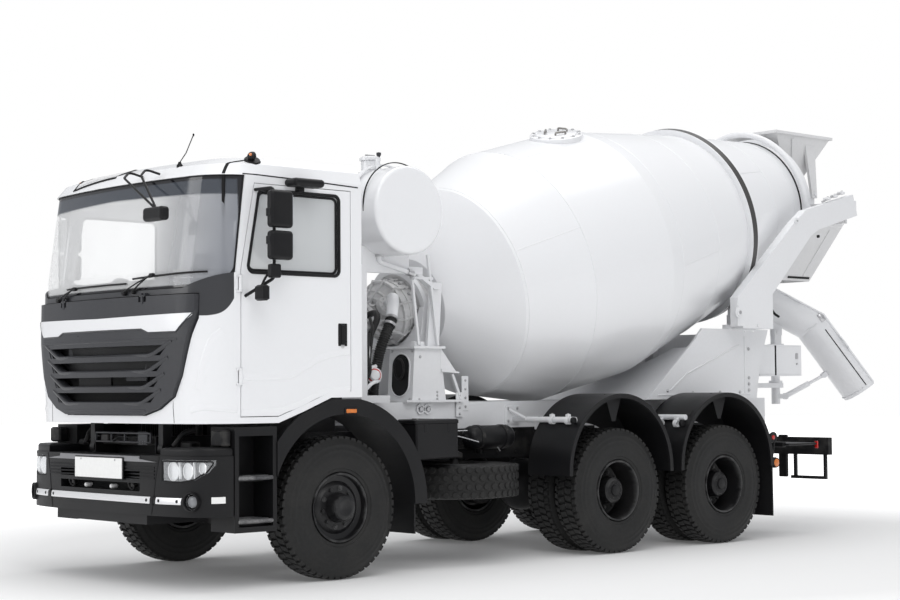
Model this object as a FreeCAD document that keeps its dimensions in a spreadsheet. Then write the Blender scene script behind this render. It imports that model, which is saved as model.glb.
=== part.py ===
import FreeCAD, Part
import math
import os
import re
from types import SimpleNamespace

import Sketcher

# Three-axle concrete mixer truck, millimetres. +X is forward, +Y is the truck's left, +Z is up.
# The origin is on the ground under the middle of the whole truck. The driver sits on the right.

SIZES = {
    # running gear
    "front_axle_x": 3115, "wheelbase": 3060, "bogie_spread": 1430,
    "tyre_radius": 542.5, "tyre_width": 285, "bead_radius": 262, "seat_gap": 0.3,
    "front_wheel_y": 1047, "twin_outer_y": 1064, "twin_pitch": 325,
    "kingpin_y": 930, "kingpin_radius": 22, "stub_radius": 42, "hub_radius": 115, "run_gap": 0.5,
    "axle_tube_radius": 62, "diff_radius": 235, "drum_brake_radius": 205,
    "beam_height": 95, "beam_width": 90, "beam_drop": 105, "steer_arm": 130, "tie_pin": 9,
    # chassis
    "rail_y": 355, "rail_width": 75, "rail_bottom": 830, "rail_height": 260,
    "rail_front": 1150, "rail_back": 6080, "flange": 10, "hitch_wide": 160, "hitch_high": 100,
    "hitch_hole": 10.5,
    "spring_width": 76, "spring_thick": 60, "front_spring_half": 760,
    "subframe_height": 230, "subframe_front": -950, "cross_height": 120,
    "cross_width": 90,
    "engine_front": 620, "engine_length": 1250, "engine_width": 640, "engine_bottom": 760,
    "engine_height": 540, "gearcase_length": 690, "prop_radius": 48,
    # cab
    "cab_front": 1350, "cab_back": -155, "cab_half": 1250, "cab_bottom": 1190, "cab_rear_bottom": 1370,
    "belt_z": 2300, "header_z": 2985, "roof_rise": 145, "front_round": 6000, "corner_round": 380,
    "screen_rake": 100, "screen_bottom": 2165, "screen_flat": 960, "roof_front_back": 230,
    "roof_side_in": 95, "chin_back": 15, "cab_wall": 55,
    "arch_front": 630, "arch_mid": 400, "arch_back": 140, "arch_mid_z": 1270,
    "door_back": -50, "door_head": 55, "pillar_top": 75, "pillar_bottom": 48, "door_gap": 6, "sill": 45,
    "window_border": 62, "window_bottom": 2285, "window_back": 70, "glass": 6, "screen_glass": 8,
    "glass_inset": 22, "hinge_radius": 13, "hinge_pin": 6, "hinge_height": 90, "hinge_low": 1480,
    "hinge_high": 2150, "rear_window_half": 420, "rear_window_bottom": 2350, "rear_window_top": 2830,
    "grille_top": 2120, "grille_bottom": 1254, "grille_top_half": 1085, "grille_bottom_half": 550,
    "slot_half": 670, "slot_spread": 342,
    "grille_proud": 28, "grille_slots": 4, "grille_slot_height": 74, "grille_frame": 150,
    "lid_gap": 7, "lid_shoulder": 120, "lid_sweep": 60, "lid_hinge_y": 560, "lid_pin": 5,
    "lid_barrel": 9, "tilt_x": 1100, "tilt_z": 1000, "tilt_pin": 22, "tilt_lug": 50, "tilt_lug_y": 450,
    "seat_y": 560, "seat_width": 500, "dash_depth": 330, "steering_wheel_radius": 225,
    # mirrors
    "mirror_x": 775, "mirror_y": 1450, "mirror_z": 2610, "mirror_height": 500, "mirror_width": 200,
    "mirror_depth": 75, "mirror_tube": 12, "front_mirror_y": 915,
    # front end
    "bumper_front": 1378, "bumper_half": 1235, "bumper_top": 960, "bumper_bottom": 530,
    "bumper_depth": 360, "bumper_bow": 3.5, "bumper_wall": 60, "shoulder_rise": 60, "shoulder_in": 790, "lamp_width": 402, "lamp_height": 165,
    "lamp_top": 935, "lamp_in": 13, "fog_radius": 61, "fog_in": 135,
    "step_front": 1010, "step_back": 640, "step_bottom": 410, "step_depth": 300, "step_top": 1165,
    "fender_radius": 700, "fender_wall": 18, "fender_band": 105, "fender_inner": 780, "flap_bottom": 310,
    # side equipment
    "battery_front": -710, "battery_length": 690, "battery_bottom": 870, "battery_height": 320,
    "battery_depth": 560, "spare_x": -1640, "spare_y": 640, "spare_bottom": 530,
    "tank_front": -760, "fuel_length": 1250, "fuel_radius": 290, "fuel_y": 860, "fuel_z": 800,
    "bogie_fender_radius": 660, "bogie_fender_z": 720, "bogie_fender_inner": 750,
    "bogie_fender_bottom": 690, "rear_flap_bottom": 220, "bracket_tube": 25,
    "tail_half": 1200, "tail_bottom": 760, "tail_height": 170, "tail_depth": 60,
    # mixer
    "ring_x": -5250, "ring_z": 3040, "drum_tilt": 14, "drum_wall": 10, "ring_radius": 985,
    "ring_width": 90, "drum_radius": 1185, "drum_waist": 1160, "mouth_radius": 620, "ring_seat": 930,
    "dish_radius": 930, "nose_radius": 400, "mouth_reach": 1380, "barrel_back": 1480,
    "barrel_front": 2500, "dish_front": 3150, "nose_front": 3600,
    "roller_radius": 125, "roller_width": 110, "roller_angle": 35, "roller_pin": 30, "roller_gap": 0.5,
    "flange_radius": 300, "gear_radius": 255, "gear_length": 500, "motor_radius": 120,
    "motor_length": 260, "pedestal_half": 460, "pedestal_inner": 140, "pedestal_oval": 85,
    "pedestal_front": -1370, "pedestal_back": -1660, "pedestal_top": 1770, "plate": 12, "cradle_thick": 40,
    "rear_base_front": -3950, "rear_base_back": -5560, "rear_top_front": -4750, "rear_top_z": 1990,
    "rear_half": 740, "rear_plate": 25, "arm_half": 925, "arm_width": 90,
    "arm_foot_front": -5000, "arm_foot_back": -5540, "arm_foot_rise": 290, "arm_bend_x": -6100,
    "arm_bend_z": 3185, "arm_tip_x": -6890, "arm_tip_z": 3390, "arm_depth": 210,
    "hoop_radius": 745, "hoop_tube": 30, "hoop_reach": 1180,
    "hopper_top": 4090, "hopper_front": -6450, "hopper_back": -7400, "hopper_half": 340,
    "hopper_throat_z": 3600, "hopper_throat_front": -6830, "hopper_throat_back": -7060,
    "hopper_throat_half": 170, "hopper_pivot_x": -7150, "hopper_pivot_z": 3470, "sheet_metal": 8,
    "hopper_pin": 20, "spout_tip": -6440, "spout_drop": 160, "spout_deep": 130, "spout_back_drop": 120,
    "ear_share": 0.78,
    "collector_top": 3160, "collector_bottom": 2540, "collector_front": -6330, "collector_back": -7420,
    "collector_out_front": -6560, "collector_out_back": -7080, "collector_half": 480,
    "collector_out_half": 260,
    "chute_x": -6820, "chute_post": 45, "chute_post_bottom": 1250, "chute_turn": 39,
    "chute_radius": 240, "chute_wall": 12, "chute_head_z": 2440, "chute_head_out": -150,
    "chute_pivot_z": 2000, "chute_pin_out": 10, "chute_pin": 16, "chute_rim": 60, "jack_pin": 12,
    "jack_play": 2, "chute_upper": 650, "chute_lower": 880,
    "chute_upper_dip": 28, "chute_lower_dip": 54, "jack_share": 0.6, "jack_drop": 34,
    "jack_bottom_z": 1330, "jack_out": 100, "jack_tube": 28, "jack_rod": 17,
    "tool_front": -5790, "tool_back": -6470, "tool_inner": 130, "tool_outer": 600, "tool_bottom": 1540,
    "tool_top": 1850,
    # water tank
    "water_x": -950, "water_z": 2870, "water_radius": 360, "water_half": 900, "water_dish": 60,
    "post": 60, "post_y": 560, "post_front": -720, "saddle_z": 2440,
    "hose_radius": 27, "hose_bend": 140,
}

doc = FreeCAD.newDocument("ConcreteMixerTruck")
sheet = doc.addObject("Spreadsheet::Sheet", "Sizes")
for row, (alias, number) in enumerate(SIZES.items(), start=1):
    sheet.set("A" + str(row), alias)
    sheet.set("B" + str(row), str(number))
    sheet.setAlias("B" + str(row), alias)
doc.recompute()
d = SimpleNamespace(**{alias: float(sheet.get(alias)) for alias in SIZES})
roof_z = d.header_z + d.roof_rise
door_top = d.header_z - d.door_head

subparts = []
V = FreeCAD.Vector
X_AXIS = V(1, 0, 0)
Y_AXIS = V(0, 1, 0)
Z_AXIS = V(0, 0, 1)


# ---------------------------------------------------------------- bound objects

def cells(text):
    """An expression over the sheet's cells, from text that names their aliases."""
    return re.sub(r"[a-z_]+", lambda word: "Sizes." + word.group(0), text)


def bind(item, **texts):
    for prop, text in texts.items():
        item.setExpression(prop.replace("__", "."), cells(text))


def move(item, x, y, z):
    for axis, text in zip("xyz", (x, y, z)):
        item.setExpression("Placement.Base." + axis, cells(text))


def block(name, x, y, z, length, width, height):
    """A box from its lowest corner; every argument is an expression over the sheet."""
    item = doc.addObject("Part::Box", name)
    bind(item, Length=length, Width=width, Height=height)
    move(item, x, y, z)
    return item


def bar(name, x, y, z, radius, length, direction=Z_AXIS):
    """A cylinder from the middle of its first end."""
    item = doc.addObject("Part::Cylinder", name)
    item.Placement.Rotation = FreeCAD.Rotation(Z_AXIS, direction)
    bind(item, Radius=radius, Height=length)
    move(item, x, y, z)
    return item


def joined(node, items):
    item = doc.addObject("Part::MultiFuse", node)
    item.Shapes = items
    item.Refine = True
    return keep(item)


def grouped(node, items):
    item = doc.addObject("Part::Compound", node)
    item.Links = items
    return keep(item)


def keep(item):
    item.Label = item.Name
    subparts.append(item)
    return item


def feature(node, shape):
    item = doc.addObject("Part::Feature", node)
    item.Shape = shape
    return keep(item)


def turned(node, profile, base, direction, kept=True):
    """A PartDesign body turned about its own X axis from (along, radius) expressions."""
    body = doc.addObject("PartDesign::Body", node)
    sketch = body.newObject("Sketcher::SketchObject", node + "_profile")
    plane = [part for part in body.Origin.OriginFeatures if part.Role == "XY_Plane"][0]
    sketch.AttachmentSupport = (plane, [""])
    sketch.MapMode = "FlatFace"
    points = [V(value(along), value(radius), 0) for along, radius in profile]
    count = len(points)
    for index in range(count):
        sketch.addGeometry(Part.LineSegment(points[index], points[(index + 1) % count]), False)
    for index in range(count):
        sketch.addConstraint(Sketcher.Constraint("Coincident", index, 2, (index + 1) % count, 1))
    for index, pair in enumerate(profile):
        for kind, text, size in zip(("DistanceX", "DistanceY"), pair, (points[index].x, points[index].y)):
            row = sketch.addConstraint(Sketcher.Constraint(kind, -1, 1, index, 1, size))
            sketch.setExpression("Constraints[" + str(row) + "]", cells(text))
    turn = body.newObject("PartDesign::Revolution", node + "_turn")
    turn.Profile = sketch
    turn.ReferenceAxis = (sketch, ["H_Axis"])
    turn.Angle = 360
    body.Placement = FreeCAD.Placement(base, FreeCAD.Rotation(X_AXIS, direction))
    return keep(body) if kept else body


probe = doc.addObject("App::FeaturePython", "Probe")
probe.addProperty("App::PropertyFloat", "Result")


def value(text):
    """What an expression over the sheet gives now."""
    probe.setExpression("Result", cells(text))
    probe.recompute()
    return probe.Result


# ---------------------------------------------------------------- plain shapes

def at(x):
    """A length measured forward from the front axle, in the truck's frame."""
    return d.front_axle_x + x


def box(x0, x1, y0, y1, z0, z1):
    return Part.makeBox(x1 - x0, y1 - y0, z1 - z0, V(x0, y0, z0))


def rod(start, end, radius):
    return Part.makeCylinder(radius, (end - start).Length, start, end - start)


def prism_y(points, y0, y1):
    """A side outline of (x, z) points, from y0 to y1."""
    wire = Part.makePolygon([V(x, y0, z) for x, z in points + points[:1]])
    return Part.Face(wire).extrude(V(0, y1 - y0, 0))


def prism_x(points, x0, x1):
    """A front outline of (y, z) points, from x0 to x1."""
    wire = Part.makePolygon([V(x0, y, z) for y, z in points + points[:1]])
    return Part.Face(wire).extrude(V(x1 - x0, 0, 0))


def prism_z(points, z0, z1):
    wire = Part.makePolygon([V(x, y, z0) for x, y in points + points[:1]])
    return Part.Face(wire).extrude(V(0, 0, z1 - z0))


def other_side(shape):
    return shape.mirror(V(0, 0, 0), Y_AXIS)


def pair(shape):
    """A shape on the left and its mirror image on the right, which do not touch."""
    return Part.makeCompound([shape, other_side(shape)])


def cut_all(shape, tools):
    for tool in tools:
        shape = shape.cut(tool)
    return shape


def one(shapes):
    return shapes[0].multiFuse(shapes[1:]).removeSplitter()


def funnel(top, bottom, thick):
    """An open four-sided hopper between two (x0, x1, y0, y1, z) rectangles, and the room inside it."""
    def skin(inset):
        rings = []
        for x0, x1, y0, y1, z in (bottom, top):
            x0, x1, y0, y1 = x0 + inset, x1 - inset, y0 + inset, y1 - inset
            corners = [V(x0, y0, z), V(x1, y0, z), V(x1, y1, z), V(x0, y1, z), V(x0, y0, z)]
            rings.append(Part.makePolygon(corners))
        return Part.makeLoft(rings, True, True)
    room = skin(thick)
    return skin(0).cut(room), room


def tube_path(points, bend):
    """Straight runs joined by tangent arcs of one radius."""
    edges = []
    start = points[0]
    for before, corner, after in zip(points, points[1:], points[2:]):
        back = (before - corner).normalize()
        ahead = (after - corner).normalize()
        half = back.getAngle(ahead) / 2
        reach = bend / math.tan(half)
        first = corner + back * reach
        last = corner + ahead * reach
        middle = (back + ahead).normalize()
        centre = corner + middle * (bend / math.sin(half))
        edges.append(Part.LineSegment(start, first).toShape())
        edges.append(Part.Arc(first, centre - middle * bend, last).toShape())
        start = last
    edges.append(Part.LineSegment(start, points[-1]).toShape())
    return Part.Wire(edges)


def tube(points, radius, bend):
    path = tube_path(points, bend)
    ring = Part.Wire(Part.Circle(points[0], points[1] - points[0], radius).toShape())
    return path.makePipeShell([ring], True, True)


# ---------------------------------------------------------------- wheels

TYRE = [
    ("28", "bead_radius"), ("0", "bead_radius + 110"), ("22", "tyre_radius - 36"), ("44", "tyre_radius"),
    ("tyre_width - 44", "tyre_radius"), ("tyre_width - 22", "tyre_radius - 36"),
    ("tyre_width", "bead_radius + 110"), ("tyre_width - 28", "bead_radius"),
]


def wheel_axis(side):
    return V(0, side, 0)


def tyre_at(node, x, y, side, kept=True):
    """A tyre whose middle plane is y from the centre line, on the side of that sign."""
    base = V(x, side * (y - d.tyre_width / 2), d.tyre_radius)
    return turned(node, TYRE, base, wheel_axis(side), kept)


RIM_OUT = "bead_radius - seat_gap"
FRONT_RIM = [
    ("20", "bead_radius - 18"), ("20", RIM_OUT), ("tyre_width - 20", RIM_OUT),
    ("tyre_width - 20", "bead_radius - 18"), ("tyre_width - 60", "bead_radius - 24"),
    ("tyre_width - 70", "bead_radius - 62"), ("tyre_width - 48", "hub_radius + 55"),
    ("tyre_width - 48", "hub_radius"), ("tyre_width + 34", "hub_radius - 18"),
    ("tyre_width + 34", "stub_radius + run_gap"), ("tyre_width / 2 - 40", "stub_radius + run_gap"),
    ("tyre_width / 2 - 40", "hub_radius"), ("tyre_width - 66", "hub_radius"),
    ("tyre_width - 66", "hub_radius + 50"), ("tyre_width - 88", "bead_radius - 64"),
    ("tyre_width - 82", "bead_radius - 18"),
]


def twin_rims(node, x, side):
    """Both rims, their discs back to back, and the hub, as one turned piece."""
    width = "(tyre_width - 40)"
    inner = "bead_radius - 18"
    mid = "(twin_pitch / 2)"
    profile = [
        ("20", inner), ("20", RIM_OUT), ("20 + " + width, RIM_OUT), ("20 + " + width, inner),
        (mid + " + tyre_width / 2 - 14", "hub_radius + 70"),
        (mid + " + tyre_width / 2 + 14", "hub_radius + 70"),
        ("20 + twin_pitch", inner), ("20 + twin_pitch", RIM_OUT),
        ("20 + twin_pitch + " + width, RIM_OUT), ("20 + twin_pitch + " + width, inner),
        ("20 + twin_pitch + 30", "bead_radius - 32"),
        (mid + " + tyre_width / 2 + 30", "hub_radius + 60"),
        (mid + " + tyre_width / 2 + 30", "hub_radius + 20"),
        ("twin_pitch + tyre_width - 70", "hub_radius - 5"),
        ("twin_pitch + tyre_width - 55", "hub_radius - 25"),
        ("twin_pitch + tyre_width - 55", "40"),
        ("twin_pitch + tyre_width / 2 - 30", "40"),
        ("twin_pitch + tyre_width / 2 - 30", "axle_tube_radius + run_gap"),
        ("60", "axle_tube_radius + run_gap"), ("60", "drum_brake_radius"),
        (mid + " + tyre_width / 2 - 60", "drum_brake_radius"),
        (mid + " + tyre_width / 2 - 30", "hub_radius + 60"),
        ("20 + " + width + " - 30", "bead_radius - 32"),
    ]
    base = V(x, side * (d.twin_outer_y - d.twin_pitch - d.tyre_width / 2), d.tyre_radius)
    turned(node, profile, base, wheel_axis(side))


SIDES = (("left", 1), ("right", -1))
mid_x = d.front_axle_x - d.wheelbase
rear_x = mid_x - d.bogie_spread
for name, side in SIDES:
    tyre_at("front_tyre_" + name, d.front_axle_x, d.front_wheel_y, side)
    base = V(d.front_axle_x, side * (d.front_wheel_y - d.tyre_width / 2), d.tyre_radius)
    turned("front_rim_" + name, FRONT_RIM, base, wheel_axis(side))
    for place, x in (("mid", mid_x), ("rear", rear_x)):
        outer = tyre_at(place + "_outer_tyre_" + name, x, d.twin_outer_y, side, False)
        inner = tyre_at(place + "_inner_tyre_" + name, x, d.twin_outer_y - d.twin_pitch, side, False)
        grouped(place + "_tyres_" + name, [outer, inner])
        twin_rims(place + "_rims_" + name, x, side)


# ---------------------------------------------------------------- axles and steering

def front_axle():
    x = d.front_axle_x
    wheel_z = d.tyre_radius
    low = wheel_z - d.beam_drop - d.beam_height
    end = d.kingpin_y - 30
    half = d.beam_width / 2
    outline = [(-end, wheel_z - 48), (-end, wheel_z + 48), (-end + 90, wheel_z + 48),
               (-end + 230, low + d.beam_height), (end - 230, low + d.beam_height),
               (end - 90, wheel_z + 48), (end, wheel_z + 48), (end, wheel_z - 48),
               (end - 50, wheel_z - 48), (end - 200, low), (-end + 200, low), (-end + 50, wheel_z - 48)]
    beam = prism_x(outline, x - half, x + half)
    parts = [beam]
    for side in (1, -1):
        eye = rod(V(x, side * d.kingpin_y, wheel_z - 48), V(x, side * d.kingpin_y, wheel_z + 48), 42)
        parts.append(eye)
        pin = rod(V(x, side * d.kingpin_y, wheel_z - 112), V(x, side * d.kingpin_y, wheel_z + 112),
                  d.kingpin_radius)
        parts.append(pin)
    feature("front_axle", one(parts))


def knuckle(name, side):
    """The swivel that carries one steered wheel: a fork on the kingpin, and the stub axle."""
    x = d.front_axle_x
    z = d.tyre_radius
    y = d.kingpin_y
    fork = box(x - 42, x + 42, y - 42, y + 70, z - 105, z + 105)
    fork = fork.fuse(rod(V(x, y + 60, z), V(x, d.front_wheel_y - 40 - d.run_gap, z), 105))
    gap = box(x - 60, x + 60, y - 60, y + 46, z - 50, z + 50)
    bore = rod(V(x, y, z - 200), V(x, y, z + 200), d.kingpin_radius + d.run_gap)
    stub_end = d.front_wheel_y + d.tyre_width / 2 + 20
    stub = rod(V(x, y + 60, z), V(x, stub_end, z), d.stub_radius)
    arm_x = x - d.steer_arm
    arm = box(arm_x, x - 30, y - 25, y + 25, z - 132, z - 104)
    arm = arm.fuse(rod(V(arm_x, y, z - 132), V(arm_x, y, z - 104), 25))
    ball_pin = rod(V(arm_x, y, z - 172), V(arm_x, y, z - 120), d.tie_pin)
    shape = one([fork.cut(gap), stub, arm, ball_pin]).cut(bore)
    feature("knuckle_" + name, shape if side > 0 else other_side(shape))


def tie_rod():
    """The rod behind the axle that holds the two knuckles parallel."""
    x = d.front_axle_x - d.steer_arm
    z = d.tyre_radius - 151
    shape = rod(V(x, -d.kingpin_y, z), V(x, d.kingpin_y, z), 18)
    for y in (d.kingpin_y, -d.kingpin_y):
        shape = shape.fuse(rod(V(x, y, z - 14), V(x, y, z + 14), 26))
        shape = shape.cut(rod(V(x, y, z - 30), V(x, y, z + 30), d.tie_pin + d.run_gap))
    feature("tie_rod", shape.removeSplitter())


def drive_axles():
    shapes = []
    for x in (mid_x, rear_x):
        z = d.tyre_radius
        reach = d.twin_outer_y - 40
        tube_body = rod(V(x, -reach, z), V(x, reach, z), d.axle_tube_radius)
        ball = Part.makeSphere(d.diff_radius, V(x, 0, z + 20))
        nose = rod(V(x + 150, 0, z + 60), V(x + 340, 0, z + 60), 95)
        parts = [tube_body, ball, nose]
        for side in (1, -1):
            edge = side * (d.twin_outer_y - d.twin_pitch - d.tyre_width / 2)
            parts.append(rod(V(x, side * (abs(edge) - 60), z), V(x, side * (abs(edge) + 40), z),
                             d.drum_brake_radius - 20))
            spring_y = side * (d.rail_y + d.rail_width / 2)
            parts.append(box(x - 70, x + 70, spring_y - 40, spring_y + 40, z - 70, z + 95))
        shapes.append(one(parts))
    z = d.tyre_radius + 60
    shapes.append(rod(V(rear_x + 340, 0, z), V(mid_x - d.diff_radius + 20, 0, z), d.prop_radius))
    gearbox_end = at(d.engine_front - d.engine_length - d.gearcase_length)
    shaft = rod(V(gearbox_end + 100, 0, z + 320), V(mid_x + 330, 0, z), d.prop_radius)
    shapes.append(shaft.common(box(mid_x, gearbox_end, -200, 200, 0, 2000)))
    feature("drive_axles", one(shapes))


front_axle()
for name, side in SIDES:
    knuckle(name, side)
tie_rod()
drive_axles()


# ---------------------------------------------------------------- chassis

def leaf_springs():
    y0 = d.rail_y - d.spring_width / 2 + d.rail_width / 2
    y1 = y0 + d.spring_width
    rail_z = d.rail_bottom
    seat = d.tyre_radius - d.beam_drop
    half = d.front_spring_half
    x = d.front_axle_x
    thick = d.spring_thick
    front = prism_y([(x - half, rail_z), (x - half, rail_z - 60), (x - 180, seat),
                     (x + 180, seat), (x + half, rail_z - 60), (x + half, rail_z),
                     (x + half - 60, rail_z), (x + half - 60, rail_z - 40),
                     (x + 180, seat + thick + 40), (x - 180, seat + thick + 40),
                     (x - half + 60, rail_z - 40), (x - half + 60, rail_z)], y0, y1)
    top = d.tyre_radius + 95
    middle = (mid_x + rear_x) / 2
    half = d.bogie_spread / 2
    rear = prism_y([(middle - half - 70, top), (middle + half + 70, top), (middle + half + 70, top + 45),
                    (middle + 170, top + 120), (middle + 90, rail_z), (middle - 90, rail_z),
                    (middle - 170, top + 120), (middle - half - 70, top + 45)], y0, y1)
    feature("leaf_springs", Part.makeCompound([front, other_side(front), rear, other_side(rear)]))


def chassis_rails():
    """Two channel rails open to the inside, cross members, and the pins the cab tilts on."""
    x0 = at(-d.rail_back)
    x1 = at(d.rail_front)
    z0 = d.rail_bottom
    z1 = z0 + d.rail_height
    y0 = d.rail_y
    y1 = y0 + d.rail_width
    rail = box(x0, x1, y0, y1, z0, z1)
    rail = rail.cut(box(x0 - 1, x1 + 1, y0 - 1, y1 - d.flange, z0 + d.flange, z1 - d.flange))
    parts = [rail, other_side(rail)]
    web = y1 - d.flange
    for x in (at(900), at(-1800), at(-2400), (mid_x + rear_x) / 2, at(-d.rail_back + 60)):
        parts.append(box(x - 50, x + 50, -web, web, z0 + 60, z1 - 60))
    for side in (1, -1):
        inner, outer = sorted((side * (y1 - 2), side * (d.tilt_lug_y + 85)))
        parts.append(Part.makeCylinder(d.tilt_pin, outer - inner, V(at(d.tilt_x), inner, d.tilt_z), Y_AXIS))
        inner, outer = sorted((side * y1, side * (d.tilt_lug_y + 170)))
        parts.append(box(at(-110), at(-50), inner, outer, z1 - 90, z1 - 20))
        inner, outer = sorted((side * (d.tilt_lug_y + 90), side * (d.tilt_lug_y + 170)))
        parts.append(box(at(-110), at(-50), inner, outer, z1 - 90, d.cab_rear_bottom - d.seat_gap))
    parts.append(box(x0 - 20, x0 + 15, -130, 130, z1 - 150, z1 - 5))
    holes = []
    for y in (d.hitch_wide / 2, -d.hitch_wide / 2):
        for z in (z1 - 78 - d.hitch_high / 2, z1 - 78 + d.hitch_high / 2):
            holes.append(rod(V(x0 - 40, y, z), V(x0 + 150, y, z), d.hitch_hole))
    feature("chassis_rails", cut_all(one(parts), holes))


def subframe():
    """The white mixer frame on the rails, with the tubes that carry the fenders."""
    z0 = d.rail_bottom + d.rail_height
    z1 = z0 + d.subframe_height
    x1 = at(d.subframe_front)
    x0 = at(-d.rail_back)
    y0 = d.rail_y
    y1 = y0 + d.rail_width
    beam = box(x0, x1, y0, y1, z0, z1)
    parts = [beam, other_side(beam)]
    cross_top = z1 - 60
    for x in (x1 - 60, at(-2150), at(-3300), at(-4400), x0 + 60):
        parts.append(box(x - d.cross_width / 2, x + d.cross_width / 2, -y0, y0,
                         cross_top - d.cross_height, cross_top))
    fender_end = d.cab_half - 60
    for x, z in fender_tubes():
        for side in (1, -1):
            parts.append(rod(V(x, side * (y1 - 5), z), V(x, side * fender_end, z), d.bracket_tube))
    feature("subframe", one(parts))


def fender_tubes():
    """Where the cross tubes that lie on the twin arches run: (x, z)."""
    reach = d.bogie_fender_radius + d.bracket_tube
    angle = math.radians(40)
    z = d.bogie_fender_z + reach * math.sin(angle)
    return [(axle + sign * reach * math.cos(angle), z) for axle in (mid_x, rear_x) for sign in (1, -1)]


leaf_springs()
chassis_rails()
subframe()
block_x = "front_axle_x + engine_front - engine_length"
engine = block("engine_block", block_x, "-engine_width / 2", "engine_bottom",
               "engine_length", "engine_width", "engine_height")
gearcase = bar("engine_gearcase", block_x + " + 10", "0", "engine_bottom + 200", "170",
               "gearcase_length + 10", V(-1, 0, 0))
joined("engine", [engine, gearcase])


# ---------------------------------------------------------------- cab

def cab_section(z, front, half, inset):
    """The cab's plan outline at one height: a long front arc, two round corners, sides, back."""
    front -= inset
    half -= inset
    back = d.cab_back + inset
    big = d.front_round - inset
    small = d.corner_round - inset
    hub_x = front - big
    corner_x = hub_x + math.sqrt((big - small) ** 2 - (half - small) ** 2)
    spread = math.atan2(half - small, corner_x - hub_x)
    edge = V(hub_x + big * math.cos(spread), big * math.sin(spread), 0)
    side = V(corner_x, half, 0)
    turn = (math.pi / 2 + spread) / 2
    knee = V(corner_x + small * math.cos(turn), half - small + small * math.sin(turn), 0)

    def place(point, sign=1):
        return V(at(point.x), sign * point.y, z)
    nose = V(front, 0, 0)
    rear = V(back, half, 0)
    return Part.Wire([
        Part.LineSegment(place(rear, -1), place(side, -1)).toShape(),
        Part.Arc(place(side, -1), place(knee, -1), place(edge, -1)).toShape(),
        Part.Arc(place(edge, -1), place(nose), place(edge)).toShape(),
        Part.Arc(place(edge), place(knee), place(side)).toShape(),
        Part.LineSegment(place(side), place(rear)).toShape(),
        Part.LineSegment(place(rear), place(rear, -1)).toShape(),
    ])


def cab_solid(inset):
    """The whole cab's body, drawn in by the same depth on every side but the bottom."""
    top = roof_z - inset
    levels = [
        (d.cab_bottom - 20, d.cab_front - d.chin_back, d.cab_half),
        (d.belt_z - 500, d.cab_front + 8, d.cab_half),
        (d.belt_z, d.cab_front, d.cab_half),
        (d.header_z, d.cab_front - d.screen_rake, d.cab_half),
    ]
    roof_step = [
        ((top - d.header_z) * 0.6 + d.header_z, d.cab_front - d.screen_rake - d.roof_front_back * 0.3,
         d.cab_half - d.roof_side_in * 0.3),
        (top, d.cab_front - d.screen_rake - d.roof_front_back, d.cab_half - d.roof_side_in),
    ]
    lower = Part.makeLoft([cab_section(z, front, half, inset) for z, front, half in levels], True, True)
    upper = Part.makeLoft([cab_section(z, front, half, inset) for z, front, half in levels[-1:] + roof_step],
                          True, True)
    return lower.fuse(upper)


def lower_line(lift=0):
    """The cab's lower edge from the nose back over the wheel, as (x, z) points."""
    return [
        (at(d.cab_front + 200), d.cab_bottom + lift), (at(d.arch_front), d.cab_bottom + lift),
        (at(d.arch_mid), d.arch_mid_z + lift), (at(d.arch_back), d.cab_rear_bottom + lift),
        (at(d.cab_back - 200), d.cab_rear_bottom + lift),
    ]


def above(line):
    """All of the cab's height above a line that runs from front to back."""
    top = roof_z + 100
    return prism_y(line + [(line[-1][0], top), (line[0][0], top)], -3000, 3000)


def screen_back(z, extra=0):
    """How far forward the windscreen's side edge stands at a height."""
    share = (z - d.belt_z) / (d.header_z - d.belt_z)
    corner = d.cab_front - d.screen_rake * share - (d.cab_front - 1012)
    return at(corner - extra)


def door_front(z):
    share = (z - d.belt_z) / (d.header_z - d.belt_z)
    pillar = d.pillar_bottom + (d.pillar_top - d.pillar_bottom) * max(share, 0)
    return screen_back(max(z, d.belt_z), pillar)


def hinge_x():
    return door_front(d.belt_z)


outer_body = cab_solid(0)
inner_body = cab_solid(d.cab_wall)


def door_outline(shrink):
    """The left door seen from its side, drawn in by shrink all round."""
    low = lower_line(d.sill + shrink)
    back = at(d.door_back) + shrink
    front = hinge_x() - shrink
    return [
        (front, low[0][1]), low[1], low[2], (low[3][0], low[3][1]), (back, low[3][1]),
        (back, door_top - shrink), (door_front(door_top) - shrink, door_top - shrink),
        (door_front(d.belt_z) - shrink, d.belt_z),
    ]


def window_outline(shrink):
    """The side window seen from the side."""
    top = door_top - d.window_border + 8 - shrink
    low = d.window_bottom + shrink
    front_low = door_front(low) - d.window_border - shrink
    front_top = door_front(top) - d.window_border - shrink
    back = at(d.door_back) + d.window_back + 50 + shrink
    return [(front_low, low), (back, low), (back, top), (front_top, top)]


def rounded_y(outline, y0, y1, radius):
    shape = prism_y(outline, y0, y1)
    edges = [edge for edge in shape.Edges if abs(edge.tangentAt(edge.FirstParameter).y) > 0.99]
    return shape.makeFillet(radius, edges)


def screen_region():
    """The windscreen's opening: its lower edge rises at the corners."""
    low = d.screen_bottom
    high = d.header_z
    front = at(d.cab_front + 200)
    side = prism_y([(screen_back(d.belt_z), low), (front, low), (front, high),
                    (screen_back(high), high)], -3000, 3000)
    half = d.cab_half + 50
    flat = d.screen_flat
    face = prism_x([(-flat, low), (flat, low), (half, d.belt_z), (half, high), (-half, high),
                    (-half, d.belt_z)], at(0), front)
    return side.common(face)


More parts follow.
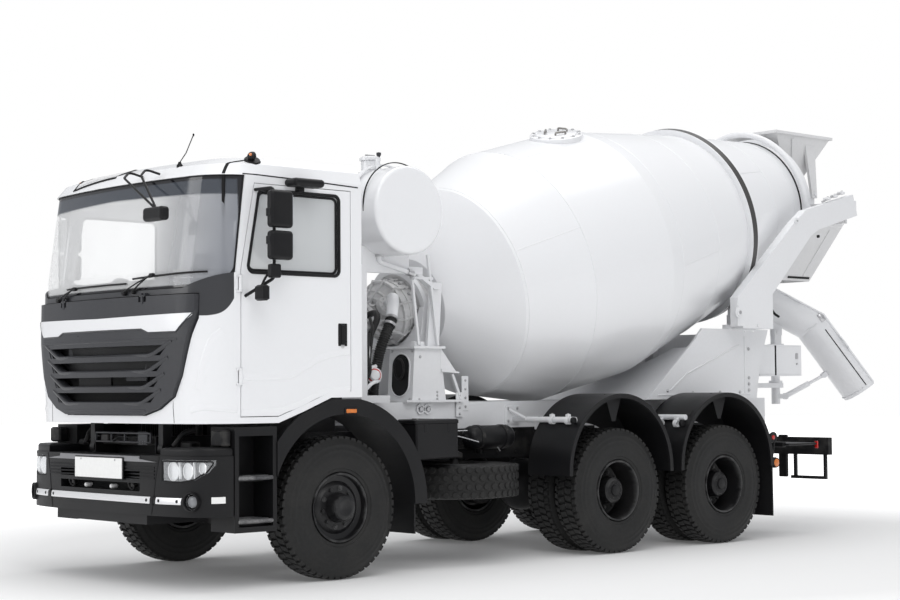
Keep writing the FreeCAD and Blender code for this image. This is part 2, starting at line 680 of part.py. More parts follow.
def grille_outline(shrink, shoulder):
    """The lid's outline seen from the front, as (y, z). Its sides run straight down for the shoulder."""
    top = d.grille_top - shrink
    low = d.grille_bottom + shrink
    wide = d.grille_top_half - shrink
    right = [(d.grille_bottom_half - shrink, low)]
    for in_from_top, share in ((365, 0.052), (205, 0.156), (125, 0.33), (40, 0.71)):
        right.append((wide - in_from_top, low + (top - low) * share))
    kink_y, kink_z = right[-1]
    right[-1] = (kink_y, kink_z - (shoulder - d.lid_shoulder) * 0.6)
    right += [(wide, top - shoulder), (wide, top)]
    return right + [(-y, z) for y, z in reversed(right)]


def hinge_barrels(grow, z0_in=0.0):
    """The left door's hinge barrels, or with grow the room that is cut for them."""
    parts = []
    for z in (d.hinge_low, d.hinge_high):
        start = V(hinge_x() + 3, d.cab_half, z - z0_in)
        parts.append(rod(start, start + V(0, 0, d.hinge_height + 2 * z0_in), d.hinge_radius + grow))
    return parts


def cab_walls():
    back = at(d.cab_back) - 10
    front = at(d.arch_front) + 20
    half = d.rail_y + 60
    wall = d.cab_wall
    tunnel = box(back, front, -half, half, d.cab_bottom, d.cab_rear_bottom)
    cover = box(back, front + wall, -half - wall, half + wall, d.cab_bottom, d.cab_rear_bottom + wall)
    cavity = inner_body.common(above(lower_line(wall))).cut(cover)
    return outer_body.common(above(lower_line())).cut(cavity).cut(tunnel)


walls = cab_walls()
roof_cut = box(at(-1000), at(2000), -3000, 3000, d.header_z, roof_z + 100)
front_cut = prism_y([(screen_back(d.belt_z), d.cab_bottom - 50), (at(d.cab_front + 200), d.cab_bottom - 50),
                     (at(d.cab_front + 200), d.belt_z), (screen_back(d.belt_z), d.belt_z)], -3000, 3000)
front_cut = front_cut.cut(box(at(900), at(1230), -1150, 1150, d.cab_bottom - 60, d.cab_bottom + d.cab_wall))
left_door_hole = prism_y(door_outline(0), d.cab_half - 200, d.cab_half + 200)
door_holes = [left_door_hole, other_side(left_door_hole)]
hinge_room = hinge_barrels(6, 4)
rear_window_hole = box(at(d.cab_back) - 50, at(d.cab_back) + 200, -d.rear_window_half, d.rear_window_half,
                       d.rear_window_bottom, d.rear_window_top)
lid_depth = d.cab_wall + d.grille_proud


def cab_shell():
    shape = cut_all(walls, [roof_cut, front_cut, screen_region(), rear_window_hole] + door_holes)
    pins = []
    for room in hinge_room:
        shape = shape.cut(room).cut(other_side(room))
    for z in (d.hinge_low, d.hinge_high):
        x = hinge_x() + 3
        base = V(x, d.cab_half, z - 16)
        pin = rod(base, base + V(0, 0, d.hinge_height + 32), d.hinge_pin)
        ends = [rod(V(x, d.cab_half, z - 16), V(x, d.cab_half, z - d.run_gap), d.hinge_radius),
                rod(V(x, d.cab_half, z + d.hinge_height + d.run_gap),
                    V(x, d.cab_half, z + d.hinge_height + 16), d.hinge_radius)]
        for end, level in zip(ends, (z - 16, z + d.hinge_height + d.run_gap)):
            leaf = box(x, x + 30, d.cab_half - 8, d.cab_half + 2, level, level + 15)
            pins.append(end.fuse(leaf))
        pins.append(pin)
    lugs = []
    lug_top = d.cab_bottom + d.cab_wall / 2
    for y in (d.tilt_lug_y, -d.tilt_lug_y - 60):
        x = at(d.tilt_x)
        plate = Part.makeCylinder(d.tilt_lug, 60, V(x, y, d.tilt_z), Y_AXIS)
        plate = plate.fuse(box(x - 40, x + 40, y, y + 60, d.tilt_z, lug_top))
        hole = Part.makeCylinder(d.tilt_pin + d.run_gap, 80, V(x, y - 10, d.tilt_z), Y_AXIS)
        lugs.append(plate.cut(hole))
    side_pins = [other_side(pin) for pin in pins]
    feature("cab_shell", one([shape] + pins + side_pins + lugs))


def cab_roof():
    feature("cab_roof", walls.common(roof_cut))


def front_panel():
    outline = grille_outline(-d.lid_gap, d.lid_shoulder + d.lid_sweep)
    hole = prism_x(outline, at(d.cab_front - 300), at(d.cab_front + 300))
    shape = walls.common(front_cut).cut(hole).cut(screen_region())
    for room in hinge_room:
        shape = shape.cut(room).cut(other_side(room))
    pins = []
    x, z = lid_axis()
    for side in (1, -1):
        y = side * d.lid_hinge_y
        pins.append(Part.makeCylinder(d.lid_pin, 60, V(x, y - 30, z), Y_AXIS))
        for inner in (y - 30, y + 15):
            pins.append(Part.makeCylinder(d.lid_barrel, 15, V(x, inner, z), Y_AXIS))
            pins.append(box(x - 40, x, inner, inner + 15, z - d.lid_barrel, z + 20))
    feature("front_panel", one([shape] + pins))


def lid_axis():
    """Where the lid's hinge pins stand, in the skin's plane, half way up the gap: (x, z)."""
    return at(d.cab_front) + 1, d.grille_top + d.lid_gap / 2


def grille():
    """The lid over the radiator: a frame that stands proud, with slats across its opening."""
    proud = cab_solid(-d.grille_proud)
    inner = cab_solid(d.cab_wall - 8)
    region = prism_x(grille_outline(0, d.lid_shoulder), at(d.cab_front - 400), at(d.cab_front + 400))
    slab = proud.cut(inner).common(region)
    top = d.grille_top - d.grille_frame - 190
    low = d.grille_bottom + 70
    pitch = (top - low) / d.grille_slots
    for index in range(int(d.grille_slots)):
        z = low + pitch * index + (pitch - d.grille_slot_height) / 2
        share = (z - d.grille_bottom) / (d.grille_top - d.grille_bottom)
        half = d.slot_half + d.slot_spread * share
        slot = prism_x([(-half + 40, z), (half - 40, z), (half, z + d.grille_slot_height),
                        (-half, z + d.grille_slot_height)], at(d.cab_front - 400), at(d.cab_front + 400))
        slab = slab.cut(slot)
    x, z = lid_axis()
    for side in (1, -1):
        y = side * d.lid_hinge_y
        slab = slab.cut(box(x - 80, x + 13, y - 45, y + 45, z - 45, d.grille_top + 10))
        ear = Part.makeCylinder(d.lid_barrel, 24, V(x, y - 12, z), Y_AXIS)
        ear = ear.fuse(box(x - d.lid_barrel, x + d.lid_barrel, y - 12, y + 12, z - 60, z))
        slab = slab.fuse(ear.cut(Part.makeCylinder(d.lid_pin + d.run_gap, 30, V(x, y - 15, z), Y_AXIS)))
    feature("grille", slab.removeSplitter())


def cab_glass():
    sheet_out = cab_solid(d.glass_inset)
    sheet_in = cab_solid(d.glass_inset + d.screen_glass)
    screen = sheet_out.cut(sheet_in).common(screen_region())
    x = at(d.cab_back) + d.glass_inset
    back = box(x, x + d.glass, -d.rear_window_half, d.rear_window_half, d.rear_window_bottom,
               d.rear_window_top)
    feature("cab_glass", Part.makeCompound([screen, back]))


def door(name, side):
    slab = outer_body.cut(inner_body).common(prism_y(door_outline(d.door_gap), d.cab_half - 150,
                                                     d.cab_half + 50))
    slab = slab.cut(rounded_y(window_outline(0), d.cab_half - 300, d.cab_half + 300, 45))
    x = hinge_x() + 3
    for z in (d.hinge_low, d.hinge_high):
        room = rod(V(x, d.cab_half, z - 22), V(x, d.cab_half, z + d.hinge_height + 22), d.hinge_radius + 6)
        slab = slab.cut(room)
        barrel = rod(V(x, d.cab_half, z), V(x, d.cab_half, z + d.hinge_height), d.hinge_radius)
        barrel = barrel.fuse(box(x - 60, x, d.cab_half - 9, d.cab_half + 3, z, z + d.hinge_height))
        hole = rod(V(x, d.cab_half, z - 30), V(x, d.cab_half, z + d.hinge_height + 30),
                   d.hinge_pin + d.run_gap)
        slab = slab.fuse(barrel).cut(hole)
    grip_x = at(-10)
    recess = box(grip_x, grip_x + 85, d.cab_half - 26, d.cab_half + 20, 1765, 1915)
    grip = box(grip_x + 20, grip_x + 62, d.cab_half - 30, d.cab_half - 2, 1775, 1905)
    slab = slab.cut(recess).fuse(grip)
    shape = slab.removeSplitter()
    feature("door_" + name, shape if side > 0 else other_side(shape))
    pane = rounded_y(window_outline(0), d.cab_half - d.glass_inset - d.glass, d.cab_half - d.glass_inset, 45)
    feature("door_glass_" + name, pane if side > 0 else other_side(pane))


def floor_z():
    return d.cab_rear_bottom + d.cab_wall


def seats():
    base_z = floor_z()
    half = d.seat_width / 2
    parts = []
    for y in (d.seat_y, -d.seat_y):
        x = at(120)
        parts.append(one([
            box(x, x + 380, y - half + 60, y + half - 60, base_z, base_z + 230),
            box(x - 20, x + 470, y - half, y + half, base_z + 230, base_z + 380),
            prism_y([(x - 20, base_z + 300), (x + 120, base_z + 330), (x + 10, base_z + 960),
                     (x - 110, base_z + 950)], y - half + 10, y + half - 10),
            prism_y([(x - 112, base_z + 970), (x - 12, base_z + 975), (x - 30, base_z + 1160),
                     (x - 120, base_z + 1150)], y - 130, y + 130),
            box(x - 90, x - 40, y - 60, y + 60, base_z + 900, base_z + 1000),
        ]))
    feature("seats", Part.makeCompound(parts))


def dashboard():
    """The dashboard, with the column and the steering wheel on the right-hand side."""
    limit = inner_body.common(box(at(600), at(2000), -1160, 1160, 1500, 2290))
    x1 = at(d.cab_front)
    x0 = x1 - d.dash_depth - 120
    board = prism_y([(x1 + 50, 1560), (x0 + 140, 1560), (x0, 1850), (x0 + 20, 2150), (x0 + 130, 2215),
                     (x1 + 50, 2260)], -1150, 1150)
    board = board.common(limit)
    tilt = math.radians(35)
    centre = V(x0 - 170, -d.seat_y, 2130)
    axis = V(-math.sin(math.radians(90) - tilt), 0, math.cos(math.radians(90) - tilt))
    column = rod(centre, centre - axis * 330, 32)
    ring = Part.makeTorus(d.steering_wheel_radius, 15, centre, axis)
    spokes = []
    across = V(0, 1, 0)
    down = axis.cross(across)
    for turn in (0, 120, 240):
        angle = math.radians(turn)
        way = across * math.sin(angle) + down * math.cos(angle)
        spokes.append(rod(centre, centre + way * d.steering_wheel_radius, 12))
    boss = rod(centre - axis * 25, centre + axis * 25, 65)
    feature("dashboard", one([board, column, ring, boss] + spokes))


cab_shell()
cab_roof()
front_panel()
grille()
cab_glass()
for name, side in SIDES:
    door(name, side)
seats()
dashboard()


# ---------------------------------------------------------------- mirrors

def side_mirrors():
    """The two mirror heads and the small kerb mirrors, on tubes from the door's front edge."""
    x = at(d.mirror_x)
    y = d.mirror_y
    root_x = door_front(2850) - 26
    low_root = hinge_x() - 40
    half = d.mirror_width / 2
    y_root = d.cab_half - 5
    tube_x = x + 40
    top = d.mirror_z + d.mirror_height / 2
    low = d.mirror_z - d.mirror_height / 2
    stay = tube([V(root_x, y_root, top + 20), V(tube_x, y, top + 20), V(tube_x, y, low - 130),
                 V(low_root, y_root, low - 255)], d.mirror_tube, 45)
    upper = box(x - half, x + half, y - 20, y - 20 + d.mirror_depth, d.mirror_z - 20, top)
    lower = box(x - half, x + half, y - 20, y - 20 + d.mirror_depth, low, d.mirror_z - 40)
    heads = []
    for head, radius in ((upper, 28), (lower, 28)):
        heads.append(head.makeFillet(radius, head.Edges))
    small = box(tube_x - 45, tube_x + 45, y - 25, y + 30, low - 130, low - 30)
    kerb_x = at(455)
    kerb = box(kerb_x - 140, kerb_x + 140, d.cab_half + 15, d.cab_half + 165, 2915, 2975)
    kerb = kerb.makeFillet(28, kerb.Edges)
    kerb_arm = box(kerb_x - 20, kerb_x + 20, d.cab_half - 15, d.cab_half + 60, 2885, 2925)
    return one([stay] + heads + [small.makeFillet(14, small.Edges), kerb, kerb_arm]).cut(outer_body)


def front_mirror():
    """The mirror before the windscreen's upper corner, on two looped arms from the header."""
    x = at(d.cab_front - d.screen_rake)
    y = d.front_mirror_y
    drop = V(x + 215, y, d.header_z - 260)
    arms = []
    for shift, root_y in ((0, y - 560), (6, y - 330)):
        arms.append(tube([V(x - 35, root_y, d.header_z + 40), V(x + 50, root_y - 60, d.header_z + 75),
                          V(x + 130, root_y, d.header_z + 20), drop + V(0, shift, 0)], 9, 40))
    head = box(x + 175, x + 255, y - 125, y + 125, d.header_z - 345, d.header_z - 245)
    head = head.makeFillet(26, head.Edges)
    feature("front_mirror", one(arms + [head]).cut(outer_body))


for name, side in SIDES:
    shape = side_mirrors()
    feature("mirror_" + name, shape if side > 0 else other_side(shape))
front_mirror()


# ---------------------------------------------------------------- front end

def bumper_plan(z0, z1, inset):
    """The bumper's plan: nearly straight across the middle, swept back round both ends."""
    back = at(d.bumper_front - d.bumper_depth)
    reach = d.bumper_depth - inset
    half = d.bumper_half - inset
    steps = 20
    points = []
    for step in range(-steps, steps + 1):
        turn = math.pi / 2 * step / steps
        along = reach * math.cos(turn) ** (2 / d.bumper_bow)
        across = half * abs(math.sin(turn)) ** (2 / d.bumper_bow)
        points.append(V(back + along, math.copysign(across, turn), z0))
    sweep = Part.BSplineCurve()
    sweep.interpolate(points)
    outline = Part.Wire([sweep.toShape(), Part.makeLine(points[-1], points[0])])
    return Part.Face(outline).extrude(V(0, 0, z1 - z0))


def lamp_room(grow):
    """The room for the left headlamp, seen from the front: deep inside, tapered at its outer end."""
    y1 = d.bumper_half - d.lamp_in
    y0 = y1 - d.lamp_width - grow
    y1 += grow
    top = d.lamp_top + grow
    low = top - d.lamp_height - 2 * grow
    rise = d.lamp_height
    return prism_x([(y0, top), (y0, low + rise * 0.05), (y0 + d.lamp_width * 0.45, low),
                    (y1 - d.lamp_width * 0.25, low + rise * 0.13), (y1 - 22, low + rise * 0.47),
                    (y1, low + rise * 0.8), (y1, top)],
                   at(d.bumper_front - d.bumper_depth - 30), at(d.bumper_front + 100))


def fog_room(radius, x0, x1):
    y = d.bumper_half - d.fog_in
    return rod(V(x0, y, 640), V(x1, y, 640), radius)


def bumper():
    shape = bumper_plan(d.bumper_bottom, d.bumper_top, 0)
    hollow = bumper_plan(d.bumper_bottom - 10, d.bumper_top - 40, d.bumper_wall)
    between = d.bumper_half - d.bumper_wall
    hollow = hollow.fuse(box(at(d.bumper_front - d.bumper_depth) - 50, at(d.bumper_front - 200),
                             -between, between, d.bumper_bottom - 10, d.bumper_top - 40))
    shape = shape.cut(hollow)
    grid = box(at(d.bumper_front - 200), at(d.bumper_front + 50), -560, 560, 700, 760)
    grid = grid.fuse(box(at(d.bumper_front - 200), at(d.bumper_front + 50), -560, 560, 790, 850))
    strip = bumper_plan(618, 662, -8).common(box(at(900), at(1600), -1060, 1060, 0, 2000))
    shape = shape.cut(grid).fuse(strip.cut(bumper_plan(600, 700, 20)))
    shoulder = bumper_plan(d.bumper_top - 20, d.bumper_top + d.shoulder_rise, 12)
    shoulder = shoulder.common(box(at(0), at(d.bumper_front), d.shoulder_in, d.bumper_half, 0, 2000))
    rim = [edge for edge in shoulder.Edges if edge.BoundBox.ZMin > d.bumper_top + d.shoulder_rise - 1]
    shoulder = shoulder.makeFillet(22, rim)
    shape = shape.fuse(shoulder).fuse(other_side(shoulder))
    for side in (1, -1):
        room = lamp_room(d.seat_gap)
        fog = fog_room(d.fog_radius + d.seat_gap, at(d.bumper_front - 400), at(d.bumper_front + 100))
        if side < 0:
            room, fog = other_side(room), other_side(fog)
        shape = shape.cut(room).cut(fog)
    rail_side = d.rail_y + d.rail_width
    shape = shape.cut(box(at(1000), at(d.rail_front), -rail_side, rail_side, 800, 1000))
    lug_x = at(d.tilt_x + d.tilt_lug) + 10
    lug_y = d.tilt_lug_y + 70
    shape = shape.cut(box(at(1000), lug_x, -lug_y, lug_y, 800, 1000))
    mounts = [box(at(d.rail_front), at(d.bumper_front - d.bumper_wall + 8), side * 395 - 35,
                  side * 395 + 35, d.rail_bottom, d.bumper_top - 30) for side in (1, -1)]
    tray = box(at(820), at(d.bumper_front - d.bumper_wall / 2), -620, 620, d.bumper_bottom - 70,
               d.bumper_bottom + 1)
    hangers = [box(at(900), at(1000), side * 395 - 30, side * 395 + 30, d.bumper_bottom, d.rail_bottom)
               for side in (1, -1)]
    feature("bumper", one([shape, tray] + mounts + hangers))


def headlamps():
    shape = bumper_plan(0, 2000, 6).cut(bumper_plan(-1, 2001, 6 + 170)).common(lamp_room(0))
    fog = fog_room(d.fog_radius, at(d.bumper_front - 220), at(d.bumper_front - 6))
    fog = fog.common(bumper_plan(0, 2000, 4))
    feature("headlamps", Part.makeCompound([shape, other_side(shape), fog, other_side(fog)]))


def steps():
    """The two-tread step box behind the bumper, below each door."""
    x0 = at(d.step_back)
    x1 = at(d.step_front)
    y1 = d.cab_half - 10
    y0 = y1 - d.step_depth
    body = box(x0, x1, y0, y1, d.step_bottom, d.step_top)
    for low, high in ((d.step_bottom + 70, 770), (820, 1100)):
        body = body.cut(box(x0 + 35, x1 - 35, y0 + 60, y1 + 10, low, high))
    body = body.cut(box(x0 + 35, x1 - 35, y1 - 70, y1 + 10, d.step_bottom + 40, 1100))
    tread_low = box(x0 + 30, x1 - 30, y0 + 40, y1 - 8, 470, 492)
    tread_high = box(x0 + 30, x1 - 30, y0 + 40, y1 - 62, 778, 802)
    arm = box(x0 + 60, x0 + 160, d.rail_y + d.rail_width, y0 + 2, d.rail_bottom + 60, d.rail_bottom + 160)
    shape = one([body, tread_low, tread_high, arm])
    feature("steps", pair(shape))


def arch(x, z, radius, wall, y0, y1, floor):
    """A half-round mudguard over one wheel, its ends running down to floor."""
    ring = Part.makeCylinder(radius, y1 - y0, V(x, y0, z), Y_AXIS)
    ring = ring.fuse(box(x - radius, x + radius, y0, y1, floor, z))
    ring = ring.common(box(x - radius - 1, x + radius + 1, y0 - 1, y1 + 1, floor, z + radius + 1))
    hollow = Part.makeCylinder(radius - wall, y1 - y0 + 20, V(x, y0 - 10, z), Y_AXIS)
    hollow = hollow.fuse(box(x - radius + wall, x + radius - wall, y0 - 10, y1 + 10, floor - 10, z))
    return ring.cut(hollow)


def fenders():
    """Front mudguards, the twin arches over the rear axles, and their flaps."""
    shapes = []
    x = d.front_axle_x
    y1 = d.cab_half
    front = arch(x, d.tyre_radius + 20, d.fender_radius, d.fender_wall, d.fender_inner, y1, d.tyre_radius)
    front = front.common(box(x - 900, at(d.step_back), 0, 2000, 0, 3000))
    room = above(lower_line(-12))
    front = front.cut(room)
    lip = arch(x, d.tyre_radius + 20, d.fender_radius + d.fender_band, d.fender_wall + d.fender_band - 1,
               y1 - 40, y1, d.tyre_radius)
    lip = lip.common(box(x - 900, at(d.step_back), 0, 2000, 0, 3000)).cut(room)
    flap_x = x - d.fender_radius
    flap = box(flap_x, flap_x + 14, d.fender_inner + 40, y1 - 20, d.flap_bottom, d.tyre_radius + 60)
    carrier_z = d.rail_bottom + 2
    carrier = box(x - d.fender_radius + 30, x - d.fender_radius + 75, d.rail_y + d.rail_width,
                  d.fender_inner + 60, carrier_z, carrier_z + 34)
    foot = box(x - d.fender_radius + 2, x - d.fender_radius + 76, d.fender_inner + 2, d.fender_inner + 60,
               carrier_z, carrier_z + 34)
    shapes.append(one([front, lip, flap, carrier, foot]))
    inner = d.bogie_fender_inner
    for axle_x, sign in ((mid_x, 1), (rear_x, -1)):
        guard = arch(axle_x, d.bogie_fender_z, d.bogie_fender_radius, 12, inner, y1, d.bogie_fender_bottom)
        lip = arch(axle_x, d.bogie_fender_z, d.bogie_fender_radius, 40, y1 - 30, y1, d.bogie_fender_bottom)
        parts = [guard, lip]
        if sign < 0:
            edge = axle_x - d.bogie_fender_radius
            parts.append(box(edge, edge + 14, inner + 20, y1 - 10, d.rear_flap_bottom,
                             d.bogie_fender_bottom + 20))
        shapes.append(one(parts))
    both = one(shapes[1:])
    feature("fenders", Part.makeCompound([shapes[0], other_side(shapes[0]), both, other_side(both)]))


def battery_box():
    x1 = at(d.battery_front)
    x0 = x1 - d.battery_length
    y0 = d.rail_y + d.rail_width
    y1 = y0 + d.battery_depth + 120
    main = box(x0, x0 + d.battery_length - 270, y0, y1, d.battery_bottom, d.battery_bottom + d.battery_height)
    side_box = box(x0 + d.battery_length - 260, x1, y0 + 60, y1 - 40, d.battery_bottom + 15,
                   d.battery_bottom + d.battery_height - 20)
    link = box(x0 + d.battery_length - 275, x0 + d.battery_length - 255, y0, y1 - 60,
               d.battery_bottom + 30, d.battery_bottom + d.battery_height - 40)
    feature("battery_box", one([main, side_box, link]))


def fuel_tank():
    """The fuel tank on the right rail, with the straps' brackets that carry it."""
    x1 = at(d.tank_front)
    x0 = x1 - d.fuel_length
    y = -d.fuel_y
    body = Part.makeCylinder(d.fuel_radius, d.fuel_length, V(x0, y, d.fuel_z), X_AXIS)
    parts = [body.makeFillet(35, body.Edges[:1] + body.Edges[2:])]
    rail_side = -d.rail_y - d.rail_width
    for x in (x0 + 200, x1 - 260):
        parts.append(box(x, x + 60, y + d.fuel_radius - 60, rail_side, d.fuel_z - 60, d.fuel_z + 250))
    cap = V(x1 - 120, y, d.fuel_z + d.fuel_radius - 20)
    parts.append(rod(cap, cap + V(0, 0, 65), 45))
    feature("fuel_tank", one(parts))


bumper()
headlamps()
steps()
fenders()
battery_box()
fuel_tank()
spare = turned("spare_tyre", TYRE, V(at(d.spare_x), d.spare_y, d.spare_bottom - d.run_gap), Z_AXIS, False)
disc = bar("spare_disc", "front_axle_x + spare_x", "spare_y", "spare_bottom + tyre_width - 110",
           "bead_radius + 1", "30")
hub = bar("spare_hanger", "front_axle_x + spare_x", "spare_y", "spare_bottom + tyre_width - 100",
          "60", "rail_bottom + 60 - spare_bottom - tyre_width + 100")
carrier = block("spare_carrier", "front_axle_x + spare_x - 60", "rail_y + rail_width", "rail_bottom + 20",
                "120", "spare_y - rail_y - rail_width + 60", "50")
joined("spare_wheel", [spare, disc, hub, carrier])


def tail_bar():
    x1 = at(-d.rail_back)
    x0 = x1 - d.tail_depth
    bar_shape = box(x0, x1, -d.tail_half, d.tail_half, d.tail_bottom, d.tail_bottom + d.tail_height)
    parts = [bar_shape]
    for side in (1, -1):
        y = side * d.rail_y
        parts.append(box(x0, x1, y - 40, y + 40, d.tail_bottom, d.rail_bottom + d.rail_height - 60))
        for y in (side * (d.tail_half - 60), side * (d.tail_half - 420)):
            parts.append(box(x0 + 15, x1 - 15, y - 14, y + 14, 520, d.tail_bottom + 5))
        ends = sorted((side * (d.tail_half - 470), side * (d.tail_half - 46)))
        parts.append(box(x0 + 15, x1 - 15, ends[0], ends[1], 520, 550))
    feature("tail_bar", one(parts))


tail_bar()


# ---------------------------------------------------------------- drum and its drive

tilt = math.radians(d.drum_tilt)
drum_back = V(-math.cos(tilt), 0, math.sin(tilt))
drum_up = V(math.sin(tilt), 0, math.cos(tilt))
ring_centre = V(at(d.ring_x), 0, d.ring_z)


def on_axis(reach):
    """The point of the drum's axis that lies reach behind its roller ring."""
    return ring_centre + drum_back * reach


def drum():
    inner = " - drum_wall"
    front = "nose_front"
    profile = [
        (front + " - nose_front + run_gap", "70"), (front + " - nose_front + run_gap", "nose_radius"),
        (front + " - dish_front", "dish_radius"), (front + " - barrel_front", "drum_waist"),
        (front + " - barrel_back", "drum_radius"), (front + " - ring_width / 2", "ring_seat"),
        (front + " - ring_width / 2", "ring_radius"), (front + " + ring_width / 2", "ring_radius"),
        (front + " + ring_width / 2", "ring_seat - 18"), (front + " + mouth_reach - 60", "mouth_radius + 14"),
        (front + " + mouth_reach - 60", "mouth_radius + 34"), (front + " + mouth_reach", "mouth_radius + 34"),
        (front + " + mouth_reach", "mouth_radius"), (front + " + mouth_reach - 70", "mouth_radius"),
        (front + " + ring_width / 2", "ring_seat - 34"), (front + " - ring_width / 2", "ring_seat - 16"),
        (front + " - barrel_back", "drum_radius" + inner), (front + " - barrel_front", "drum_waist" + inner),
        (front + " - dish_front", "dish_radius" + inner), ("30", "nose_radius - 20"), ("30", "70"),
    ]
    turned("drum", profile, on_axis(-d.nose_front), drum_back)


def motor_port():
    """Where the hoses' fittings stand on the hydraulic motor."""
    return on_axis(-d.nose_front - d.gear_length - 160)


def gearbox():
    """The drum's gearbox with its hydraulic motor, on the drum's own axis."""
    start = -d.nose_front
    parts = [
        rod(on_axis(start), on_axis(start - 45), d.flange_radius - 60),
        rod(on_axis(start - 40), on_axis(start - 130), 150),
        rod(on_axis(start - 120), on_axis(start - 165), d.flange_radius),
        rod(on_axis(start - 160), on_axis(start - 330), d.gear_radius),
        rod(on_axis(start - 320), on_axis(start - 350), d.gear_radius + 25),
    ]
    cone = Part.makeCone(d.gear_radius, d.gear_radius - 90, 130, on_axis(start - 345), drum_back * -1)
    parts.append(cone)
    end = start - d.gear_length
    parts.append(rod(on_axis(end + 40), on_axis(end - d.motor_length), d.motor_radius))
    parts.append(rod(on_axis(end - 60), on_axis(end - 100), d.motor_radius + 22))
    port = motor_port()
    parts.append(rod(port, port + V(0, 150, 40), 42))
    parts.append(rod(port, port + V(0, -150, 40), 42))
    parts.append(rod(port, port + V(0, 0, 165), 35))
    feature("gearbox", one(parts))


def front_pedestal():
    """The box under the gearbox with its oval hole, the cradle, and the water tank's posts."""
    z0 = d.rail_bottom + d.rail_height + d.subframe_height
    x0 = at(d.pedestal_back)
    x1 = at(d.pedestal_front)
    half = d.pedestal_half
    outline = [(x0 - 60, z0), (x1 + 30, z0), (x1, d.pedestal_top), (x0, d.pedestal_top)]
    inset = d.plate
    inner = [(x0 - 60 + 2 * inset, z0 - 10), (x1 + 30 - inset, z0 - 10),
             (x1 - inset, d.pedestal_top - inset), (x0 + inset, d.pedestal_top - inset)]
    leg = prism_y(outline, d.pedestal_inner, half).cut(prism_y(inner, d.pedestal_inner + inset, half - inset))
    y = (d.pedestal_inner + half) / 2
    r = d.pedestal_oval
    for z in (z0 + 170, z0 + 300):
        leg = leg.cut(rod(V(x1 - 100, y, z), V(x1 + 200, y, z), r))
    leg = leg.cut(box(x1 - 100, x1 + 200, y - r, y + r, z0 + 170, z0 + 300))
    top = box(x0 - 30, x1 + 30, -half - 30, half + 30, d.pedestal_top, d.pedestal_top + 20)
    foot = box(x0 - 250, x1 + 110, -half - 25, half + 25, z0, z0 + 18)
    foot = foot.cut(box(x0 - 150, x1 + 10, -half + 60, half - 60, z0 - 1, z0 + 20))
    seat = -d.nose_front - 142
    ring_front = on_axis(seat - d.cradle_thick)
    ring = rod(ring_front, on_axis(seat), d.flange_radius + 55)
    plate = prism_y([(ring_front.x - 20, d.pedestal_top), (ring_front.x + 75, d.pedestal_top),
                     (ring_front.x + 20, ring_front.z), (ring_front.x - 40, ring_front.z)], -360, 360)
    slab_cut = rod(on_axis(seat - 400), on_axis(seat + 400), d.flange_radius + 0.5)
    cradle = ring.fuse(plate).cut(slab_cut)
    cheek = prism_y([(x0 + 10, d.pedestal_top), (x0 + 140, d.pedestal_top), (x0 + 90, d.pedestal_top + 560),
                     (x0 - 30, d.pedestal_top + 560)], half - 40, half - 10)
    parts = [leg, other_side(leg), top, foot, cradle, cheek, other_side(cheek)]
    for side in (1, -1):
        y = side * d.post_y
        p = d.post / 2
        x = at(d.post_front)
        parts.append(box(x - p, x + p, y - p, y + p, z0 + 14, d.saddle_z))
        parts.append(box(at(d.subframe_front) - 40, x + p, min(y, side * (d.rail_y + 10)) - p,
                         max(y, side * (d.rail_y + 10)) + p, z0, z0 + 2 * p))
        xb = x0 + 50
        lean = prism_y([(xb - p, d.pedestal_top + 500), (xb + p, d.pedestal_top + 500),
                        (at(d.water_x) - 330, d.saddle_z), (at(d.water_x) - 390, d.saddle_z)],
                       side * (half - 5) - p, side * (half - 5) + p)
        parts.append(lean)
        rest = box(at(d.water_x) - 400, x + p, y - p, y + p, d.saddle_z - 60, d.saddle_z)
        saddle = box(at(d.water_x) - 250, at(d.water_x) + 250, y - p, y + p, d.saddle_z - 10,
                     d.saddle_z + 150)
        side_end = V(at(d.water_x), -2000, d.water_z)
        tank = Part.makeCylinder(d.water_radius + d.seat_gap, 4000, side_end, Y_AXIS)
        parts.append(rest)
        parts.append(saddle.cut(tank))
        join_y = sorted((side * (half - 40), y))
        parts.append(box(at(d.water_x) - 400, at(d.water_x) - 340, join_y[0], join_y[1],
                         d.saddle_z - 60, d.saddle_z))
    feature("front_pedestal", one(parts))


def hoses():
    """The two hydraulic hoses from the motor down to the valve block between the posts."""
    port = motor_port()
    z0 = d.rail_bottom + d.rail_height + d.subframe_height
    valve_x = at(d.subframe_front) + 20
    side_y = d.rail_y + 10 - d.post / 2
    valves = box(valve_x - 45, valve_x + 45, -side_y, side_y, z0, z0 + 80)
    runs = []
    for side in (1, -1):
        runs.append(tube([port + V(0, side * 150, 40), port + V(0, side * 345, 92),
                          V(valve_x - 10, side * 375, 1840), V(valve_x, side * 280, z0 + 70)],
                         d.hose_radius, d.hose_bend))
    feature("hoses", one(runs + [valves]))


def water_tank():
    side_end = V(at(d.water_x), -d.water_half, d.water_z)
    body = Part.makeCylinder(d.water_radius, 2 * d.water_half, side_end, Y_AXIS)
    rims = [body.Edges[0], body.Edges[2]]
    body = body.makeFillet(d.water_dish / 2, rims)
    neck = rod(V(at(d.water_x), 430, d.water_z + d.water_radius - 15),
               V(at(d.water_x), 430, d.water_z + d.water_radius + 55), 70)
    gauge = rod(V(at(d.water_x) + 90, 600, d.water_z + d.water_radius - 30),
                V(at(d.water_x) + 90, 600, d.water_z + d.water_radius + 75), 18)
    feature("water_tank", one([body, neck, gauge]))


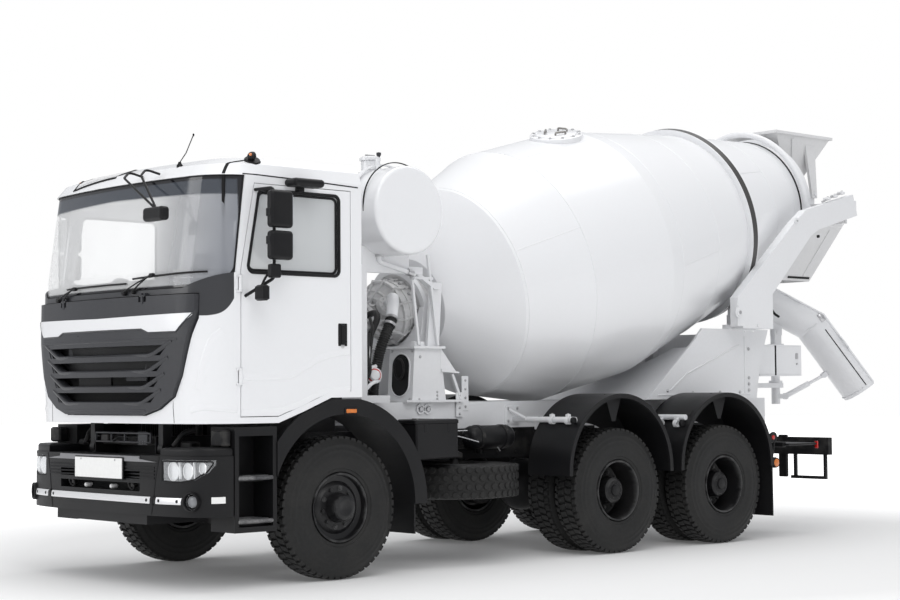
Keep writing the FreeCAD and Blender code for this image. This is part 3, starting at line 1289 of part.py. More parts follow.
def roller(name, side):
    """One of the two rollers that carry the drum's ring; it turns on a pin in the rear pedestal."""
    centre, first, last = roller_line(side)
    shape = rod(centre - drum_back * (d.roller_width / 2), centre + drum_back * (d.roller_width / 2),
                d.roller_radius)
    hole = rod(first, last, d.roller_pin + d.run_gap)
    feature("roller_" + name, shape.cut(hole))


def roller_line(side):
    angle = math.radians(d.roller_angle)
    reach = d.ring_radius + d.roller_radius + d.roller_gap
    centre = ring_centre - drum_up * (reach * math.cos(angle)) + V(0, side * reach * math.sin(angle), 0)
    half = d.roller_width / 2 + 60
    return centre, centre - drum_back * half, centre + drum_back * half


def rear_pedestal():
    """The welded pedestal under the drum's ring, with the roller brackets and the chute's bearings."""
    z0 = d.rail_bottom + d.rail_height + d.subframe_height
    x0 = at(d.rear_base_back)
    x1 = at(d.rear_base_front)
    top = d.rear_top_z
    plate = d.rear_plate
    outline = [(x0, z0), (x1, z0), (at(d.rear_top_front) + 120, top - 120), (at(d.rear_top_front), top),
               (at(d.rear_base_back) - 190, top), (at(d.rear_base_back) - 60, top - 330)]
    low = d.rear_half - 190
    parts = []
    for side in (1, -1):
        y0, y1 = sorted((side * (d.rear_half - plate), side * d.rear_half))
        parts.append(prism_y(outline, y0, y1))
        base = sorted((side * (low - 110), side * d.rear_half))
        parts.append(box(x0, x1 - 60, base[0], base[1], z0, z0 + 20))
    front = Part.makePolygon([V(x1 - 40, 0, z0), V(x1 - 10, 0, z0),
                              V(at(d.rear_top_front) + 60, 0, top - 180),
                              V(at(d.rear_top_front) + 30, 0, top - 180), V(x1 - 40, 0, z0)])
    front = Part.Face(front).extrude(V(0, d.rear_half - 5, 0))
    parts += [front, other_side(front)]
    back = prism_y([(x0, z0), (x0 + 30, z0), (x0 - 30, top - 330), (x0 - 150, top - 20), (x0 - 185, top - 20),
                    (x0 - 60, top - 330)], -d.rear_half + 5, d.rear_half - 5)
    parts.append(back)
    clear = Part.makeCone(d.drum_radius + 40, d.ring_radius + 45, d.barrel_back, on_axis(-d.barrel_back),
                          drum_back)
    clear = clear.fuse(rod(on_axis(-20), on_axis(200), d.ring_radius + 45))
    clear = clear.fuse(Part.makeCone(d.ring_radius + 30, d.mouth_radius + 80, d.mouth_reach, on_axis(60),
                                     drum_back))
    shape = one(parts).cut(clear)
    extras = []
    for side in (1, -1):
        centre, first, last = roller_line(side)
        extras.append(rod(first, last, d.roller_pin))
        for end in (first, last - drum_back * 25):
            cheek = rod(end, end + drum_back * 25, d.roller_radius - 45)
            foot_y = sorted((centre.y - 70, centre.y + 70))
            foot = box(end.x - 40, end.x + 30, foot_y[0], foot_y[1], top - 330, centre.z - 20)
            extras.append(cheek)
            extras.append(foot)
        shelf_y = sorted((side * (d.rear_half - 5), side * (abs(centre.y) - 110)))
        extras.append(box(centre.x - 260, centre.x + 260, shelf_y[0], shelf_y[1], top - 350, top - 325))
    room = d.roller_radius + 12
    for side in (1, -1):
        centre, first, last = roller_line(side)
        reach = drum_back * (d.roller_width / 2 + 8)
        gap = rod(centre - reach, centre + reach, room)
        pin = rod(first, last, d.roller_pin)
        extras = [piece.cut(gap) for piece in extras]
        extras.append(pin)
    bearing_x = at(d.chute_x)
    for z, start in ((d.chute_post_bottom + 170, x0), (d.chute_pivot_z - 260, x0 - 75)):
        arm = box(bearing_x - 40, start, -70, 70, z, z + 50)
        eye = rod(V(bearing_x, 0, z), V(bearing_x, 0, z + 50), d.chute_post + 35)
        hole = rod(V(bearing_x, 0, z - 10), V(bearing_x, 0, z + 60), d.chute_post + d.run_gap)
        extras.append(arm.fuse(eye).cut(hole))
    feature("rear_pedestal", one([shape] + extras))


def side_arms():
    """The two bent box beams up to the hopper, the hoop round the mouth, and the cross frame."""
    width = d.arm_width
    outer = d.arm_half + width / 2
    foot_front = at(d.arm_foot_front)
    foot_back = at(d.arm_foot_back)
    foot_z = d.rear_top_z + 20
    bend_x = at(d.arm_bend_x)
    bend_z = d.arm_bend_z
    tip_x = at(d.arm_tip_x)
    tip_z = d.arm_tip_z
    outline = [(foot_front, foot_z), (foot_front, d.rear_top_z + d.arm_foot_rise),
               (bend_x + 200, bend_z - 140), (bend_x, bend_z), (tip_x, tip_z),
               (tip_x - 70, tip_z - d.arm_depth),
               (bend_x - 200, bend_z - 185), (bend_x - 70, bend_z - 255),
               (foot_back, d.rear_top_z + d.arm_foot_rise + 50), (foot_back, foot_z)]
    arm = prism_y(outline, outer - width, outer)
    parts = [arm, other_side(arm)]
    for side in (1, -1):
        foot = sorted((side * (d.rear_half - d.rear_plate), side * outer))
        parts.append(box(foot_back, foot_front - 80, foot[0], foot[1], d.rear_top_z, foot_z + 20))
    cross = box(tip_x - 60, tip_x + 10, -outer + 5, outer - 5, tip_z - 185, tip_z - 60)
    parts.append(cross)
    hoop_centre = on_axis(d.hoop_reach)
    left = hoop_centre + V(0, d.hoop_radius, 0)
    right = hoop_centre - V(0, d.hoop_radius, 0)
    peak = hoop_centre + drum_up * d.hoop_radius
    bend = Part.Arc(left, peak, right).toShape()
    down = drum_up * -130
    path = Part.Wire([Part.LineSegment(left + down, left).toShape(), bend,
                      Part.LineSegment(right, right + down).toShape()])
    ring = Part.Wire(Part.Circle(left + down, drum_up, d.hoop_tube).toShape())
    parts.append(path.makePipeShell([ring], True, True))
    for side in (1, -1):
        base = (left if side > 0 else right) + down
        ends = sorted((base.y, side * (outer - width + 5)))
        parts.append(box(base.x - 35, base.x + 35, ends[0] - 20, ends[1], base.z - 15, base.z + 45))
    for side in (1, -1):
        y0, y1 = sorted((side * (d.hopper_half - 110), side * (d.hopper_half - 70)))
        parts.append(box(at(d.hopper_pivot_x) - 35, tip_x - 10, y0, y1, tip_z - 175, d.hopper_pivot_z))
        boss = V(at(d.hopper_pivot_x), y0, d.hopper_pivot_z)
        parts.append(Part.makeCylinder(35, y1 - y0, boss, Y_AXIS))
        pin0, pin1 = sorted((side * (d.hopper_half - 71), side * (d.hopper_half - 20)))
        pin_end = V(at(d.hopper_pivot_x), pin0, d.hopper_pivot_z)
        parts.append(Part.makeCylinder(d.hopper_pin, pin1 - pin0, pin_end, Y_AXIS))
    feature("side_arms", one(parts))


def charging_hopper():
    """The funnel over the drum's mouth, with its spout, tipping up on two pins behind."""
    half = d.hopper_half
    throat = d.hopper_throat_half
    cone, room = funnel((at(d.hopper_back), at(d.hopper_front), -half, half, d.hopper_top),
                        (at(d.hopper_throat_back), at(d.hopper_throat_front), -throat, throat,
                         d.hopper_throat_z), d.sheet_metal)
    lip = box(at(d.hopper_back) - 12, at(d.hopper_front) + 12, -half - 12, half + 12, d.hopper_top - 30,
              d.hopper_top)
    lip = lip.cut(box(at(d.hopper_back) + 2, at(d.hopper_front) - 2, -half + 2, half - 2, d.hopper_top - 40,
                      d.hopper_top + 10))
    z = d.hopper_throat_z
    back = at(d.hopper_throat_back)
    front = at(d.hopper_throat_front)
    tip = at(d.spout_tip)
    spout = prism_y([(back, z + 2), (front, z + 2), (tip, z - d.spout_drop),
                     (tip, z - d.spout_drop - d.spout_deep), (back, z - d.spout_back_drop)], -throat, throat)
    past = tip + 40
    sheet = d.sheet_metal
    inner = [(back + sheet, z + 20), (front - sheet, z + 20), (front - sheet, z - sheet),
             (past, z - d.spout_drop - 20), (past, z - d.spout_drop - d.spout_deep + 2),
             (back + sheet, z - d.spout_back_drop + 10)]
    spout = spout.cut(prism_y(inner, -throat + sheet, throat - sheet))
    ear_top = z + (d.hopper_top - z) * d.ear_share
    ears = []
    for side in (1, -1):
        y0, y1 = sorted((side * (half - 66), side * (half - 36)))
        pivot = V(at(d.hopper_pivot_x), y0 - 60, d.hopper_pivot_z)
        ear = prism_y([(pivot.x - 40, pivot.z - 40), (pivot.x + 40, pivot.z - 40), (back + 60, ear_top),
                       (back - 100, ear_top)], y0, y1)
        ear = ear.cut(Part.makeCylinder(d.hopper_pin + d.run_gap, 200, pivot, Y_AXIS))
        ears.append(ear.cut(room))
    feature("charging_hopper", one([cone, lip, spout] + ears))


def discharge_collector():
    half = d.collector_half
    out = d.collector_out_half
    cone = funnel((at(d.collector_back), at(d.collector_front), -half, half, d.collector_top),
                  (at(d.collector_out_back), at(d.collector_out_front), -out, out,
                   d.collector_bottom), d.sheet_metal)[0]
    clear = Part.makeCone(d.ring_seat + 30, d.mouth_radius + 64, d.mouth_reach + 25, on_axis(0), drum_back)
    cone = max(cone.cut(clear).Solids, key=lambda solid: solid.Volume)
    hangers = []
    outer = d.arm_half - d.arm_width / 2
    rod_x = at(d.arm_tip_x) - 10
    for side in (1, -1):
        y0, y1 = sorted((side * (half - 30), side * (outer + 2)))
        hangers.append(box(rod_x, rod_x + 60, y0, y1, d.collector_top - 60, d.collector_top - 20))
        y0, y1 = sorted((side * (outer - 14), side * outer))
        hangers.append(box(rod_x, rod_x + 60, y0, y1, d.collector_top - 60, d.arm_tip_z - 190))
    feature("discharge_collector", one([cone] + hangers))


drum()
for name, side in SIDES:
    roller(name, side)
gearbox()
front_pedestal()
hoses()
water_tank()
rear_pedestal()
side_arms()
charging_hopper()
discharge_collector()


# ---------------------------------------------------------------- discharge chute

chute_axis = V(at(d.chute_x), 0, 0)
turn_angle = math.radians(180 - d.chute_turn)
chute_way = V(math.cos(turn_angle), math.sin(turn_angle), 0)
chute_side = V(-math.sin(turn_angle), math.cos(turn_angle), 0)


def chute_point(out, z, across=0.0):
    """A point of the chute's own plane: out from its post, at a height."""
    return chute_axis + chute_way * out + chute_side * across + V(0, 0, z)


def plan_block(out0, out1, across, z0, z1):
    """A block set square to the chute, from out0 to out1 and across wide on both sides."""
    corners = ((out0, -1), (out1, -1), (out1, 1), (out0, 1))
    points = [chute_point(out, 0, sign * across) for out, sign in corners]
    return prism_z([(p.x, p.y) for p in points], z0, z1)


def downhill(dip):
    """The way down and the way up out of a trough that dips by this angle in the chute's plane."""
    slope = math.radians(dip)
    way = chute_way * math.cos(slope) - Z_AXIS * math.sin(slope)
    up = chute_way * math.sin(slope) + Z_AXIS * math.cos(slope)
    return way, up


def chute_line():
    """The trough's axis: its head, its knee and its end."""
    head = chute_point(d.chute_head_out, d.chute_head_z)
    knee = head + downhill(d.chute_upper_dip)[0] * d.chute_upper
    return head, knee, knee + downhill(d.chute_lower_dip)[0] * d.chute_lower


def set_square(shape, corner, way, up):
    """Lays a box made at the origin along a trough, its corner at a point."""
    frame = FreeCAD.Matrix(way.x, chute_side.x, up.x, corner.x, way.y, chute_side.y, up.y, corner.y,
                           way.z, chute_side.z, up.z, corner.z, 0, 0, 0, 1)
    shape.Placement = FreeCAD.Placement(frame)
    return shape


def open_top(start, dip, length):
    """The space over a trough's rim that is cut away."""
    way, up = downhill(dip)
    wide = d.chute_radius * 4
    corner = start - way * 300 - chute_side * (wide / 2) + up * d.chute_rim
    return set_square(Part.makeBox(length + 600, wide, wide), corner, way, up)


def chute_bracket():
    """The swivel post, with the fork that the chute tips on and the arm of the screw jack."""
    pin_z = d.chute_pivot_z
    post = rod(chute_point(0, d.chute_post_bottom), chute_point(0, pin_z - 120), d.chute_post)
    head = plan_block(-60, 70, 105, pin_z - 150, pin_z - 118)
    bearing_top = d.chute_post_bottom + 170 + 50 + d.run_gap
    collar = rod(chute_point(0, bearing_top), chute_point(0, bearing_top + 25), d.chute_post + 26)
    ears = [slanted_plate(sign, -25, 45, 78, 102, pin_z - 130, pin_z + 30) for sign in (1, -1)]
    pin = rod(chute_point(d.chute_pin_out, pin_z, -120), chute_point(d.chute_pin_out, pin_z, 120),
              d.chute_pin)
    out = d.jack_out
    z = d.jack_bottom_z
    cheeks = [slanted_plate(sign, 0, out + 24, 32, 44, z - 24, z + 24) for sign in (1, -1)]
    jack_pin = rod(chute_point(out, z, -44), chute_point(out, z, 44), d.jack_pin)
    feature("chute_bracket", one([post, head, collar, pin, jack_pin] + ears + cheeks))


def slanted_plate(sign, out0, out1, across0, across1, z0, z1):
    """One of a pair of plates that stand square to the chute's own plane."""
    corners = ((out0, across0), (out1, across0), (out1, across1), (out0, across1))
    points = [chute_point(out, 0, sign * across) for out, across in corners]
    return prism_z([(p.x, p.y) for p in points], z0, z1)


def jack_top():
    """The pin under the chute that the screw jack's rod reaches."""
    knee = chute_line()[1]
    way, up = downhill(d.chute_lower_dip)
    return knee + way * (d.chute_lower * d.jack_share) - up * (d.chute_radius + d.jack_drop)


def chute():
    head, knee, end = chute_line()
    steep, steep_up = downhill(d.chute_lower_dip)
    outer = d.chute_radius
    inner = outer - d.chute_wall
    way_in = (knee - head).normalize() * 50
    way_out = (end - knee).normalize() * 50
    full = one([rod(head, knee, outer), Part.makeSphere(outer, knee), rod(knee, end, outer)])
    hollow = [rod(head - way_in, knee, inner), Part.makeSphere(inner, knee), rod(knee, end + way_out, inner)]
    half_way, half_up = downhill((d.chute_upper_dip + d.chute_lower_dip) / 2)
    past = set_square(Part.makeBox(3000, 3000, 3000), knee - chute_side * 1500 - half_up * 1500,
                      half_way, half_up)
    upper = full.cut(past).cut(open_top(head, d.chute_upper_dip, d.chute_upper))
    lower = full.common(past).cut(open_top(knee, d.chute_lower_dip, d.chute_lower))
    shape = cut_all(one([upper, lower]), hollow)
    slab = one([rod(head, knee, outer - 2), Part.makeSphere(outer - 2, knee), rod(knee, end, outer - 2)])
    hole = rod(chute_point(d.chute_pin_out, d.chute_pivot_z, -150),
               chute_point(d.chute_pin_out, d.chute_pivot_z, 150), d.chute_pin + d.run_gap)
    out = d.chute_pin_out
    ears = [slanted_plate(sign, out - 45, out + 50, 52, 72, d.chute_pivot_z - 28, d.chute_head_z - 100)
            .cut(slab).cut(hole) for sign in (1, -1)]
    top = jack_top()
    lugs = []
    for sign in (1, -1):
        centre = top + chute_side * (sign * 36)
        lug = rod(centre - chute_side * 8, centre + chute_side * 8, 26)
        web = set_square(Part.makeBox(52, 16, 60), centre - steep * 26 - chute_side * 8, steep, steep_up)
        lugs.append(lug.fuse(web).cut(slab))
    pin = rod(top - chute_side * 44, top + chute_side * 44, d.jack_pin)
    feature("chute", one([shape, pin] + ears + lugs))


def screw_jack():
    """The jack's tube on the bracket's pin, and the screw that runs out of it to the chute."""
    low = chute_point(d.jack_out, d.jack_bottom_z)
    top = jack_top()
    way = (top - low).normalize()
    length = (top - low).Length
    eye = rod(low - chute_side * 31.5, low + chute_side * 31.5, 33)
    body = rod(low + way * 20, low + way * (length * 0.62), d.jack_tube)
    bore = rod(low + way * (length * 0.2), low + way * (length * 0.63), d.jack_rod + d.run_gap)
    hole = rod(low - chute_side * 40, low + chute_side * 40, d.jack_pin + d.run_gap)
    feature("jack_tube", one([eye, body]).cut(bore).cut(hole))
    screw = rod(low + way * (length * 0.36), top - way * 20, d.jack_rod)
    tip = rod(top - chute_side * 27.5, top + chute_side * 27.5, 26)
    slack_hole = rod(top - chute_side * 40, top + chute_side * 40, d.jack_pin + d.jack_play)
    feature("jack_screw", one([screw, tip]).cut(slack_hole))


chute_bracket()
chute()
screw_jack()


def tool_box(pedestal):
    """The box behind the pedestal, on two arms that end on the pedestal's back plate."""
    case = box(at(d.tool_back), at(d.tool_front), d.tool_inner, d.tool_outer, d.tool_bottom, d.tool_top)
    reach = at(d.rear_base_back)
    arms = [box(at(d.tool_front), reach, y, y + 40, d.tool_bottom + 60, d.tool_bottom + 120)
            for y in (d.tool_inner + 60, d.tool_outer - 100)]
    arms = [max(arm.cut(pedestal).Solids, key=lambda piece: -piece.BoundBox.XMin) for arm in arms]
    feature("tool_box", one([case] + arms))


tool_box(doc.getObject("rear_pedestal").Shape)


# ---------------------------------------------------------------- write the sub-parts

doc.removeObject(probe.Name)
doc.recompute()
for item in doc.Objects:
    if "Invalid" in item.State or "Error" in item.State:
        raise RuntimeError(item.Name + " did not build")
for item in subparts:
    if item.Shape.isNull() or not item.Shape.isValid():
        raise RuntimeError(item.Label + " has no valid shape")

os.makedirs("parts", exist_ok=True)
for item in subparts:
    item.Shape.exportStep("parts/" + item.Label + ".step")
print(len(subparts), "sub-parts")
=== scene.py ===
"""Looks of the concrete mixer truck, built round its CAD frame.

Metres, in the frame's own axes: +X forward, +Y the truck's left, +Z up, the ground at z = 0.
"""
import math

import bmesh
import bpy
from mathutils import Matrix, Vector
from mathutils.bvhtree import BVHTree


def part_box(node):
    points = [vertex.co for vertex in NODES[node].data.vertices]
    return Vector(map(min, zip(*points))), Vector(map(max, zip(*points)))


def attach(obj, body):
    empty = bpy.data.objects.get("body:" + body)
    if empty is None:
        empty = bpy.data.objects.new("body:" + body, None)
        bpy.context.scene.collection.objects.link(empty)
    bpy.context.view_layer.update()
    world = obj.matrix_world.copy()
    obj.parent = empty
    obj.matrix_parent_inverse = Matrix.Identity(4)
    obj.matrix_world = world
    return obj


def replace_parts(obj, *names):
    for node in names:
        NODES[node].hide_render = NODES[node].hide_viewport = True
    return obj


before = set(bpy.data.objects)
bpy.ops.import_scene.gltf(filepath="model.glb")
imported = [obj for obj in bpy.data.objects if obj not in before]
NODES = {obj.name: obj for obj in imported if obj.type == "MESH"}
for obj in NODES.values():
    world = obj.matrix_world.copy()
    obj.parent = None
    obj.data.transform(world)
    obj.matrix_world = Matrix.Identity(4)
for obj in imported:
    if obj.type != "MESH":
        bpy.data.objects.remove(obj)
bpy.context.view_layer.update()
SIDES = (("left", 1), ("right", -1))
X, Y, Z = Vector((1, 0, 0)), Vector((0, 1, 0)), Vector((0, 0, 1))


def low(node):
    """The least corner of a CAD node's box."""
    return Vector(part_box(node)[0])


def high(node):
    """The greatest corner of a CAD node's box."""
    return Vector(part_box(node)[1])


def middle(node):
    """The middle of a CAD node's box."""
    return (low(node) + high(node)) / 2


AXLE_X = middle("front_tyre_left").x
TYRE_R = (high("front_tyre_left").z - low("front_tyre_left").z) / 2
TYRE_W = high("front_tyre_left").y - low("front_tyre_left").y

# The roller ring's centre and the drum's tilt; then, counted from the front axle or the middle plane,
# the front pedestal's face and the outer faces of the side arms and of the rails.
RING_X, RING_Z = AXLE_X - 5.25, 3.04
TILT = math.radians(14)
PEDESTAL_X = -1.37
ARM_FACE = 0.971
RAIL_FACE = 0.43

# Where rays start, well outside the truck: ahead of the front axle, beside the middle, over the ground.
RAY_AHEAD, RAY_BESIDE, RAY_OVER = 2.5, 3.0, 6.0


def at(x, y=0.0, z=0.0):
    """A point whose x is told from the front axle."""
    return Vector((AXLE_X + x, y, z))


def around(count, start=0.0, end=360.0, closed=True):
    """Angles in equal steps: round a whole circle, or from start to end in degrees."""
    gaps = count if closed else count - 1
    return [math.radians(start + (end - start) * step / gaps) for step in range(count)]


def arc(centre, first, second, angles):
    """Points about a centre; first and second are its two radius vectors."""
    return [centre + first * math.cos(angle) + second * math.sin(angle) for angle in angles]


def bead(foot, sink, top, rise):
    """The section of a raised strip: its foot below the skin, its top above it."""
    return [(foot, -sink), (top, rise), (-top, rise), (-foot, -sink)]


def hoop(foot, inner, top, outer):
    """The turned section of a band round a shaft."""
    return [(-foot, inner), (-top, outer), (top, outer), (foot, inner)]


# ---------------------------------------------------------------- finishes

def feed(tree, socket, value):
    """Links another node's output to a socket, or sets its plain value."""
    if isinstance(value, bpy.types.NodeSocket):
        tree.links.new(value, socket)
    else:
        socket.default_value = value


def output_of(tree, kind, **inputs):
    """A new shader node with its inputs set or linked."""
    node = tree.nodes.new(kind)
    for key, value in inputs.items():
        feed(tree, node.inputs[key], value)
    return node


def ramp(tree, factor, stops):
    """A colour ramp from (place, colour) pairs."""
    node = tree.nodes.new("ShaderNodeValToRGB")
    tree.links.new(factor, node.inputs["Fac"])
    elements = node.color_ramp.elements
    while len(elements) < len(stops):
        elements.new(0.5)
    for element, (place, colour) in zip(elements, stops):
        element.position = place
        element.color = (*colour, 1)
    return node.outputs["Color"]


def noise(tree, place, scale, detail=4.0, rough=0.55):
    """Soft noise over a place, from 0 to 1."""
    node = output_of(tree, "ShaderNodeTexNoise", Vector=place, Scale=scale, Detail=detail, Roughness=rough)
    return node.outputs["Fac"]


def spread(tree, factor, start, end, to_start, to_end):
    """Maps a factor from one range onto another, clamped."""
    node = tree.nodes.new("ShaderNodeMapRange")
    for index, value in enumerate((factor, start, end, to_start, to_end)):
        feed(tree, node.inputs[index], value)
    return node.outputs["Result"]


def blend_colour(tree, factor, first, second):
    """Goes from a first colour to a second one as the factor goes from 0 to 1."""
    node = tree.nodes.new("ShaderNodeMix")
    node.data_type = "RGBA"
    feed(tree, node.inputs[0], factor)
    for index, value in ((6, first), (7, second)):
        feed(tree, node.inputs[index], (*value, 1) if isinstance(value, tuple) else value)
    return node.outputs[2]


def maths(tree, operation, first, second=0.0):
    """One sum of two numbers or outputs."""
    node = tree.nodes.new("ShaderNodeMath")
    node.operation = operation
    feed(tree, node.inputs[0], first)
    feed(tree, node.inputs[1], second)
    return node.outputs[0]


def finish(name, colour, rough, dust=None, dust_share=0.35, dust_scale=1.6, mottle=0.04, grain=0.15,
           grain_scale=350.0, worn=None, metal=0.0, coat=0.0, sheen=0.0, gloss=0.5, vary=0.08):
    """One opaque material: a colour with slow dust and fine mottle, worn edges, and grain in its gloss."""
    material = bpy.data.materials.new(name)
    material.use_nodes = True
    material.diffuse_color = (*colour, 1)
    tree = material.node_tree
    shader = tree.nodes["Principled BSDF"]
    place = output_of(tree, "ShaderNodeTexCoord").outputs["Object"]
    fine = noise(tree, place, 38.0, 6.0)
    dark = tuple(c * (1 - mottle) for c in colour)
    light = tuple(min(c * (1 + mottle), 1) for c in colour)
    tint = ramp(tree, fine, [(0.35, dark), (0.65, light)])
    slow = noise(tree, place, dust_scale, 5.0, 0.62)
    if dust:
        share = spread(tree, slow, 0.42, 0.72, 0.0, dust_share)
        tint = blend_colour(tree, share, tint, dust)
    if worn:
        edge = output_of(tree, "ShaderNodeNewGeometry").outputs["Pointiness"]
        chips = maths(tree, "MULTIPLY", spread(tree, edge, 0.52, 0.62, 0.0, 1.0),
                      spread(tree, noise(tree, place, 9.0), 0.45, 0.6, 0.0, 0.75))
        tint = blend_colour(tree, chips, tint, worn)
    tree.links.new(tint, shader.inputs["Base Color"])
    shader.inputs["Metallic"].default_value = metal
    shader.inputs["Specular IOR Level"].default_value = gloss
    shader.inputs["Coat Weight"].default_value = coat
    shader.inputs["Coat Roughness"].default_value = 0.06
    shader.inputs["Sheen Weight"].default_value = sheen
    tree.links.new(spread(tree, slow, 0.3, 0.7, max(rough - vary, 0.02), min(rough + vary, 1)),
                   shader.inputs["Roughness"])
    texture = noise(tree, place, grain_scale, 3.0)
    bump = output_of(tree, "ShaderNodeBump", Strength=grain, Distance=0.002, Height=texture)
    tree.links.new(bump.outputs["Normal"], shader.inputs["Normal"])
    return material


def glass(name, colour, alpha):
    """Clear or tinted sheet: partly see-through, with gloss."""
    material = bpy.data.materials.new(name)
    material.use_nodes = True
    material.diffuse_color = (*colour, alpha)
    tree = material.node_tree
    shader = tree.nodes["Principled BSDF"]
    place = output_of(tree, "ShaderNodeTexCoord").outputs["Object"]
    haze = noise(tree, place, 1.1, 2.0)
    tint = ramp(tree, haze, [(0.3, tuple(c * 0.95 for c in colour)), (0.7, colour)])
    cover = spread(tree, haze, 0.3, 0.7, alpha * 0.97, min(alpha * 1.03, 1))
    tree.links.new(tint, shader.inputs["Base Color"])
    tree.links.new(cover, shader.inputs["Alpha"])
    tree.links.new(spread(tree, haze, 0.3, 0.7, 0.02, 0.05), shader.inputs["Roughness"])
    shader.inputs["IOR"].default_value = 1.5
    shader.inputs["Specular IOR Level"].default_value = 0.6
    return material


def windscreen():
    """Clear glass painted misty white with a faint glow, a painted reflection of the bright studio, darker
    towards its left side as painted shade, with a sun band and a printed border.
    """
    material = glass("windscreen", (0.90, 0.905, 0.91), alpha=0.36)
    tree = material.node_tree
    shader = tree.nodes["Principled BSDF"]
    place = output_of(tree, "ShaderNodeTexCoord").outputs["Object"]
    split = output_of(tree, "ShaderNodeSeparateXYZ", Vector=place)
    x, y, z = (split.outputs[axis] for axis in "XYZ")
    across = maths(tree, "ABSOLUTE", y)
    front = spread(tree, x, AXLE_X + 0.1, AXLE_X + 0.2, 0.0, 1.0)
    shade = maths(tree, "MULTIPLY", spread(tree, y, 0.55, 1.22, 0.0, 0.8), front)
    band_edge = maths(tree, "ADD", maths(tree, "MULTIPLY", across, -0.02), 2.862)
    band = maths(tree, "MULTIPLY", spread(tree, maths(tree, "SUBTRACT", z, band_edge), 0.0, 0.012, 0.0, 1.0),
                 front)
    behind = maths(tree, "MAXIMUM", maths(tree, "SUBTRACT", AXLE_X + 1.13, x), 0.0)
    foot = maths(tree, "ADD", maths(tree, "MULTIPLY", maths(tree, "MULTIPLY", behind, behind), 7.5), 2.186)
    lower = spread(tree, maths(tree, "SUBTRACT", z, foot), 0.0, 0.01, 1.0, 0.0)
    upper = spread(tree, z, 2.950, 2.958, 0.0, 1.0)
    edge = spread(tree, x, AXLE_X + 0.952, AXLE_X + 0.962, 1.0, 0.0)
    rim = maths(tree, "MAXIMUM", maths(tree, "MAXIMUM", lower, upper), edge)
    printed = maths(tree, "MULTIPLY", rim, front)
    tint = blend_colour(tree, shade, shader.inputs["Base Color"].links[0].from_socket, (0.09, 0.105, 0.14))
    tint = blend_colour(tree, band, tint, (0.055, 0.062, 0.075))
    tint = blend_colour(tree, printed, tint, (0.010, 0.010, 0.012))
    tree.links.new(tint, shader.inputs["Base Color"])
    # Painted glow: the glass gives off its own tint faintly, standing in for reflected studio light and
    # keeping the rear panes bright.
    tree.links.new(tint, shader.inputs["Emission Color"])
    shader.inputs["Emission Strength"].default_value = 0.16
    haze = shader.inputs["Alpha"].links[0].from_socket
    cover = spread(tree, front, 0.0, 1.0, 0.06, haze)
    cover = maths(tree, "MAXIMUM", cover, maths(tree, "MULTIPLY", shade, 0.8))
    cover = maths(tree, "MAXIMUM", cover, maths(tree, "MULTIPLY", band, 0.88))
    tree.links.new(maths(tree, "MAXIMUM", cover, printed), shader.inputs["Alpha"])
    return material


def lug_mask(tree, place):
    """The dark tilting lugs below the cab's floor."""
    split = output_of(tree, "ShaderNodeSeparateXYZ", Vector=place)
    return spread(tree, split.outputs["Z"], 1.186, 1.189, 1.0, 0.0)


def two_tone(name, first, second, mask_of):
    """Two finishes of one panel, parted by a mask over its own space."""
    material = first.copy()
    material.name = name
    tree = material.node_tree
    shader = tree.nodes["Principled BSDF"]
    place = output_of(tree, "ShaderNodeTexCoord").outputs["Object"]
    mask = mask_of(tree, place)
    colour, rough, coat = second
    base, gloss, film = (shader.inputs[key] for key in ("Base Color", "Roughness", "Coat Weight"))
    tree.links.new(blend_colour(tree, mask, base.links[0].from_socket, colour), base)
    tree.links.new(spread(tree, mask, 0.0, 1.0, gloss.links[0].from_socket, rough), gloss)
    tree.links.new(spread(tree, mask, 0.0, 1.0, film.default_value, coat), film)
    return material


def corner_mask(tree, place):
    """The dark corner panels beside the lid: above a line that curves up to the door."""
    split = output_of(tree, "ShaderNodeSeparateXYZ", Vector=place)
    back = maths(tree, "MAXIMUM", maths(tree, "SUBTRACT", AXLE_X + 1.18, split.outputs["X"]), 0.0)
    cube = maths(tree, "MULTIPLY", maths(tree, "MULTIPLY", back, back), back)
    line = maths(tree, "ADD", maths(tree, "ADD", maths(tree, "MULTIPLY", cube, 22.0),
                                    maths(tree, "MULTIPLY", back, 0.12)), 1.962)
    return spread(tree, maths(tree, "SUBTRACT", split.outputs["Z"], line), 0.0, 0.004, 0.0, 1.0)


def ring_mask(tree, place):
    """The roller ring's bare steel: a narrow band about the drum's axis."""
    split = output_of(tree, "ShaderNodeSeparateXYZ", Vector=place)
    x = maths(tree, "SUBTRACT", split.outputs["X"], RING_X)
    z = maths(tree, "SUBTRACT", split.outputs["Z"], RING_Z)
    sine, cosine = math.sin(TILT), math.cos(TILT)
    along = maths(tree, "ADD", maths(tree, "MULTIPLY", x, -cosine), maths(tree, "MULTIPLY", z, sine))
    high_up = maths(tree, "ADD", maths(tree, "MULTIPLY", x, sine), maths(tree, "MULTIPLY", z, cosine))
    y = split.outputs["Y"]
    reach = maths(tree, "SQRT", maths(tree, "ADD", maths(tree, "MULTIPLY", y, y),
                                      maths(tree, "MULTIPLY", high_up, high_up)))
    band = spread(tree, maths(tree, "ABSOLUTE", along), 0.034, 0.036, 1.0, 0.0)
    return maths(tree, "MULTIPLY", band, spread(tree, reach, 0.945, 0.955, 0.0, 1.0))


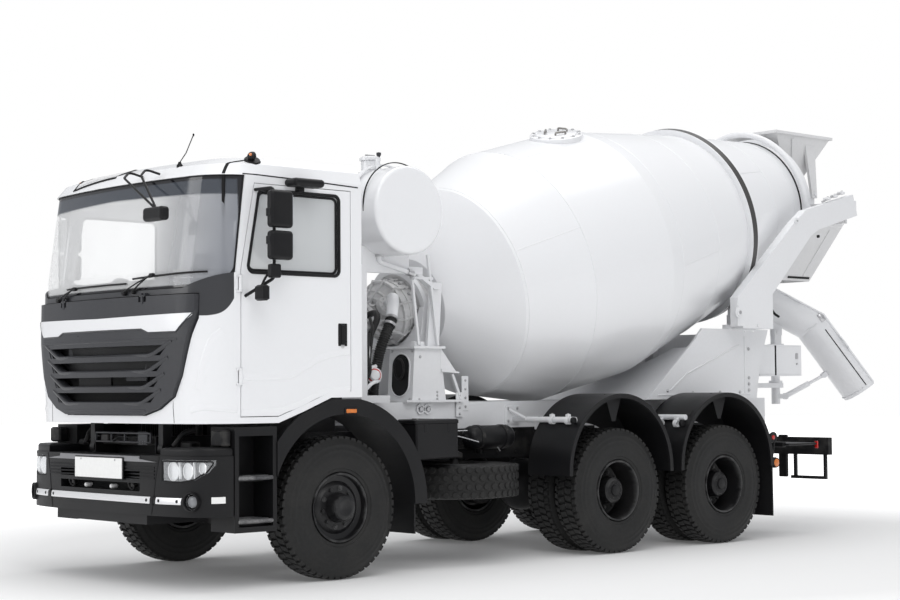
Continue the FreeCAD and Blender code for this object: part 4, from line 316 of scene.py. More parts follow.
WHITE = finish("white_paint", (0.80, 0.805, 0.82), 0.26, dust=(0.70, 0.69, 0.67), dust_share=0.04,
               mottle=0.004, grain=0.02, grain_scale=900, coat=0.5, vary=0.012)
DRUM_WHITE = finish("drum_paint", (0.80, 0.805, 0.82), 0.3, dust=(0.68, 0.67, 0.65), dust_share=0.04,
                    dust_scale=0.5, mottle=0.004, grain=0.03, grain_scale=420, coat=0.35, vary=0.012)
FRAME_WHITE = finish("frame_paint", (0.76, 0.765, 0.78), 0.36, dust=(0.62, 0.61, 0.59), dust_share=0.10,
                     mottle=0.010, grain=0.06, coat=0.15, vary=0.03)
GREY_PAINT = finish("grey_paint", (0.70, 0.70, 0.705), 0.42, dust=(0.50, 0.49, 0.47), dust_share=0.15,
                    mottle=0.015)
LIP_GREY = finish("bumper_lip_grey", (0.20, 0.20, 0.21), 0.38, dust=(0.26, 0.25, 0.24), dust_share=0.2)
STEP_GREY = finish("step_grey", (0.07, 0.07, 0.075), 0.42, dust=(0.12, 0.115, 0.11), dust_share=0.3,
                   worn=(0.22, 0.22, 0.22), gloss=0.3)
DARK_GREY = finish("dark_grey_plastic", (0.040, 0.041, 0.046), 0.34, dust=(0.075, 0.073, 0.07),
                   dust_share=0.12, grain=0.12, gloss=0.32)
BLACK = finish("black_plastic", (0.008, 0.008, 0.009), 0.40, dust=(0.04, 0.038, 0.036), dust_share=0.14,
               grain=0.22, grain_scale=600, gloss=0.22)
CHASSIS = finish("chassis_black", (0.010, 0.010, 0.011), 0.45, dust=(0.030, 0.029, 0.028), dust_share=0.25,
                 dust_scale=5.0, grain=0.12, worn=(0.05, 0.048, 0.046), gloss=0.18)
RIM = finish("rim_black", (0.008, 0.008, 0.009), 0.33, dust=(0.05, 0.047, 0.044), dust_share=0.2,
             worn=(0.10, 0.10, 0.10), gloss=0.3)
RUBBER = finish("tyre_rubber", (0.013, 0.013, 0.013), 0.62, dust=(0.050, 0.048, 0.045), dust_share=0.3,
                dust_scale=2.4, mottle=0.15, grain=0.3, grain_scale=260, gloss=0.28)
SEAL = finish("seal_rubber", (0.008, 0.008, 0.009), 0.6, dust=(0.03, 0.03, 0.03), grain=0.2, gloss=0.2)
STEEL = finish("steel", (0.55, 0.55, 0.56), 0.32, metal=1.0, dust=(0.3, 0.29, 0.28), dust_share=0.2,
               grain=0.1)
RING_STEEL = finish("ring_steel", (0.30, 0.29, 0.28), 0.38, metal=0.85, dust=(0.16, 0.13, 0.10),
                    dust_share=0.35, grain=0.12)
CAST = finish("cast_grey", (0.66, 0.66, 0.665), 0.45, dust=(0.36, 0.35, 0.33), dust_share=0.35, grain=0.45,
              grain_scale=190)
CHROME = finish("silver_strip", (0.80, 0.80, 0.81), 0.30, metal=0.45, mottle=0.004, grain=0.01, vary=0.02)
REFLECTOR = finish("lamp_reflector", (0.92, 0.93, 0.94), 0.16, metal=0.4, mottle=0.01, grain=0.02, vary=0.02)
PLATE = finish("plate_white", (0.82, 0.82, 0.81), 0.4, mottle=0.02, grain=0.05)
AMBER = finish("amber_lens", (0.62, 0.17, 0.02), 0.15, mottle=0.1, grain=0.3, grain_scale=240, coat=0.6)
RED = finish("red_lens", (0.5, 0.015, 0.012), 0.15, mottle=0.1, grain=0.3, grain_scale=240, coat=0.6)
RED_PAINT = finish("red_paint", (0.55, 0.02, 0.015), 0.4, mottle=0.05, worn=(0.3, 0.1, 0.08))
FABRIC = finish("seat_fabric", (0.07, 0.072, 0.08), 0.9, mottle=0.25, grain=0.6, grain_scale=700,
                sheen=0.4)
HOSE = finish("hose_rubber", (0.012, 0.012, 0.012), 0.5, dust=(0.05, 0.05, 0.05), grain=0.3, gloss=0.3)
MESH_BLACK = finish("air_screen", (0.012, 0.012, 0.013), 0.6, dust=(0.05, 0.05, 0.045), grain=0.5, gloss=0.1)
LENS = glass("lamp_lens", (0.9, 0.92, 0.94), alpha=0.26)
LENS_DARK = glass("fog_lens", (0.35, 0.36, 0.38), alpha=0.7)
WINDOW = glass("side_window", (0.74, 0.76, 0.77), alpha=0.62)
KERB_WINDOW = glass("kerb_window", (0.92, 0.93, 0.94), alpha=0.10)
SCREEN = windscreen()
MIRROR = finish("mirror_glass", (0.75, 0.77, 0.8), 0.04, metal=1.0, mottle=0.01, grain=0.0)
PANEL = two_tone("front_panel_paint", WHITE, ((0.030, 0.031, 0.035), 0.32, 0.2), corner_mask)
DRUM_PAINT = two_tone("drum_two_tone", DRUM_WHITE, ((0.045, 0.043, 0.042), 0.35, 0.0), ring_mask)
CAB_PAINT = two_tone("cab_paint", WHITE, ((0.008, 0.008, 0.009), 0.5, 0.0), lug_mask)


def dress(material, *nodes):
    """Puts one finish on CAD nodes."""
    for node in nodes:
        for place in NODES[node].material_slots:
            place.material = material


dress(WHITE, "cab_roof", "door_left", "door_right", "water_tank")
dress(CAB_PAINT, "cab_shell")
dress(PANEL, "front_panel")
dress(DRUM_PAINT, "drum")
dress(FRAME_WHITE, "subframe", "front_pedestal", "rear_pedestal", "side_arms", "chute", "chute_bracket",
      "jack_tube", "jack_screw", "tool_box")
dress(GREY_PAINT, "charging_hopper", "discharge_collector")
dress(DARK_GREY, "grille")
dress(BLACK, "front_mirror", "bumper", "steps", "fenders", "battery_box", "mirror_left", "mirror_right",
      "dashboard")
dress(CHASSIS, "chassis_rails", "front_axle", "drive_axles", "leaf_springs", "tie_rod", "knuckle_left",
      "knuckle_right", "tail_bar", "fuel_tank", "engine")
dress(RIM, *[place + name for name, side in SIDES for place in ("front_rim_", "mid_rims_", "rear_rims_")])
dress(CAST, "gearbox")
dress(STEEL, "roller_left", "roller_right")
dress(HOSE, "hoses")
dress(FABRIC, "seats")
dress(SCREEN, "cab_glass")
dress(LENS, "headlamps")
dress(WINDOW, "door_glass_left")
dress(KERB_WINDOW, "door_glass_right")


# ---------------------------------------------------------------- building forms

class Form:
    """The points and faces of one piece, with the number of each face's material."""

    def __init__(self):
        self.points = []
        self.faces = []
        self.numbers = []

    def add(self, points, faces, number=0):
        """Adds points with the faces between them."""
        start = len(self.points)
        self.points += [Vector(point) for point in points]
        self.faces += [[start + index for index in face] for face in faces]
        self.numbers += [number] * len(faces)

    def loft(self, rings, number=0, round_end=False, caps=True):
        """Skins rings of equally many points. round_end joins the last ring to the first."""
        count = len(rings[0])
        points = [point for ring in rings for point in ring]
        faces = []
        last = len(rings) if round_end else len(rings) - 1
        for row in range(last):
            after = (row + 1) % len(rings)
            for index in range(count):
                beside = (index + 1) % count
                faces.append((row * count + index, row * count + beside, after * count + beside,
                              after * count + index))
        if caps and not round_end:
            faces.append(tuple(reversed(range(count))))
            faces.append(tuple(range(len(points) - count, len(points))))
        self.add(points, faces, number)

    def block(self, centre, size, number=0, edge=0.004, axes=(X, Y, Z)):
        """A box with chamfered edges."""
        half = [side / 2 for side in size]
        edge = min([edge] + [side * 0.45 for side in half])
        rings = []
        for level, inset in ((-half[2], edge), (-half[2] + edge, 0), (half[2] - edge, 0), (half[2], edge)):
            a, b = half[0] - inset, half[1] - inset
            corners = ((a - edge, -b), (a, -b + edge), (a, b - edge), (a - edge, b), (-a + edge, b),
                       (-a, b - edge), (-a, -b + edge), (-a + edge, -b))
            rings.append([Vector(centre) + axes[0] * u + axes[1] * v + axes[2] * level for u, v in corners])
        self.loft(rings, number)

    def turn(self, centre, axis, profile, number=0, steps=32, ends=False):
        """Turns (along, radius) points round an axis. ends caps an open profile."""
        axis = Vector(axis).normalized()
        side = axis.orthogonal().normalized()
        other = axis.cross(side)
        rings = [arc(Vector(centre) + axis * along, side * max(radius, 1e-5), other * max(radius, 1e-5),
                     around(steps)) for along, radius in profile]
        self.loft(rings, number, round_end=not ends, caps=ends)

    def plug(self, centre, axis, profile, number=0, steps=20):
        """A turned cap or boss: its profile closed flat at the last point."""
        self.turn(centre, axis, profile + [(profile[-1][0], 0.0)], number, steps, True)

    def blocks(self, number, edge, *pairs):
        """Boxes of one finish and edge, told as (centre, size)."""
        for centre, size in pairs:
            self.block(centre, size, number, edge)

    def pipe(self, route, radius, number=0, sides=10, closed=False, flat=1.0):
        """A round or flattened tube along points."""
        route = [Vector(point) for point in route]
        rings = []
        reference = None
        for index, point in enumerate(route):
            if closed:
                ahead = route[(index + 1) % len(route)] - route[index - 1]
            else:
                ahead = route[min(index + 1, len(route) - 1)] - route[max(index - 1, 0)]
            ahead.normalize()
            if reference is None:
                reference = ahead.orthogonal()
            reference = (reference - ahead * reference.dot(ahead)).normalized()
            beside = ahead.cross(reference)
            rings.append(arc(point, reference * radius * flat, beside * radius, around(sides)))
        self.loft(rings, number, round_end=closed, caps=not closed)

    def bolt(self, point, axis, size=0.012, number=0):
        """A hexagon head on its washer, standing out along an axis."""
        self.plug(point, axis, [(-0.001, size * 1.35), (size * 0.18, size * 1.35)], number, 12)
        head = [(size * 0.15, size), (size * 0.75, size), (size * 0.9, size * 0.82)]
        self.plug(point, axis, head, number, 6)


def rounded(route, bend):
    """A broken line whose corners become arcs of about this radius."""
    route = [Vector(point) for point in route]
    out = [route[0]]
    for before, corner, after in zip(route, route[1:], route[2:]):
        reach = min(bend, (before - corner).length * 0.48, (after - corner).length * 0.48)
        start = corner + (before - corner).normalized() * reach
        end = corner + (after - corner).normalized() * reach
        for step in range(6):
            t = step / 5
            out.append(start * (1 - t) ** 2 + corner * 2 * t * (1 - t) + end * t ** 2)
    return out + [route[-1]]


def make(form, name, body, materials, smooth=38, bevel=0.0):
    """Turns a form into a piece that rides on a body."""
    mesh = bpy.data.meshes.new(name)
    mesh.from_pydata(form.points, [], form.faces)
    mesh.validate()
    for material in materials:
        mesh.materials.append(material)
    for polygon, number in zip(mesh.polygons, form.numbers):
        polygon.material_index = number
        polygon.use_smooth = True
    work = bmesh.new()
    work.from_mesh(mesh)
    bmesh.ops.remove_doubles(work, verts=work.verts, dist=2e-5)
    bmesh.ops.recalc_face_normals(work, faces=work.faces)
    work.to_mesh(mesh)
    work.free()
    mesh.set_sharp_from_angle(angle=math.radians(smooth))
    piece = bpy.data.objects.new(name, mesh)
    bpy.context.scene.collection.objects.link(piece)
    if bevel:
        edge = piece.modifiers.new("edge", "BEVEL")
        edge.width = bevel
        edge.segments = 2
        edge.limit_method = "ANGLE"
        edge.angle_limit = math.radians(50)
    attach(piece, body)
    return piece


class Skin:
    """The surface of some CAD nodes, to lay pieces on."""

    def __init__(self, *nodes):
        points = []
        faces = []
        for node in nodes:
            mesh = NODES[node].data
            start = len(points)
            points += [vertex.co.copy() for vertex in mesh.vertices]
            faces += [[start + index for index in polygon.vertices] for polygon in mesh.polygons]
        self.tree = BVHTree.FromPolygons(points, faces)

    def hit(self, start, way):
        """(point, outward normal) where a line first meets the surface, or None."""
        place, normal, _, _ = self.tree.ray_cast(Vector(start), Vector(way).normalized())
        if place is None:
            return None
        return place, normal if normal.dot(Vector(way)) < 0 else -normal


def draped(form, skin, start_of, way, lift, columns, rows, number=0, sink=0.004):
    """A sheet laid on a skin: start_of(u, v) gives where each ray starts, u and v from 0 to 1."""
    way = Vector(way).normalized()
    top = []
    under = []
    for j in range(rows + 1):
        for i in range(columns + 1):
            found = skin.hit(start_of(i / columns, j / rows), way)
            if found is None:
                return False
            place, normal = found
            top.append(place + normal * lift)
            under.append(place - normal * sink)
    wide = columns + 1
    count = len(top)
    faces = []
    for j in range(rows):
        for i in range(columns):
            a = j * wide + i
            faces.append((a, a + 1, a + wide + 1, a + wide))
            faces.append(tuple(count + k for k in (a, a + wide, a + wide + 1, a + 1)))
    rim = ([i for i in range(wide)] + [j * wide + columns for j in range(1, rows + 1)]
           + [rows * wide + i for i in range(columns - 1, -1, -1)]
           + [j * wide for j in range(rows - 1, 0, -1)])
    for a, b in zip(rim, rim[1:] + rim[:1]):
        faces.append((a, count + a, count + b, b))
    form.add(top + under, faces, number)
    return True


# ---------------------------------------------------------------- wheels

TREAD_STEPS = 54


def tyre_form(form, centre, axis):
    """A radial tyre: its carcass with sidewall rings, and four rows of tread blocks."""
    half = TYRE_W / 2
    r = TYRE_R
    side = [(half - 0.030, 0.262), (half - 0.016, 0.272), (half - 0.012, 0.292), (half - 0.006, 0.296),
            (half - 0.004, 0.306), (half - 0.006, 0.330), (half - 0.001, 0.352), (half - 0.001, 0.366),
            (half, 0.372), (half, 0.404), (half - 0.003, 0.418), (half - 0.0015, 0.424),
            (half - 0.0015, 0.436), (half - 0.0045, 0.442), (half - 0.008, 0.462),
            (half - 0.0065, 0.468), (half - 0.0075, 0.476), (half - 0.012, 0.482), (half - 0.021, r - 0.036),
            (half - 0.032, r - 0.019), (half - 0.06, r - 0.0165)]
    profile = [(-along, radius) for along, radius in side] + [(0.0, r - 0.015)]
    profile += [(along, radius) for along, radius in reversed(side)]
    profile += [(half - 0.05, 0.2615), (-half + 0.05, 0.2615)]
    form.turn(centre, axis, profile, 0, 96)
    axis = Vector(axis).normalized()
    first = axis.orthogonal().normalized()
    second = axis.cross(first)
    pitch = 2 * math.pi / TREAD_STEPS
    rows = ((half - 0.026, half - 0.062, r - 0.006, r - 0.0015, 0.0, 0.34, 0.05),
            (half - 0.070, half - 0.139, r - 0.0005, r, 0.5, 0.36, -0.10))
    for step in range(TREAD_STEPS):
        for sign in (1, -1):
            for outer, inner, r_outer, r_inner, phase, width, lean in rows:
                angle = pitch * (step + phase + (0.25 if sign < 0 else 0))
                block = []
                for depth, grow in ((0.022, 1.16), (0.0035, 1.0), (0.0, 0.9)):
                    ring = []
                    for along, reach, turn in ((outer, r_outer, -1), (outer, r_outer, 1),
                                               (inner, r_inner, 1), (inner, r_inner, -1)):
                        lead = lean if along == inner else -lean
                        spin = angle + pitch * (turn * width * grow + lead)
                        mid = (outer + inner) / 2
                        y = sign * (mid + (along - mid) * (1 + (grow - 1) * 0.35))
                        ring.append(Vector(centre) + axis * y
                                    + (first * math.cos(spin) + second * math.sin(spin)) * (reach - depth))
                    block.append(ring)
                form.loft(block)


def nuts(form, centre, axis, circle, count, size, number=0):
    """Bolts evenly round a circle."""
    axis = Vector(axis).normalized()
    first = axis.orthogonal().normalized()
    second = axis.cross(first)
    half = 180 / count
    for point in arc(Vector(centre), first * circle, second * circle, around(count, half, 360 + half)):
        form.bolt(point, axis, size, number)


HUB_CAP = [(0.034, 0.097), (0.046, 0.09), (0.052, 0.07), (0.052, 0.052), (0.047, 0.045)]
DRIVE_CAP = [(0.0, 0.088), (0.004, 0.084), (0.004, 0.05), (0.014, 0.047), (0.018, 0.04)]
RIM_EDGE = [(-0.021, 0.2617), (-0.012, 0.2605), (-0.010, 0.254), (-0.014, 0.246), (-0.021, 0.2445)]


def tyre(name, body, centre, out):
    """One tyre as its own piece, filling its slot."""
    form = Form()
    tyre_form(form, centre, out)
    piece = make(form, name, body, [RUBBER], 30)
    return piece


def wheels():
    """Tyres in place of the CAD's plain ones, with nuts, caps and edges on the rims."""
    for name, side in SIDES:
        out = Y * side
        node, body = "front_tyre_" + name, "wheel_front_" + name
        centre = middle(node)
        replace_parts(tyre("tyre_front_" + name, body, centre, out), node)
        face = centre + out * (TYRE_W / 2)
        trim = Form()
        nuts(trim, face - out * 0.048, out, 0.145, 10, 0.0155)
        trim.plug(face, out, HUB_CAP, 0, 40)
        nuts(trim, face + out * 0.035, out, 0.083, 8, 0.007)
        trim.turn(face, out, RIM_EDGE, 0, 72)
        make(trim, "hub_trim_front_" + name, body, [RIM])
        for place in ("mid", "rear"):
            node, body = "%s_tyres_%s" % (place, name), "wheel_%s_%s" % (place, name)
            centre = middle(node)
            pitch = (high(node).y - low(node).y - TYRE_W) / 2
            for step, label in ((1, "outer"), (-1, "inner")):
                piece = tyre("_".join(("tyre", place, label, name)), body, centre + out * (pitch * step), out)
                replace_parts(piece, node)
            face = centre + out * (pitch + TYRE_W / 2)
            trim = Form()
            nuts(trim, face - out * 0.163, out, 0.152, 10, 0.0155)
            nuts(trim, face - out * 0.056, out, 0.066, 8, 0.008, 1)
            trim.plug(face - out * 0.056, out, DRIVE_CAP, 1, 40)
            trim.turn(face, out, RIM_EDGE, 0, 72)
            make(trim, "hub_trim_%s_%s" % (place, name), body, [RIM, CHASSIS])


# ---------------------------------------------------------------- doors

def pane_outline(node, side):
    """The outer edge of a flat side window, in order."""
    face = high(node).y if side > 0 else low(node).y
    points = [vertex.co.copy() for vertex in NODES[node].data.vertices if abs(vertex.co.y - face) < 1e-4]
    centre = sum(points, Vector()) / len(points)
    points.sort(key=lambda point: math.atan2(point.z - centre.z, point.x - centre.x))
    out = []
    for point in points:
        if not out or (point - out[-1]).length > 0.004:
            out.append(point)
    return out


def door_trim():
    """Window seals outside and inside, and the door handles."""
    grown = 0.006
    for name, side in SIDES:
        outline = pane_outline("door_glass_" + name, side)
        centre = sum(outline, Vector()) / len(outline)
        form = Form()
        form.pipe([(p.x + math.copysign(grown, p.x - centre.x), side * 1.2495,
                    p.z + math.copysign(grown, p.z - centre.z)) for p in outline], 0.013, 0, 8, True, 0.9)
        form.pipe([(centre.x + (p.x - centre.x) * 0.975, side * 1.231, centre.z + (p.z - centre.z) * 0.955)
                   for p in outline], 0.010, 0, 8, True, 0.8)
        make(form, "window_seal_" + name, "door_" + name, [SEAL])
        handle = Form()
        grip_x = 0.031
        handle.block(at(grip_x, side * 1.252, 1.84), (0.034, 0.02, 0.15), 0, 0.007)
        handle.block(at(grip_x, side * 1.243, 1.905), (0.052, 0.022, 0.035), 0, 0.006)
        handle.plug(at(grip_x + 0.002, side * 1.25, 1.755), Y * side,
                    [(-0.01, 0.017), (0.004, 0.017), (0.006, 0.013)], 1)
        handle.block(at(grip_x, side * 1.2475, 1.84), (0.085, 0.012, 0.17), 0, 0.004)
        make(handle, "door_handle_" + name, "door_" + name, [BLACK, STEEL])


# ---------------------------------------------------------------- laying pieces on the bodywork

def ridge(form, route, profile, number=0, closed=False):
    """Sweeps a section along (point, normal) pairs. The section is told as (sideways, outward)."""
    rings = []
    count = len(route)
    for index, (point, normal) in enumerate(route):
        before = route[index - 1][0] if index or closed else point
        after = route[(index + 1) % count][0] if index < count - 1 or closed else point
        along = (after - before).normalized()
        across = normal.cross(along).normalized()
        rings.append([point + across * u + normal * v for u, v in profile])
    form.loft(rings, number, round_end=closed, caps=not closed)


def trace(skin, line, start_of, way, spacing, closed=False):
    """Follows a broken line over a skin and gives (point, normal) pairs."""
    found = []
    ends = line[1:] + (line[:1] if closed else [])
    for (a, b), (c, e) in zip(line, ends):
        steps = max(int(math.hypot(c - a, e - b) / spacing), 1)
        for step in range(steps):
            found.append(skin.hit(start_of(a + (c - a) * step / steps, b + (e - b) * step / steps), way))
    if not closed:
        found.append(skin.hit(start_of(*line[-1]), way))
    return [pair for pair in found if pair]


def from_front(y, z):
    """Where a ray from ahead starts."""
    return at(RAY_AHEAD, y, z)


def from_side(side):
    """Gives the starts of rays from the left or the right."""
    return lambda x, z: at(x, RAY_BESIDE * side, z)


def from_top(x, y):
    """Where a ray from above starts."""
    return at(x, y, RAY_OVER)


def front_line(form, skin, line, section, number=0, spacing=0.03):
    """A strip along (y, z) points of a skin seen from the front."""
    ridge(form, trace(skin, line, from_front, -X, spacing), section, number)


def side_line(form, skin, side, line, section, number=0, spacing=0.03, turned=False):
    """A strip along (x, z) points of a skin seen from one side. turned swaps the section's edges there."""
    route = trace(skin, line, from_side(side), -Y * side, spacing)
    if len(route) > 1:
        ridge(form, route[::-1] if turned else route, section, number)


def smooth_line(line, bend):
    """A broken line in a plane with its corners rounded."""
    return [(p.x, p.y) for p in rounded([(a, b, 0) for a, b in line], bend)]


SEAL_ROUND = [(0.010, -0.003), (0.009, 0.005), (0.004, 0.009), (-0.004, 0.009), (-0.009, 0.005),
              (-0.010, -0.003)]
SOFT_FOLD = [(0.052, -0.004), (0.036, 0.0004), (0.018, 0.0035), (0.004, 0.0055), (-0.004, 0.0050),
             (-0.010, 0.0022), (-0.016, -0.004)]


def border(node, outward):
    """The rim of a pane's outer face as (point, normal) pairs in order."""
    mesh = NODES[node].data
    spots = {}
    number = [spots.setdefault(tuple(round(c, 4) for c in vertex.co), vertex.index)
              for vertex in mesh.vertices]
    faces_of = {}
    for polygon in mesh.polygons:
        for a, b in polygon.edge_keys:
            faces_of.setdefault(tuple(sorted((number[a], number[b]))), []).append(polygon)
    links = {}
    normals = {}
    for (a, b), faces in faces_of.items():
        inside = [face for face in faces if outward(face)]
        if len(inside) == 1:
            for one, other in ((a, b), (b, a)):
                links.setdefault(one, []).append(other)
                normals[one] = inside[0].normal.copy()
    start = next(iter(links))
    loop = [start]
    before = None
    while True:
        ahead = [index for index in links[loop[-1]] if index != before]
        if not ahead or ahead[0] == start or len(loop) > len(links):
            break
        before = loop[-1]
        loop.append(ahead[0])
    return [(mesh.vertices[index].co.copy(), normals[index]) for index in loop]


# ---------------------------------------------------------------- cab front

SLOT_TALL = 0.074
SCREEN_BASE, SCREEN_TOP, SCREEN_HALF = 1.29, 1.80, 0.92


def slot_heights():
    """The lid's slots from the lowest up: (lower edge, upper edge, half width at the lower edge)."""
    top = high("grille").z - 0.34
    base = low("grille").z + 0.07
    pitch = (top - base) / 4
    return [(base + pitch * k + (pitch - SLOT_TALL) / 2, base + pitch * k + (pitch + SLOT_TALL) / 2,
             0.60 + 0.044 * k) for k in range(4)]


def inlay_start(u, v):
    """Where the white inlay's rays start: a band that dips beside the middle and ends in raised tips."""
    y = -1.075 + 2.15 * u
    side = abs(y)
    top = 1.972 + 0.012 * side
    base = 1.880 - 0.028 * min(max((side - 0.56) / 0.08, 0), 1)
    if side > 0.94:
        base += (side - 0.94) / 0.135 * (top - base - 0.012)
    return from_front(y, base + (top - base) * v)


def lid_trim():
    """The white inlay with its frame, and the kicked-up lips of the slats."""
    skin = Skin("grille")
    form = Form()
    draped(form, skin, inlay_start, -X, 0.0045, 72, 3)
    make(form, "lid_inlay", "grille_lid", [WHITE], 30, 0.0015)
    rim = Form()
    half = [(0.56, 1.880), (0.64, 1.852), (0.94, 1.852), (1.075, 1.983)]
    front_line(rim, skin, [(-y, z) for y, z in reversed(half)] + half,
               [(0.008, -0.003), (0.006, 0.004), (0.0, 0.007), (-0.006, 0.004), (-0.008, -0.003)])
    for z, half in ((1.80, 0.95), (1.285, 0.58)):
        front_line(rim, skin, [(-half, z), (half, z)], bead(0.012, 0.003, 0.006, 0.003))
    make(rim, "lid_rim", "grille_lid", [DARK_GREY], 40)
    lips = Form()
    tall = 0.022
    for base, top, half in slot_heights():
        end = half + 0.16
        route = []
        for y, z in smooth_line([(-end, top + 0.022), (-half + 0.07, base - 0.004),
                                 (half - 0.07, base - 0.004), (end, top + 0.022)], 0.05):
            found = skin.hit(from_front(y, base - 0.014), -X)
            if found:
                route.append((Vector((found[0].x, y, z)), found[1]))
        ridge(lips, route, [(-tall, -0.060), (-tall, 0.001), (-tall * 0.55, 0.010), (0.0, 0.012),
                            (tall * 0.30, 0.006), (tall * 0.42, -0.012), (tall * 0.30, -0.060)])
        for sign in (1, -1):
            cheek = []
            tip = half + 0.125
            for y, z in ((tip, base - 0.016), (tip, top + 0.004), (half + 0.02, base - 0.016)):
                found = skin.hit(from_front(sign * y, base - 0.014), -X)
                cheek.append(Vector((found[0].x - 0.004, sign * y, z)))
            lips.loft([cheek, [point - X * 0.05 for point in cheek]])
    make(lips, "lid_slats", "grille_lid", [DARK_GREY], 40, 0.0012)
    air_screen(skin)


def air_screen(skin):
    """The dark pleated screen behind the slots, with a few units and posts in front of it."""
    form = Form()
    rows, columns = 22, 46

    def behind(y):
        return skin.hit(from_front(y, 2.04), -X)[0].x - 0.105

    grid = []
    for j in range(rows + 1):
        z = SCREEN_BASE + (SCREEN_TOP - SCREEN_BASE) * j / rows
        for i in range(columns + 1):
            y = SCREEN_HALF * (2 * i / columns - 1)
            fold = 0.008 if (i + j) % 2 else 0.0
            grid.append((behind(y) - 0.003 - fold, y, z))
    wide = columns + 1
    firsts = [j * wide + i for j in range(rows) for i in range(columns)]
    form.add(grid, [(first, first + 1, first + wide + 1, first + wide) for first in firsts])
    for y, z, size_y, size_z, number in ((-0.40, 1.735, 0.44, 0.11, 1), (0.415, 1.725, 0.27, 0.13, 1),
                                         (0.36, 1.565, 0.28, 0.13, 1), (-0.215, 1.505, 0.47, 0.11, 2)):
        form.block((behind(y), y, z), (0.02, size_y, size_z), number)
    for sign in (1, -1):
        form.block((behind(sign * 0.9), sign * 0.93, 1.545), (0.03, 0.03, 0.52), 1)
    make(form, "air_screen", "cab", [MESH_BLACK, DARK_GREY, BLACK], 20)


def panel_lines():
    """The gap lines and folds of the white front panel and the doors."""
    skin = Skin("front_panel", "cab_shell")
    lines = Form()
    folds = Form()
    upright = smooth_line([(1.10, 1.868), (1.165, 1.812), (1.205, 1.64), (1.222, 1.44)], 0.06)
    lower = smooth_line([(0.99, 1.280), (1.13, 1.292), (1.203, 1.300), (1.237, 1.276)], 0.04)
    for side in (1, -1):
        front_line(lines, skin, [(side * 0.862, 1.375), (side * 0.856, 1.31), (side * 0.862, 1.195)],
                   bead(0.0022, 0.004, 0.0022, 0.0012), 0, 0.02)
        side_line(folds, skin, side, upright, SOFT_FOLD, 0, 0.02, side < 0)
        side_line(folds, skin, side, lower, SOFT_FOLD, 0, 0.02, side > 0)
    make(lines, "panel_gaps", "cab", [SEAL], 30)
    make(folds, "panel_folds", "cab", [WHITE], 60)
    upper = smooth_line([(0.945, 1.512), (0.62, 1.512), (0.50, 1.525), (0.24, 1.655), (0.10, 1.69),
                         (-0.04, 1.70)], 0.12)
    lower = smooth_line([(0.945, 1.288), (0.62, 1.288), (0.44, 1.335), (0.22, 1.43), (-0.04, 1.445)], 0.10)
    for name, side in SIDES:
        skin = Skin("door_" + name)
        form = Form()
        side_line(form, skin, side, upper, SOFT_FOLD, turned=side < 0)
        side_line(form, skin, side, lower, [(u * 0.7, v * 0.7) for u, v in SOFT_FOLD], turned=side > 0)
        make(form, "door_folds_" + name, "door_" + name, [WHITE], 60)


def wiper(form, over, foot, elbow, tips):
    """One wiper: two arms from their spindles to a joint, a bowed spine and its blade."""
    y, z = foot
    first, second = over(y, z, 0.012), over(y + 0.11, z + 0.002, 0.012)
    form.plug(first, X, [(-0.03, 0.024), (0.010, 0.024), (0.018, 0.018)])
    form.plug(second, X, [(-0.03, 0.018), (0.006, 0.018), (0.012, 0.013)], 0, 16)
    joint = over(*elbow, 0.040)
    outer_arm = rounded([first + X * 0.014, (first + joint) / 2 + X * 0.022, joint], 0.08)
    inner_arm = rounded([second + X * 0.01, (second + joint) / 2 + X * 0.02, joint - Y * 0.02], 0.08)
    form.pipe(outer_arm, 0.0095, 0, 8, flat=0.55)
    form.pipe(inner_arm, 0.006, 0, 8)
    count = 14
    spine = []
    blade = []
    for step in range(count + 1):
        y, z = (a + (b - a) * step / count for a, b in zip(*tips))
        spine.append(over(y, z, 0.018 + 0.012 * math.sin(math.pi * step / count)))
        blade.append(over(y, z, 0.006))
    form.pipe(spine, 0.008, 0, 6)
    form.pipe(blade, 0.005, 1, 6)
    for share in (0.1, 0.3, 0.7, 0.9):
        index = round(share * count)
        form.pipe([blade[index], spine[index]], 0.005, 0, 6)
    form.block(joint - X * 0.006, (0.028, 0.05, 0.028), 0, 0.005)


def screen_trim():
    """The windscreen's rubber and the two wipers."""
    seal = Form()
    loop = border("cab_glass", lambda face: face.normal.x > 0.25 and face.center.x > AXLE_X + 0.3)
    ridge(seal, loop, SEAL_ROUND, 0, True)
    make(seal, "screen_seal", "cab", [SEAL], 50)
    skin = Skin("cab_glass", "front_panel", "grille", "cab_shell")

    def over(y, z, out):
        place, normal = skin.hit(from_front(y, z), -X)
        return place + normal * out

    wipers = Form()
    wiper(wipers, over, (0.32, 2.158), (0.645, 2.272), ((0.40, 2.255), (1.12, 2.279)))
    wiper(wipers, over, (-0.68, 2.140), (-0.40, 2.216), ((-0.56, 2.220), (0.31, 2.224)))
    make(wipers, "wipers", "cab", [BLACK, SEAL], 40)


